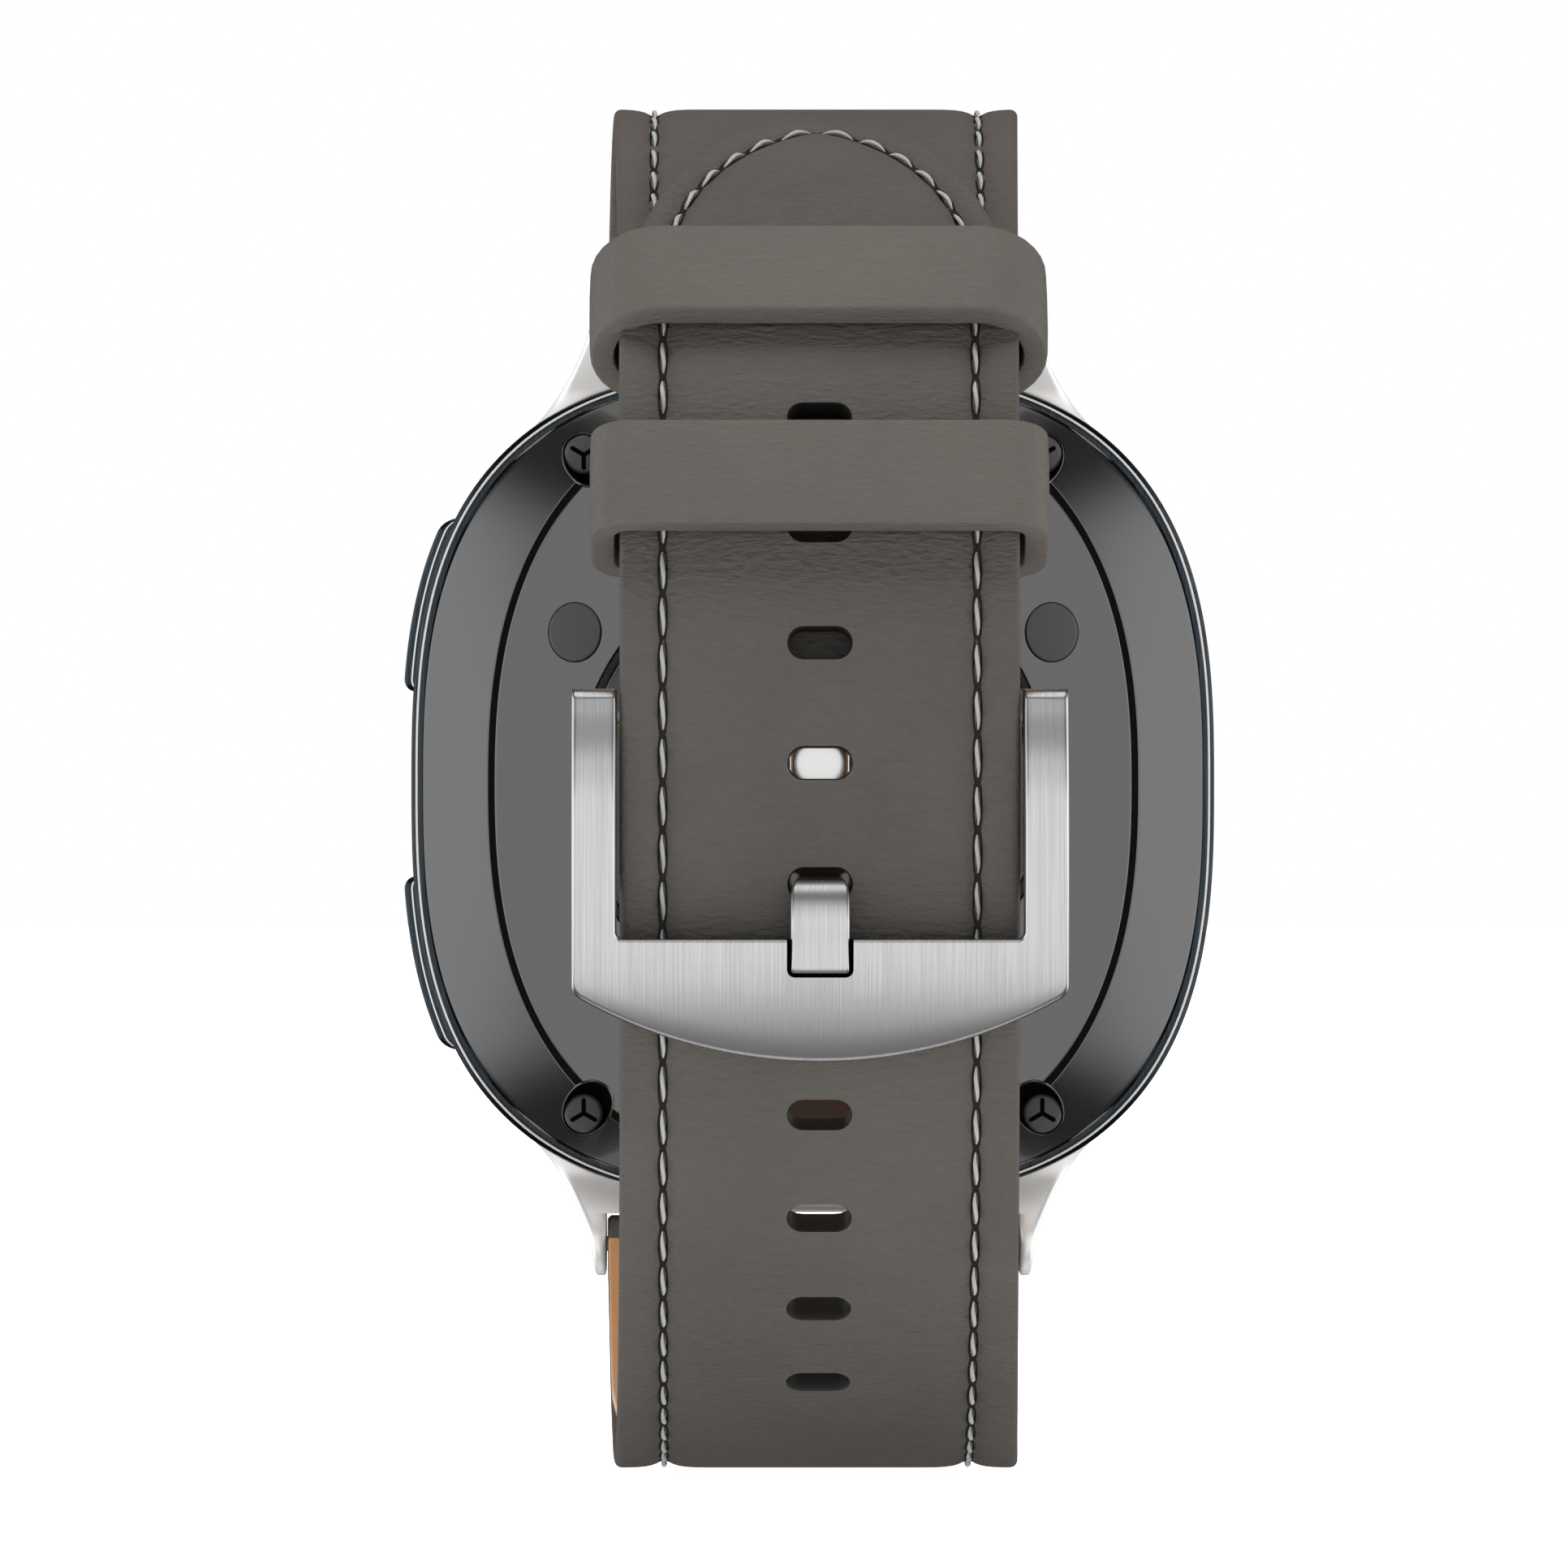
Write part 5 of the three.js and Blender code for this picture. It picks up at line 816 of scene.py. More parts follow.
SCREW_PLACES = ("upper_left", "upper_right", "lower_left", "lower_right")
SCREWS = {name: box_mm(f"case_screw_{name}") for name in SCREW_PLACES}


def middle_xz(corners):
    low, high = corners
    return np.array([low[0] + high[0], low[2] + high[2]]) / 2


def well_outline(centre, grow, points=56):
    """An oval round a screw, longer towards the middle of the cover, as X and Z."""
    inward = -centre / np.linalg.norm(centre)
    side = np.array([-inward[1], inward[0]])
    angle = np.linspace(0, 2 * math.pi, points, endpoint=False)[:, None]
    return (centre + inward * WELL_SHIFT + np.cos(angle) * (WELL_HALF_LONG + grow) * inward
            + np.sin(angle) * (WELL_HALF_SHORT + grow) * side)


def prism_y(outline, low, high, name, finish):
    """A cutter: an outline in X and Z between two depths; the cut faces take its finish."""
    shape = Shape()
    shape.loft([np.insert(outline, 1, depth, axis=1) for depth in (low, high)])
    return shape.object(name, [finish])


COVER_LEVELS = [
    (stepped_in(COVER_HALF, RIM_WIDTH), COVER_CUSHION, COVER_EDGE_Y - 0.12),
    (stepped_in(COVER_HALF, RIM_WIDTH + 0.13), COVER_CUSHION, COVER_EDGE_Y),
    ((GROOVE_HALF[0] + GROOVE_WIDTH / 2, GROOVE_HALF[1] + GROOVE_WIDTH / 2), GROOVE_CUSHION, GROOVE_RIM_Y),
    (
        (GROOVE_HALF[0] - GROOVE_WIDTH / 2, GROOVE_HALF[1] - GROOVE_WIDTH / 2),
        GROOVE_CUSHION, GROOVE_RIM_Y + 0.15,
    ),
    (SHOULDER[:2], SHOULDER[2], SHOULDER[3]),
]


def rear_cover():
    """The ceramic rear cover: a wide chamfer, a fine groove, and a low dome that holds the window."""
    ring_high = box_mm("sensor_ring")[1]
    bore = ring_high[0] + 0.05
    rows = [cushion_ring(half, exponent, depth) for half, exponent, depth in COVER_LEVELS]
    groove_floor = GROOVE_RIM_Y - GROOVE_DEPTH
    outer_floor, inner_floor = rows[2].copy(), rows[3].copy()
    outer_floor[:, 1] = groove_floor
    inner_floor[:, 1] = groove_floor
    corners = [
        cushion_ring(stepped_in(COVER_HALF, RIM_WIDTH), COVER_CUSHION, COVER_LOW[1]),
        rows[0], rows[1], rows[2], outer_floor, inner_floor, rows[3], rows[4],
        round_ring(bore, DOME_RIM_Y),
        round_ring(bore, -1.3),
        cushion_ring(stepped_in(COVER_HALF, 4.0), COVER_CUSHION, COVER_LOW[1]),
    ]
    reaches = [0, 0.05, 0.06, 0.12, 0, 0, 0.12, 2.2, 0.1, 0, 0]
    shape = Shape()
    shape.loft(softened(corners, reaches, 5), closed=True)
    piece = shape.object("ceramic_cover", [CERAMIC], 30)
    # The walls cut for the screw wells and pad seats take the near-black painted shade
    cutters = [
        prism_y(well_outline(middle_xz(box), 0.0), -8, 2, "well_cutter", PAINTED_SHADE_BLACK)
        for box in SCREWS.values()
    ]
    for name in ("electrode_left", "electrode_right"):
        low, high = box_mm(name)
        half = (high - low) / 2 + 0.05
        ring = turned([(1, -8, 0), (1, 2, 0)], middle_xz((low, high)), 56, (half[0], half[2]))
        pad = Shape()
        pad.loft(ring)
        cutters.append(pad.object("pad_cutter", [PAINTED_SHADE_BLACK]))
    carve(piece, cutters, 30)
    placed(piece, "watch", "cover", "rear_cover")
    # A near-black ring that fills the groove: painted shade for the groove's inside
    line = Shape()
    groove = []
    for level, inward in ((2, 0.01), (3, -0.01)):
        half, exponent, depth = COVER_LEVELS[level]
        for y in (depth - 0.05, groove_floor + 0.01):
            groove.append(cushion_ring(stepped_in(half, inward), exponent, y))
    line.loft([groove[0], groove[1], groove[3], groove[2]], closed=True)
    piece = line.object("groove_painted_shade", [PAINTED_SHADE_BLACK])
    wells = [well_outline(middle_xz(box), 0) for box in SCREWS.values()]
    carve(piece, [
        prism_y(well, WELL_FLOOR_Y, 1, f"line_cutter_{i}", PAINTED_SHADE_BLACK)
        for i, well in enumerate(wells)
    ])
    placed(piece, "watch", "rubber")


def cover_depth(points):
    """The cover's outer face in Y at X and Z points, from the levels of its profile."""
    reach = np.linalg.norm(points, axis=1)
    direction = points / reach[:, None]
    radii = []
    for half, exponent, _ in COVER_LEVELS:
        across, up = np.abs(direction[:, 0]) / half[0], np.abs(direction[:, 1]) / half[1]
        radii.append((across ** exponent + up ** exponent) ** (-1 / exponent))
    depths = [level[2] for level in COVER_LEVELS]
    return np.array([
        np.interp(reach[k], [column[k] for column in reversed(radii)], depths[::-1])
        for k in range(len(points))
    ])


def screw_wells():
    """A well round each screw, its inner wall and floor near black as painted shade; its rounded lip follows
    the cover's slope.
    """
    shape = Shape()
    for box in SCREWS.values():
        centre = middle_xz(box)
        outer, lip, inner = (well_outline(centre, grow) for grow in (-0.005, -WELL_LIP / 2, -WELL_LIP))
        floor = np.full(len(outer), WELL_FLOOR_Y)
        top = cover_depth(outer)
        rows = [
            (outer, np.minimum(floor, top - 0.3)),
            (outer, top - 0.02),
            (lip, cover_depth(lip) + 0.025),
            (inner, cover_depth(inner) - 0.06),
            (inner, np.minimum(floor, top - 0.3)),
            (centre + (inner - centre) * 0.02, floor),
        ]
        rings = [np.stack([line[:, 0], depth, line[:, 1]], 1) for line, depth in rows]
        shape.loft(rings[:4], capped=False)
        shape.loft(rings[3:], capped=False, finish=1)
    piece = shape.object("screw_wells", [CERAMIC, PAINTED_SHADE_BLACK], 60)
    placed(piece, "watch", "cover")
    return piece


def screw_slots(name, centre, top, radius, turn):
    """Three slot cutters at 120 degrees; the slots' walls take the near-black painted shade."""
    cutters = []
    for wing in range(3):
        angle = turn + wing * 2 * math.pi / 3
        along = np.array([math.sin(angle), math.cos(angle)])
        side = np.array([along[1], -along[0]]) * SCREW_SLOT_WIDTH / 2
        outline = [centre - along * 0.04 - side, centre + along * radius * 0.72 - side,
                   centre + along * radius * 0.8, centre + along * radius * 0.72 + side,
                   centre - along * 0.04 + side]
        slot_floor = top - SCREW_SLOT_DEPTH
        cutters.append(prism_y(np.array(outline), slot_floor, top + 1, f"{name}_slot_{wing}", PAINTED_SHADE_BLACK))
    return cutters


def case_screws():
    """Black-oxide tri-wing screws with eased heads."""
    for name, (low, high) in SCREWS.items():
        centre = middle_xz((low, high))
        radius, top = (high[0] - low[0]) / 2, high[1]
        profile = [(0, top - 1.0, 0), (radius, top - 1.0, 0),
                   (radius, top - 0.12, 0.08), (radius - 0.14, top, 0.08),
                   (0, top, 0)]
        shape = Shape()
        shape.loft(turned(profile, centre, 48), closed=True)
        piece = shape.object(f"screw_{name}", [OXIDE_STEEL_AND_NECK_SHADE], 35)
        turn = math.pi if centre[1] > 0 else 0
        carve(piece, screw_slots(name, centre, top, radius, turn), 35)
        placed(piece, "watch", "dark_steel", f"case_screw_{name}")


def sensor_parts():
    """The window, its bonding ring, and the two electrode pads."""
    low, high = box_mm("sensor_window")
    window = Shape()
    crown = 0.12
    window.loft(turned(
        [(0, low[1], 0), (high[0], low[1], 0),
         (high[0], high[1] - crown, 0.08), (high[0] - 0.2, high[1], 0.12),
         (0, high[1], 0)], (0, 0), 128), closed=True)
    placed(window.object("sensor_glass", [SENSOR_GLASS]), "watch", "window", "sensor_window")
    low, high = box_mm("sensor_ring")
    ring = Shape()
    inner = box_mm("sensor_window")[1][0] + 0.05
    ring.loft(turned(
        [(inner, low[1], 0), (high[0], low[1], 0), (high[0], high[1], 0.04), (inner, high[1], 0.04)],
        (0, 0), 128), closed=True)
    placed(ring.object("bonding_ring", [RUBBER]), "watch", "rubber", "sensor_ring")
    for name in ("electrode_left", "electrode_right"):
        low, high = box_mm(name)
        half, centre = (high - low) / 2, middle_xz((low, high))
        pad = Shape()
        pad.loft(turned(
            [(0, low[1], 0), (1, low[1], 0),
             (1, high[1] - 0.08, 0.04), (0.94, high[1], 0.05), (0, high[1], 0)],
            centre, 72, (half[0], half[2])), closed=True)
        placed(pad.object(f"pad_{name}", [SATIN_STEEL]), "watch", "inner_metal", name)


def front_parts():
    """The bezel and the display glass, both cushion-shaped."""
    low, high = box_mm("bezel")
    half = (high[0], high[2])
    glass_low, glass_high = box_mm("front_glass")
    glass_half = (glass_high[0], glass_high[2])
    seat = (glass_half[0] + 0.05, glass_half[1] + 0.05)
    bezel = Shape()
    corners = [
        cushion_ring(half, CASE_CUSHION, high[1]),
        cushion_ring(half, CASE_CUSHION, low[1] + 0.7),
        cushion_ring(stepped_in(half, 0.7), CASE_CUSHION, low[1]),
        cushion_ring(seat, CASE_CUSHION, low[1]),
        cushion_ring(seat, CASE_CUSHION, high[1]),
    ]
    bezel.loft(softened(corners, [0.1, 0.3, 0.15, 0.06, 0], 4), closed=True)
    placed(bezel.object("polished_bezel", [BLUE_BLACK_STEEL]), "watch", "dark_steel", "bezel")
    glass = Shape()
    corners = [
        cushion_ring((0.5, 0.5), 2, glass_high[1]),
        cushion_ring(glass_half, CASE_CUSHION, glass_high[1]),
        cushion_ring(glass_half, CASE_CUSHION, glass_low[1] + 0.4),
        cushion_ring(stepped_in(glass_half, 0.7), CASE_CUSHION, glass_low[1] + 0.02),
        cushion_ring(stepped_in(glass_half, 8), 2.4, glass_low[1]),
        cushion_ring((0.5, 0.5), 2, glass_low[1]),
    ]
    glass.loft(softened(corners, [0, 0, 0.3, 0.6, 0, 0], 5))
    placed(glass.object("display_glass", [DISPLAY_GLASS]), "watch", "display_glass", "front_glass")


def case_outline_x(z, offset):
    half = (CASE_HALF[0] + offset, CASE_HALF[1] + offset)
    return half[0] * (1 - np.abs(z / half[1]) ** CASE_CUSHION) ** (1 / CASE_CUSHION)


def pushers():
    """Two long pushers that follow the case's curve, with eased edges and rounded ends."""
    for side in ("upper", "lower"):
        low, high = box_mm(f"{side}_pusher_cap")
        run = np.linspace(0, math.pi, 41)
        heights = (low[2] + high[2]) / 2 - np.cos(run) * (high[2] - low[2]) / 2
        ends = np.clip(np.minimum(heights - low[2], high[2] - heights) / 0.7, 0, 1)
        swell = np.sqrt(1 - (1 - ends) ** 2)
        centre_y, half_y = (low[1] + high[1]) / 2, (high[1] - low[1]) / 2 * (0.86 + 0.14 * swell)
        outer = case_outline_x(heights, -0.1 + 0.64 * swell)
        inner = case_outline_x(heights, -0.7)
        corners = np.array([
            np.stack([inner, centre_y - half_y, heights], 1),
            np.stack([outer, centre_y - half_y, heights], 1),
            np.stack([outer, centre_y + half_y, heights], 1),
            np.stack([inner, centre_y + half_y, heights], 1),
        ])
        section = softened(corners, [0, 0.34, 0.34, 0], 5)
        shape = Shape()
        shape.loft(section.transpose(1, 0, 2))
        # A strip of polished steel along each pusher's rear face: a painted highlight line
        inside = slice(3, -3)
        highlight_strip_y = centre_y + half_y + 0.012
        line = [np.stack([outer - step, highlight_strip_y, heights], 1)[inside] for step in (0.36, 0.44)]
        shape.strip(*line, finish=1)
        piece = shape.object(f"{side}_pusher_key", [BLUE_BLACK_STEEL, POLISHED_STEEL_AND_PUSHER_HIGHLIGHT], 45)
        placed(piece, f"{side}_pusher", "dark_steel", f"{side}_pusher_cap")


# ---------- wrist loop ----------


def loop_normal(degrees):
    angle = np.radians(degrees)
    normal = np.stack([np.cos(angle) / LOOP_HALF[0], np.sin(angle) / LOOP_HALF[1]], -1)
    return normal / np.linalg.norm(normal, axis=-1, keepdims=True)


def loop_point(degrees, depth):
    """Y and Z of a point of the loop at an angle from the buckle side, sunk by a depth."""
    angle = np.radians(degrees)
    rim = np.stack([
        LOOP_CENTRE[0] + LOOP_HALF[0] * np.cos(angle), LOOP_CENTRE[1] + LOOP_HALF[1] * np.sin(angle),
    ], -1)
    return rim - loop_normal(degrees) * np.asarray(depth)[..., None]


def loop_angle(z):
    return math.degrees(math.asin((z - LOOP_CENTRE[1]) / LOOP_HALF[1]))


ARC_ANGLES = np.linspace(-LOOP_END, LOOP_END, 4721)
ARC_LENGTHS = np.concatenate(
    [[0], np.cumsum(np.linalg.norm(np.diff(loop_point(ARC_ANGLES, np.zeros(4721)), axis=0), axis=1))]
)


def arc_at(degrees):
    return np.interp(degrees, ARC_ANGLES, ARC_LENGTHS)


def angle_at(arc):
    return np.interp(arc, ARC_LENGTHS, ARC_ANGLES)


TIP_ARC = float(arc_at(TIP_AT))
TIP_START_ARC = TIP_ARC - TIP_LENGTH
SEAM_ARCH_ARC = TIP_ARC - SEAM_FROM_TIP - SEAM_ARCH_LENGTH


def strap_half_width(y):
    near = LOOP_CENTRE[0] + LOOP_HALF[0]
    share = np.clip((near - y) / (near - BAR_Y), 0, 1)
    return STRAP_NEAR_HALF_WIDTH + (STRAP_LUG_HALF_WIDTH - STRAP_NEAR_HALF_WIDTH) * share ** 1.3


def short_depth(degrees):
    t = np.clip((degrees - SHORT_DIVES_AT) / (SHORT_SURFACES_AT - SHORT_DIVES_AT), 0, 1)
    return SHORT_DEPTH * (1 - t * t * (3 - 2 * t))


def long_thickness(degrees):
    return np.minimum(STRAP_THICKNESS, short_depth(degrees) - LAYER_GAP)


def arch_share(arc):
    """How wide the pointed end is at an arc length, as a share of the strap's full width."""
    share = np.clip((arc - TIP_START_ARC) / TIP_LENGTH, 0, 0.9999)
    return np.cos(share * math.pi / 2) ** TIP_CURVE


def seam_x_at(arc, stitch_x, arched):
    """How far the seam lies from the middle: it closes in an arch where the strap is pointed."""
    if not arched:
        return np.full(np.shape(arc), stitch_x)
    share = np.clip((arc - SEAM_ARCH_ARC) / SEAM_ARCH_LENGTH, 0, 1)
    return stitch_x * np.cos(share * math.pi / 2) ** SEAM_ARCH_CURVE


def seam_line(stitch_x, arched):
    """The seam on the flat strap, as X and arc length: two sides, and an arch where the strap is pointed."""
    end = SEAM_ARCH_ARC if arched else ARC_LENGTHS[-1]
    side = np.linspace(0, end, 400)
    line = np.stack([np.full(400, stitch_x), side], 1)
    if arched:
        rise = SEAM_ARCH_ARC + SEAM_ARCH_LENGTH * np.sin(np.linspace(0, math.pi / 2, 80))
        arch = np.stack([seam_x_at(rise, stitch_x, True), rise], 1)
        right = np.vstack([line[:-1], arch])
        return np.vstack([right, (right * np.array([-1, 1]))[::-1][1:]])
    return line


def seam_relief(x, arc, line):
    """How deep the seams pull the leather down at flattened points."""
    right = line[line[:, 0] >= 0]
    points = np.stack([np.abs(x), arc], -1)
    distance = np.full(x.shape, 9.0)
    for row in range(len(x)):
        near = right[np.abs(right[:, 1] - arc[row, 0]) < 3]
        if len(near):
            distance[row] = np.linalg.norm(points[row][:, None] - near[None], axis=2).min(1)
    return relief_at(distance)


def strap_rows(sign, angles, top, bottom):
    """Outer and inner points in Y and Z along a strap: round the loop, straight to the bar, and over it."""
    outer, inner = loop_point(angles, top), loop_point(angles, bottom)
    arcs = arc_at(angles)
    normal = loop_normal(sign * LOOP_END)
    centre = np.array([BAR_Y, BAR_Z * sign])
    end = np.array([normal[1], -normal[0]]) * -sign
    first, last = (outer[0], inner[0]) if sign < 0 else (outer[-1], inner[-1])
    length = np.linalg.norm(centre + normal * LUG_WRAP_RADIUS - first)
    straight = np.linspace(0, 1, STRAIGHT_ROWS + 1)[1:, None]
    eased = straight * straight * (3 - 2 * straight)
    run_outer = first + (centre + normal * LUG_WRAP_RADIUS - first) * straight
    thin = first - last
    wrapped = normal * LUG_WRAP_RADIUS * 2
    run_inner = run_outer - (thin * (1 - eased) + wrapped * eased)
    turn = np.linspace(0, math.pi / 2, CAP_ROWS + 1)[1:, None]
    cap_outer = centre + LUG_WRAP_RADIUS * (np.cos(turn) * normal + np.sin(turn) * end)
    cap_inner = centre + LUG_WRAP_RADIUS * (-np.cos(turn) * normal + np.sin(turn) * end)
    tail_outer, tail_inner = np.vstack([run_outer, cap_outer]), np.vstack([run_inner, cap_inner])
    tail_arcs = np.concatenate([straight[:, 0] * length, length + turn[:, 0] * LUG_WRAP_RADIUS])
    if sign < 0:
        return (np.vstack([tail_outer[::-1], outer]), np.vstack([tail_inner[::-1], inner]),
                np.concatenate([arcs[0] - tail_arcs[::-1], arcs]))
    return (np.vstack([outer, tail_outer]), np.vstack([inner, tail_inner]),
            np.concatenate([arcs, arcs[-1] + tail_arcs]))


STRAIGHT_ROWS = 21  # rows along the straight run to a lug bar
CAP_ROWS = 11  # rows over the bar
BARE_ROWS = 4  # rows of the straight run with no lining
PIN_ROWS = 6  # rows next to the pin with no lining
PANEL_SHARES = np.array([0, 0.15, 0.3, 0.45, 0.6, 0.72, 0.8, 0.86, 0.91, 0.945, 0.97, 0.985, 1.0])
BORDER_SHARES = np.array([0.05, 0.1, 0.18, 0.3, 0.45, 0.65, 0.85, 1.0])


def strap_sections(outer, inner, arcs, seam, stitch_x, arched, edge):
    """Rings of a strap layer: a relief on the outer face, rounded edges, and a flat inner face."""
    half = strap_half_width(outer[:, 0])
    if arched:
        half = TIP_HALF_FLAT + (half - TIP_HALF_FLAT) * arch_share(arcs)
    seam_x = np.clip(seam_x_at(arcs, stitch_x, arched), half * 0.3, half * 0.85)
    thickness = np.linalg.norm(outer - inner, axis=1)
    rounding = np.minimum(edge, np.minimum(thickness * 0.45, half * 0.4))
    border = half - rounding - seam_x
    turn = np.linspace(0, math.pi / 2, 5)[1:]
    x = np.concatenate([
        seam_x[:, None] * PANEL_SHARES,
        seam_x[:, None] + border[:, None] * BORDER_SHARES,
        (half - rounding)[:, None] + rounding[:, None] * np.sin(turn),
    ], 1)
    sink = np.concatenate([
        np.zeros((len(arcs), len(PANEL_SHARES) + len(BORDER_SHARES))),
        rounding[:, None] * (1 - np.cos(turn)),
    ], 1)
    fade = np.clip((half[:, None] - x) / 0.5, 0, 1)
    sink = sink + seam_relief(x, np.repeat(arcs[:, None], x.shape[1], 1), seam) * fade
    sink = np.minimum(sink, thickness[:, None] * 0.5)
    low_x = np.stack([half, half - rounding * 0.5, half * 0.66, half * 0.33], 1)
    low_sink = np.stack([thickness - rounding * 0.5, thickness, thickness, thickness], 1)
    right_x = np.concatenate([x, low_x], 1)
    right_sink = np.concatenate([sink, low_sink], 1)
    all_x = np.concatenate([right_x, -right_x[:, :0:-1]], 1)
    all_sink = np.concatenate([right_sink, right_sink[:, :0:-1]], 1)
    share = all_sink / np.maximum(thickness[:, None], 1e-6)
    yz = outer[:, None, :] + (inner - outer)[:, None, :] * share[..., None]
    return np.concatenate([all_x[..., None], yz], 2)


USED_HOLE_ARC = float(arc_at(loop_angle(USED_HOLE_Z)))
HOLE_ARCS = [USED_HOLE_ARC + (USED_HOLE - i) * HOLE_PITCH for i in range(HOLE_COUNT)]
LINING_HOLE_PLAY = 0.35  # the lining's holes are wider, so that its edge stays out of sight
STRAP_SHARP_ANGLE = 50


def hole_cutters(play):
    """Stadium-shaped punches through the strap, one for each adjustment hole, wider by a play; the walls they
    cut take the near-black painted shade.
    """
    cutters = []
    turn = np.linspace(-math.pi / 2, math.pi / 2, 13)
    middle = HOLE_HALF_LENGTH - HOLE_HALF_HEIGHT
    radius = HOLE_HALF_HEIGHT + play
    right = np.stack([middle + radius * np.cos(turn), radius * np.sin(turn)], 1)
    outline = np.vstack([right, -right])
    for i, arc in enumerate(HOLE_ARCS):
        degrees = float(angle_at(arc))
        normal, point = loop_normal(degrees), loop_point(degrees, 0)
        along = np.array([-normal[1], normal[0]])
        rings = []
        for depth, grow in ((-1.0, 0.1), (0.0, 0.1), (0.12, 0.0), (STRAP_THICKNESS + 1, 0.0)):
            yz = point - normal * depth + outline[:, 1:] * (1 + grow) * along
            rings.append(np.concatenate([outline[:, :1] * (1 + grow / 2), yz], 1))
        shape = Shape()
        shape.loft(rings)
        cutters.append(shape.object(f"punch_{i}", [HOLE_WALL_SHADE]))
    return cutters


def angle_rows(start, end, arc_step):
    low, high = arc_at(start), arc_at(end)
    return angle_at(np.linspace(low, high, max(int((high - low) / arc_step), 2)))


def long_strap():
    """The perforated half: padded between its seams, with a pointed end and a tan lining."""
    body = angle_rows(-LOOP_END, float(angle_at(TIP_START_ARC)), 0.5)
    tip = angle_at(TIP_START_ARC + (TIP_LENGTH - 0.01) * np.sin(np.linspace(0, math.pi / 2, 76)[1:]))
    angles = np.concatenate([body, tip])
    leather = long_thickness(angles) * LEATHER / STRAP_THICKNESS
    rows = strap_rows(-1, angles, np.zeros(len(angles)), leather)
    seam = seam_line(LONG_STITCH_X, True)
    shape = Shape()
    shape.loft(strap_sections(*rows, seam, LONG_STITCH_X, True, STRAP_EDGE_ROUNDING))
    piece = shape.object("long_strap", [STRAP_LEATHER], 50)
    carve(piece, hole_cutters(0.0), STRAP_SHARP_ANGLE)
    placed(piece, "watch", "leather", "long_strap_leather")
    lining = lining_piece(rows, -1, long_thickness(angles), "long_strap_inner", True, LONG_LINING_INSET)
    carve(lining, hole_cutters(LINING_HOLE_PLAY), STRAP_SHARP_ANGLE)
    placed(lining, "watch", "lining", "long_strap_lining")


def lining_piece(rows, sign, thickness, name, arched, inset):
    """The lining under a strap's leather, which thins out where the strap runs up to its lug bar."""
    outer, inner, arcs = rows
    tail = STRAIGHT_ROWS + CAP_ROWS
    thinning = np.linspace(1, 0.25, STRAIGHT_ROWS)
    share = np.concatenate([thickness / STRAP_THICKNESS, thinning, np.zeros(CAP_ROWS)])
    if sign < 0:
        share = np.concatenate([share[:-tail - 1:-1], share[:-tail]])
    keep = slice(CAP_ROWS + BARE_ROWS, None) if sign < 0 else slice(PIN_ROWS, -CAP_ROWS - BARE_ROWS)
    outer, inner, arcs, share = (values[keep] for values in (outer, inner, arcs, share))
    inward = inner - outer
    inward /= np.linalg.norm(inward, axis=1, keepdims=True)
    upper_yz = inner + inward * (LINING_TOP - LEATHER) * share[:, None]
    lower_yz = inner + inward * (STRAP_THICKNESS - LEATHER) * share[:, None]
    half = strap_half_width(outer[:, 0])
    if arched:
        half = TIP_HALF_FLAT + (half - TIP_HALF_FLAT) * arch_share(arcs)
    skive = LINING_SKIVE * np.clip((outer[:, 0] - SKIVE_FROM_Y) / SKIVE_RUN, 0, 1)
    half = np.maximum(half - inset - skive, 0.08)
    columns = np.array([-1, -0.6, -0.2, 0.2, 0.6, 1.0])
    upper = np.stack([np.concatenate([(half * c)[:, None], upper_yz], 1) for c in columns])
    lower = np.stack([np.concatenate([(half * c)[:, None], lower_yz], 1) for c in columns[::-1]])
    reaches = [0.1, 0, 0, 0, 0, 0.1, 0.15, 0, 0, 0, 0, 0.15]
    section = softened(np.concatenate([upper, lower]), reaches)
    shape = Shape()
    shape.loft(section.transpose(1, 0, 2))
    return shape.object(name, [LINING_FINISH], 50)


def short_strap():
    """The buckle half: it dives under the pointed end, and folds round the buckle's pin."""
    start = loop_angle(float(PIN_CENTRE[1])) + 3
    angles = angle_rows(start, LOOP_END, 0.6)
    depth = short_depth(angles)
    rows = strap_rows(1, angles, depth, depth + LEATHER)
    seam = seam_line(SHORT_STITCH_X, False)
    shape = Shape()
    shape.loft(strap_sections(*rows, seam, SHORT_STITCH_X, False, STRAP_EDGE_ROUNDING))
    piece = shape.object("short_strap", [STRAP_LEATHER], 50)
    placed(piece, "watch", "leather", "short_strap_leather")
    thickness = np.full(len(angles), STRAP_THICKNESS)
    lining = lining_piece(rows, 1, thickness, "short_strap_inner", False, SHORT_LINING_INSET)
    placed(lining, "watch", "lining", "short_strap_lining")
    pin_fold()


def pin_fold():
    """The leather fold round the buckle pin, open in the middle for the tongue."""
    shape = Shape()
    wall = 0.55
    radius = 1.35
    turn = np.linspace(math.radians(60), math.radians(-200), 25)
    half = STRAP_NEAR_HALF_WIDTH
    slot = TONGUE_HALF_WIDTH + LAYER_GAP
    for low, high in ((slot, half), (-half, -slot)):
        corners = []
        for x, reach in ((low, radius), (high, radius), (high, radius - wall), (low, radius - wall)):
            corners.append(np.stack([
                np.full(len(turn), x),
                PIN_CENTRE[0] + reach * np.cos(turn),
                PIN_CENTRE[1] + reach * np.sin(turn),
            ], 1))
        section = softened(np.array(corners), [0.2, 0.2, 0.1, 0.1])
        shape.loft(section.transpose(1, 0, 2))
    placed(shape.object("pin_fold", [STRAP_LEATHER], 50), "watch", "leather")


# ---------- stitching ----------

SHORT_SEAM_FROM = 64  # degrees, where the long strap has covered the short one
THREAD_SIDES = 7
THREAD_STEPS = 13
PLY_TURNS = 0.5


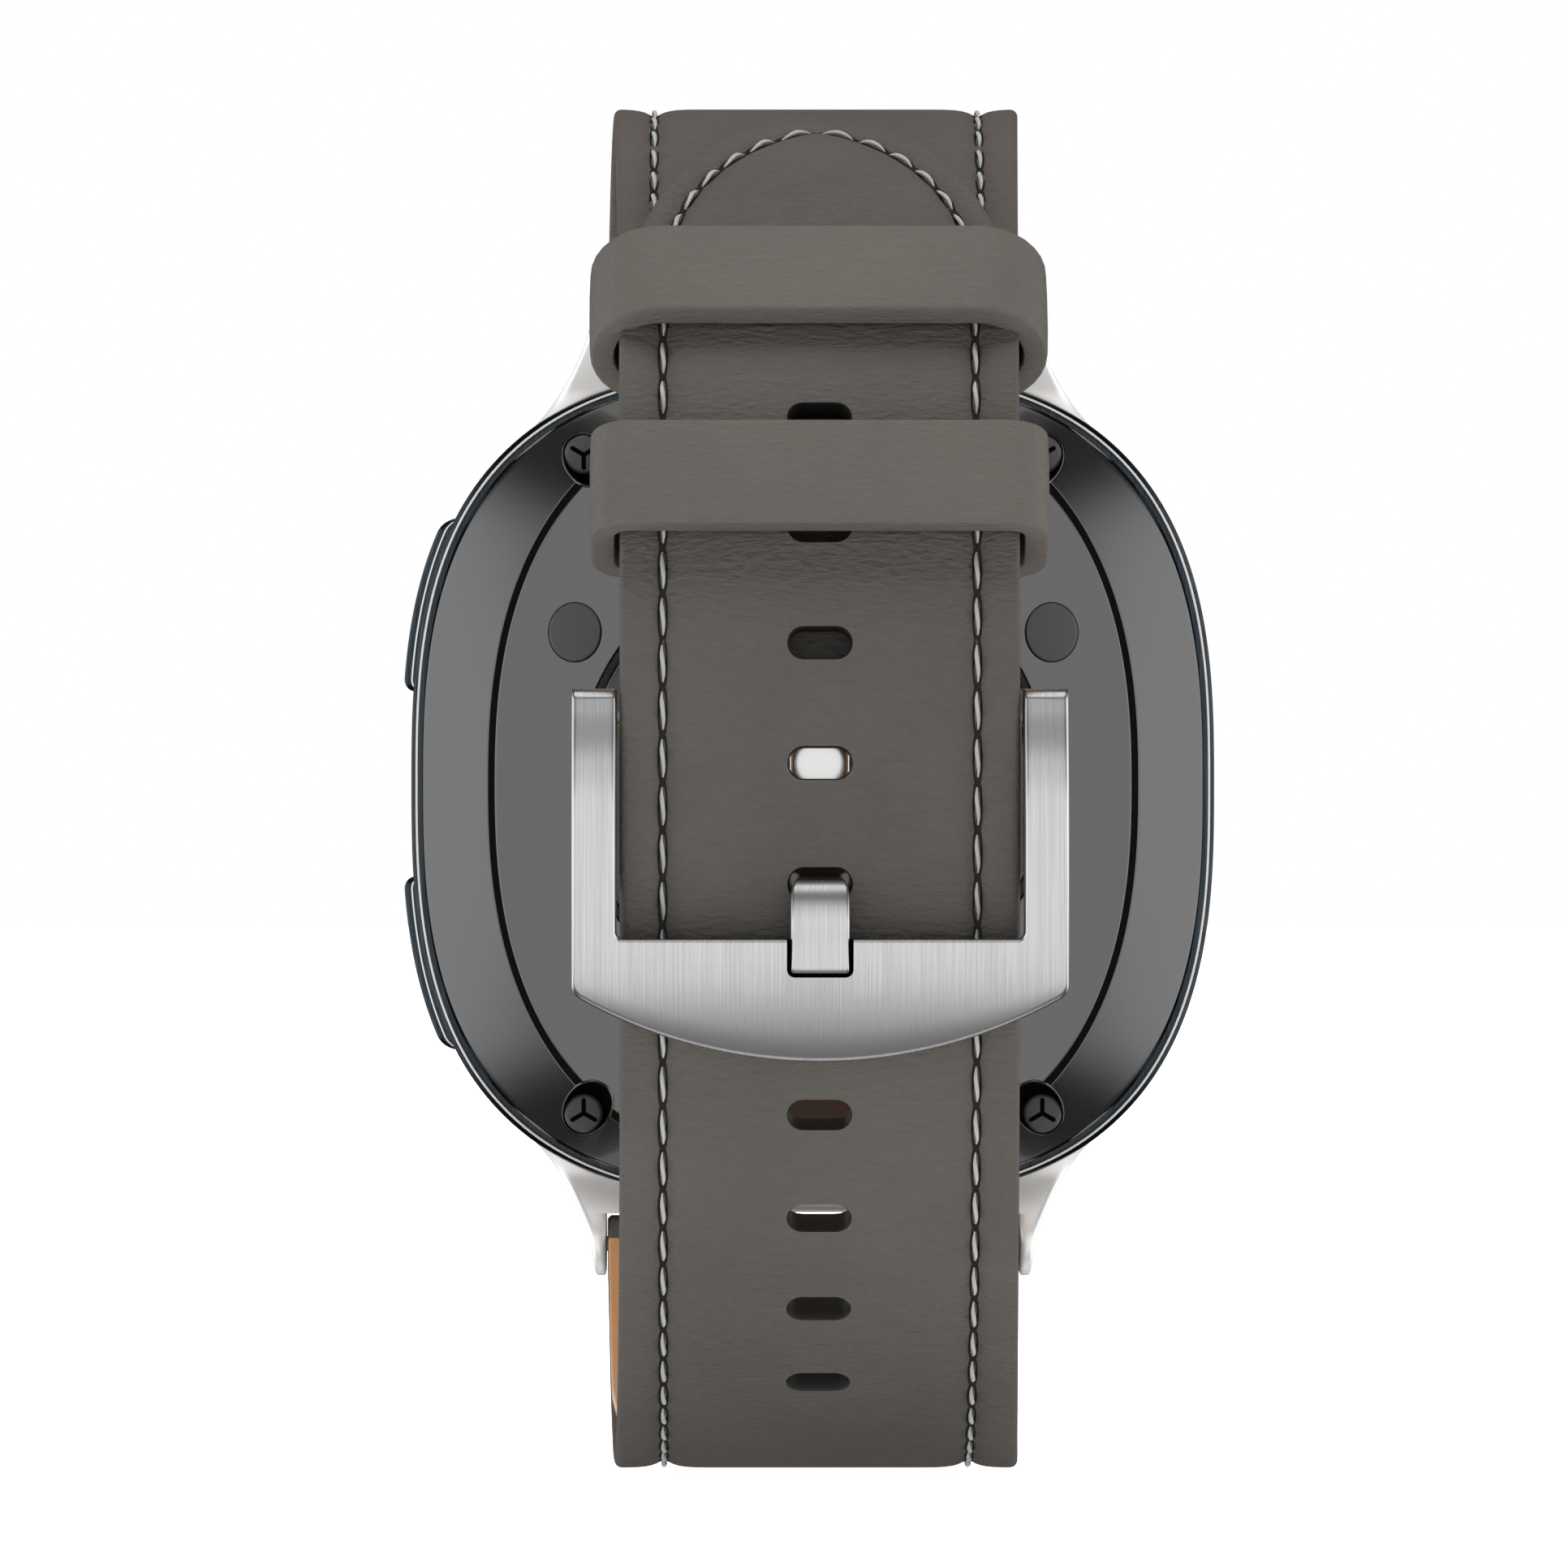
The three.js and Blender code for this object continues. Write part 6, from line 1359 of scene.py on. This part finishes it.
def stitch_frames(path, normals):
    """Even steps along a seam, as a function from arc length to point, normal and direction."""
    length = np.concatenate([[0], np.cumsum(np.linalg.norm(np.diff(path, axis=0), axis=1))])

    def at(s):
        point = np.stack([np.interp(s, length, path[:, k]) for k in range(3)], -1)
        normal = np.stack([np.interp(s, length, normals[:, k]) for k in range(3)], -1)
        ahead = np.stack([np.interp(s + 0.05, length, path[:, k]) for k in range(3)], -1)
        behind = np.stack([np.interp(s - 0.05, length, path[:, k]) for k in range(3)], -1)
        along = ahead - behind
        along /= np.maximum(np.linalg.norm(along, axis=-1, keepdims=True), 1e-9)
        normal /= np.linalg.norm(normal, axis=-1, keepdims=True)
        return point, normal, along

    return at, length[-1]


def relief_at(distance):
    """How deep the seam pulls the leather down at a distance from it."""
    return (SEAM_DIP * np.exp(-(distance / SEAM_DIP_WIDTH) ** 2)
            + SEAM_CREASE * np.exp(-(distance / SEAM_CREASE_WIDTH) ** 2))


def sew(shape, path, normals, bedded):
    """Adds a row of two-ply stitches along a seam, and a near-black ribbon under them that is painted shade
    round the thread.
    """
    at, length = stitch_frames(path, normals)
    count = max(int(length / STITCH_PITCH), 1)
    pitch = length / count
    t = np.linspace(0, 1, THREAD_STEPS)
    around = np.linspace(0, 2 * math.pi, THREAD_SIDES, endpoint=False)
    swell = np.sin(math.pi * np.clip(t, 0.03, 0.97)) ** 0.5
    sink = float(relief_at(0.0)) if bedded else 0.0
    for i in range(count):
        s = (i + 0.1 + 0.8 * t) * pitch
        point, normal, along = at(s)
        side = np.cross(along, normal)
        spine = point + normal * (STITCH_RADIUS * (1.1 * swell - 0.1) - sink)[:, None]
        for ply in range(2):
            angle = 2 * math.pi * PLY_TURNS * t + ply * math.pi
            centre = spine + (STITCH_RADIUS * 0.42 * swell)[:, None] * (
                np.cos(angle)[:, None] * side + np.sin(angle)[:, None] * normal)
            radius = STITCH_RADIUS * 0.62 * swell
            rings = centre[:, None] + radius[:, None, None] * (
                np.cos(around)[None, :, None] * side[:, None] + np.sin(around)[None, :, None] * normal[:, None])
            # The first ply takes the light thread of painted highlight, the second the dark thread of painted
            # shade
            shape.loft(rings, finish=ply)
    # The ribbon of painted shade, widest at each stitch's middle
    steps = np.linspace(0, length, count * 10 + 1)
    point, normal, along = at(steps)
    side = np.cross(along, normal)
    wave = np.abs(np.sin(math.pi * steps / pitch)) ** 0.6
    reach = STITCH_RADIUS * (0.8 + 0.5 * wave)
    columns = []
    for share in (-1, -0.66, -0.33, 0, 0.33, 0.66, 1):
        distance = reach * share
        depth = relief_at(distance) if bedded else 0.0 * distance
        columns.append(point + side * distance[:, None] + normal * (0.025 - depth)[:, None])
    for left, right in zip(columns[:-1], columns[1:]):
        shape.strip(left, right, finish=2)


def flat_to_loop(line, top):
    """Points and normals in space of a line on the flattened strap, X and arc length, at a depth."""
    degrees = angle_at(line[:, 1])
    yz = loop_point(degrees, top(degrees))
    normal = loop_normal(degrees)
    return (np.stack([line[:, 0], yz[:, 0], yz[:, 1]], 1),
            np.stack([np.zeros(len(line)), normal[:, 0], normal[:, 1]], 1))


def stitching():
    """The visible seams of both halves, on the leather and on the lining."""
    materials = [THREAD_PAINTED_HIGHLIGHT, THREAD_PAINTED_SHADE, SEAM_SHADE]
    outer = Shape()
    path, normals = flat_to_loop(seam_line(LONG_STITCH_X, True), np.zeros_like)
    sew(outer, path, normals, True)
    short_end = float(arc_at(SHORT_SEAM_FROM))
    for sign in (1, -1):
        line = seam_line(SHORT_STITCH_X, False)
        line = line[line[:, 1] > short_end] * np.array([sign, 1])
        path, normals = flat_to_loop(line, short_depth)
        sew(outer, path, normals, True)
    placed(outer.object("outer_stitching", materials, 60), "watch", "leather")
    inner = Shape()
    for stitch_x, top, keep in (
        (LONG_STITCH_X, long_thickness, lambda arc: (arc > 6) & (arc < TIP_START_ARC)),
        (
            SHORT_STITCH_X, lambda degrees: short_depth(degrees) + STRAP_THICKNESS,
            lambda arc: arc > short_end,
        ),
    ):
        for sign in (1, -1):
            line = seam_line(stitch_x, False)
            line = line[keep(line[:, 1])] * np.array([sign, 1])
            path, normals = flat_to_loop(line, top)
            sew(inner, path, -normals, False)
    placed(inner.object("inner_stitching", materials, 60), "watch", "lining")


# ---------- keepers ----------

FIXED_KEEPER_CORNER = 2.0
FREE_KEEPER_CORNER = 3.6

def keeper(name, node, body, corner):
    """A leather loop round both straps, folded flat, with rounded corners and eased edges."""
    degrees, width = KEEPER_PLACES[node]
    half = float(strap_half_width(loop_point(degrees, 0.0)[0])) + KEEPER_SIDE_GAP
    top, bottom = LAYER_GAP, -(SHORT_DEPTH + STRAP_THICKNESS + LAYER_GAP)
    inner_corner = corner - KEEPER_LEATHER
    path, normals = [], []
    quarter = np.linspace(0, math.pi / 2, 9)
    for cx, cy, start in ((1, 1, 0), (-1, 1, 1), (-1, -1, 2), (1, -1, 3)):
        centre = np.array([
            cx * (half - inner_corner), (top - inner_corner) if cy > 0 else (bottom + inner_corner),
        ])
        angle = quarter + start * math.pi / 2
        direction = np.stack([np.cos(angle), np.sin(angle)], 1)
        path.extend(centre + direction * inner_corner)
        normals.extend(direction)
    path, normals = np.array(path), np.array(normals)
    bulge = 0.04
    corners = []
    for out, along, reach in (
        (0, -0.5, 0.12), (KEEPER_LEATHER, -0.5, 0.2), (KEEPER_LEATHER + bulge, -0.2, 0),
        (KEEPER_LEATHER + bulge, 0.2, 0), (KEEPER_LEATHER, 0.5, 0.2), (0, 0.5, 0.12),
    ):
        flat = path + normals * (out - bulge)
        corners.append((flat, along * width, reach))
    normal, point = loop_normal(degrees), loop_point(degrees, 0.0)
    tangent = np.array([-normal[1], normal[0]])
    rows = []
    for flat, along, _ in corners:
        yz = point + flat[:, 1:] * normal + along * tangent
        rows.append(np.concatenate([flat[:, :1], yz], 1))
    section = softened(np.array(rows), [reach for _, _, reach in corners], 4)
    shape = Shape()
    shape.loft(section.transpose(1, 0, 2), closed=True)
    piece = shape.object(name, [KEEPER_LEATHER_PAINTED_LIGHT], 50)
    placed(piece, body, "leather", node)
    return piece


KEEPER_PLACES = {
    "fixed_keeper": (loop_angle(15.0), 5.6),
    "free_keeper": (loop_angle(24.95), 5.8),
}

# ---------- buckle ----------


def buckle_sides():
    """The buckle's front and back faces in Y, as lines from the bar's lower edge to the legs' ends."""
    bar_end, bar_top = loop_angle(BUCKLE_BOTTOM_Z) - 2, loop_angle(BUCKLE_INNER_Z)
    face = -LAYER_GAP - BUCKLE_THICKNESS
    front = smooth_line([
        loop_point(bar_end, face + BAR_CROWN),
        loop_point(bar_top - 3, face), loop_point(bar_top + 4, face + 0.15),
        loop_point(-2, face + 0.5), loop_point(2, face + 1.1), loop_point(6, face + 1.9),
    ], 60)
    end_y = loop_point(6, face + 1.9)[0]
    front_end = np.array([
        (end_y - 0.32, BUCKLE_TOP_Z - 0.42), (end_y - 0.6, BUCKLE_TOP_Z - 0.16),
        (end_y - 1.1, BUCKLE_TOP_Z - 0.03), (PIN_CENTRE[0], BUCKLE_TOP_Z),
    ])
    back = smooth_line([
        loop_point(bar_end, -LAYER_GAP), loop_point(bar_top, -LAYER_GAP), loop_point(bar_top + 4, 0.3),
        loop_point(-4, 1.4), loop_point(0, SHORT_DEPTH + 1.2),
    ], 60)
    turn = np.radians(np.linspace(200, 90, 24))
    back_end = PIN_CENTRE + LEG_END_RADIUS * np.stack([np.cos(turn), np.sin(turn)], 1)
    return np.vstack([front, front_end]), np.vstack([back, back_end])


BUCKLE_FRONT, BUCKLE_BACK = buckle_sides()


def face_y(side, z):
    return np.interp(z, side[:, 1], side[:, 0])


def buckle_rails():
    """Matching points in X and Z on the buckle's inner and outer outlines, from mid-bar to a leg's end."""
    sagitta = BUCKLE_CORNER_Z - BUCKLE_BOTTOM_Z
    radius = (BUCKLE_HALF_WIDTH ** 2 + sagitta ** 2) / (2 * sagitta)
    arc_z = BUCKLE_BOTTOM_Z + radius
    fillet, corner = 0.4, 0.45
    bar = np.linspace(0, 1, 40)
    reach = BUCKLE_HALF_WIDTH - corner
    outer_x = bar * reach
    outer_bar = np.stack([outer_x, arc_z - np.sqrt(radius ** 2 - outer_x ** 2)], 1)
    inner_bar = np.stack([bar * (BUCKLE_INNER_HALF_WIDTH - fillet), np.full(40, BUCKLE_INNER_Z)], 1)
    turn = np.linspace(0, math.pi / 2, 12)[1:-1]
    inner_turn = np.stack([
        BUCKLE_INNER_HALF_WIDTH - fillet + fillet * np.sin(turn),
        BUCKLE_INNER_Z + fillet - fillet * np.cos(turn),
    ], 1)
    t = np.linspace(0, 1, 12)[1:-1, None]
    start = outer_bar[-1]
    tip = np.array([BUCKLE_HALF_WIDTH, BUCKLE_CORNER_Z])
    end = tip + np.array([0, corner])
    outer_turn = (1 - t) ** 2 * start + 2 * t * (1 - t) * tip + t * t * end
    leg = np.sin(np.linspace(0, math.pi / 2, 60))
    low_in, low_out = BUCKLE_INNER_Z + fillet, BUCKLE_CORNER_Z + corner
    leg_top = BUCKLE_TOP_Z - 0.002
    inner_leg = np.stack([np.full(60, BUCKLE_INNER_HALF_WIDTH), low_in + leg * (leg_top - low_in)], 1)
    outer_leg = np.stack([np.full(60, BUCKLE_HALF_WIDTH), low_out + leg * (leg_top - low_out)], 1)
    return np.vstack([inner_bar, inner_turn, inner_leg]), np.vstack([outer_bar, outer_turn, outer_leg])


def buckle():
    """The brushed buckle: a curved bar and two legs, with a notch for the tongue and lapped edges."""
    inner, outer = buckle_rails()
    inner = np.vstack([(inner * np.array([-1, 1]))[:0:-1], inner])
    outer = np.vstack([(outer * np.array([-1, 1]))[:0:-1], outer])
    rows, reaches = [], []
    for share, side, reach in (
        (0, BUCKLE_BACK, 0.12), (0, BUCKLE_FRONT, 0.34), (0.25, BUCKLE_FRONT, 0), (0.5, BUCKLE_FRONT, 0),
        (0.75, BUCKLE_FRONT, 0), (1, BUCKLE_FRONT, 0.26), (1, BUCKLE_BACK, 0.12), (0.66, BUCKLE_BACK, 0),
        (0.33, BUCKLE_BACK, 0),
    ):
        xz = inner + (outer - inner) * share
        rows.append(np.stack([xz[:, 0], face_y(side, xz[:, 1]), xz[:, 1]], 1))
        reaches.append(reach)
    section = softened(np.array(rows), reaches, 4)
    shape = Shape()
    shape.loft(section.transpose(1, 0, 2))
    piece = shape.object("buckle", [BRUSHED_STEEL, PAINTED_SHADE_BLACK], 40)
    notch_floor = face_y(BUCKLE_FRONT, BUCKLE_INNER_Z - NOTCH_LENGTH / 2) - NOTCH_DEPTH
    corner = 0.4
    turn = np.linspace(0, math.pi / 2, 6)
    low_right = np.stack([
        NOTCH_HALF_WIDTH - corner + corner * np.sin(turn),
        BUCKLE_INNER_Z - NOTCH_LENGTH + corner - corner * np.cos(turn),
    ], 1)
    outline = np.vstack([
        low_right, [(NOTCH_HALF_WIDTH, BUCKLE_INNER_Z + 2)], [(-NOTCH_HALF_WIDTH, BUCKLE_INNER_Z + 2)],
        (low_right * np.array([-1, 1]))[::-1],
    ])
    # The notch's cut walls take the near-black painted shade
    carve(piece, [prism_y(outline, notch_floor, notch_floor + 6, "notch_cutter", PAINTED_SHADE_BLACK)], 40)
    ease = piece.modifiers.new("eased_edges", "BEVEL")
    ease.width = 0.1 * MM
    ease.segments = 2
    ease.limit_method = "ANGLE"
    ease.angle_limit = math.radians(55)
    placed(piece, "buckle", "brushed_steel", "buckle_frame")
    return notch_floor


def tongue(notch_floor):
    """The tongue: a bent strip from the pin, up through the used hole, and down into the notch."""
    half = TONGUE_THICKNESS / 2
    degrees = loop_angle(USED_HOLE_Z)

    def in_hole(depth, shift):
        return loop_point(degrees, depth) + np.array([0, shift])

    rest_y = notch_floor + half + 0.08
    tip_z = BUCKLE_INNER_Z - NOTCH_LENGTH + 0.22
    spine = smooth_line([
        (PIN_CENTRE[0] - 0.1, PIN_CENTRE[1] - PIN_RADIUS - 0.35),
        (PIN_CENTRE[0] - 0.1, PIN_CENTRE[1] - 3.2),
        in_hole(STRAP_THICKNESS + 1.6, 2.2),
        in_hole(STRAP_THICKNESS + 1.3, 0.2),
        in_hole(STRAP_THICKNESS / 2, -0.13),
        in_hole(-0.4, -0.22),
        (rest_y + 0.1, USED_HOLE_Z - 1.7),
        (rest_y, BUCKLE_INNER_Z - 0.3),
        (rest_y, tip_z),
    ], 90)
    along = np.gradient(spine, axis=0)
    along /= np.linalg.norm(along, axis=1, keepdims=True)
    across = np.stack([-along[:, 1], along[:, 0]], 1)
    near = np.exp(-((spine[:, 0] - in_hole(STRAP_THICKNESS / 2, 0)[0]) / 1.3) ** 4)
    passing = near * (spine[:, 1] < USED_HOLE_Z + 1.2) * (spine[:, 1] > USED_HOLE_Z - 1.2)
    ends = np.linspace(1, 0, 90)
    tip = np.sqrt(1 - (1 - np.clip(ends / 0.02, 0, 1)) ** 2 * 0.5)
    full = TONGUE_HALF_WIDTH + TONGUE_SIDE_SWELL
    wide = full - (full - TONGUE_NECK_HALF_WIDTH) * passing
    corners = []
    for side_x, side_t in ((-1, -1), (1, -1), (1, 1), (-1, 1)):
        yz = spine + across * (half * side_t * tip)[:, None]
        corners.append(np.concatenate([(wide * side_x)[:, None], yz], 1))
    section = softened(np.array(corners), [0.2] * 4, 4)
    rings = section.transpose(1, 0, 2)
    # The neck, behind the strap's outer face, takes the dark oxide finish as painted shade
    neck = np.flatnonzero((spine[:, 1] < USED_HOLE_Z + 2.6) & (spine[:, 0] < in_hole(0, 0)[0] - 0.1))
    first, last = neck[0], neck[-1]
    shape = Shape()
    shape.loft(rings[:first + 1], finish=2)
    shape.loft(rings[first:last + 1], finish=1)
    shape.loft(rings[last:])
    turn = np.linspace(0, 2 * math.pi, 40, endpoint=False)
    eye = []
    bore = PIN_RADIUS + 0.06
    for x, radius in ((-1, TONGUE_EYE_RADIUS), (1, TONGUE_EYE_RADIUS), (1, bore), (-1, bore)):
        eye.append(np.stack([
            np.full(40, x * TONGUE_HALF_WIDTH), PIN_CENTRE[0] + radius * np.cos(turn),
            PIN_CENTRE[1] + radius * np.sin(turn),
        ], 1))
    shape.loft(softened(np.array(eye), [0.15, 0.15, 0.05, 0.05]).transpose(1, 0, 2), closed=True)
    strip = shape.object("tongue_strip", [BRUSHED_STEEL, OXIDE_STEEL_AND_NECK_SHADE, POLISHED_STEEL_AND_PUSHER_HIGHLIGHT], 45)
    placed(strip, "tongue", "brushed_steel", "buckle_tongue")


# ---------- CAD nodes that keep their shape ----------

NODE_FINISHES = {
    "buckle_pin": BRUSHED_STEEL,
    "bar_tube": BRUSHED_STEEL,
    "bar_release": BRUSHED_STEEL,
    "bar_spring": BRUSHED_STEEL,
    "pusher_stem": BRUSHED_STEEL,
    "pusher_clip": BRUSHED_STEEL,
    "o_ring": RUBBER,
    "gasket": RUBBER,
    "seal": RUBBER,
    "flex": POLYIMIDE,
    "board": LAMINATE,
    "battery": FOIL,
    "shield_can": FOIL,
    "vibration_can": FOIL,
    "vibration_mass": FOIL,
    "microphone": FOIL,
}


def finish_cad_nodes():
    for name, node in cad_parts.items():
        finish = next((value for key, value in NODE_FINISHES.items() if key in name), NYLON)
        node.data.materials.clear()
        node.data.materials.append(finish)


# ---------- assembly ----------

finish_cad_nodes()
case_band()
lugs()
rear_cover()
screw_wells()
case_screws()
sensor_parts()
front_parts()
pushers()
long_strap()
short_strap()
stitching()
keeper("stitched_keeper", "fixed_keeper", "watch", FIXED_KEEPER_CORNER)
keeper("sliding_keeper", "free_keeper", "free_keeper", FREE_KEEPER_CORNER)
tongue(buckle())
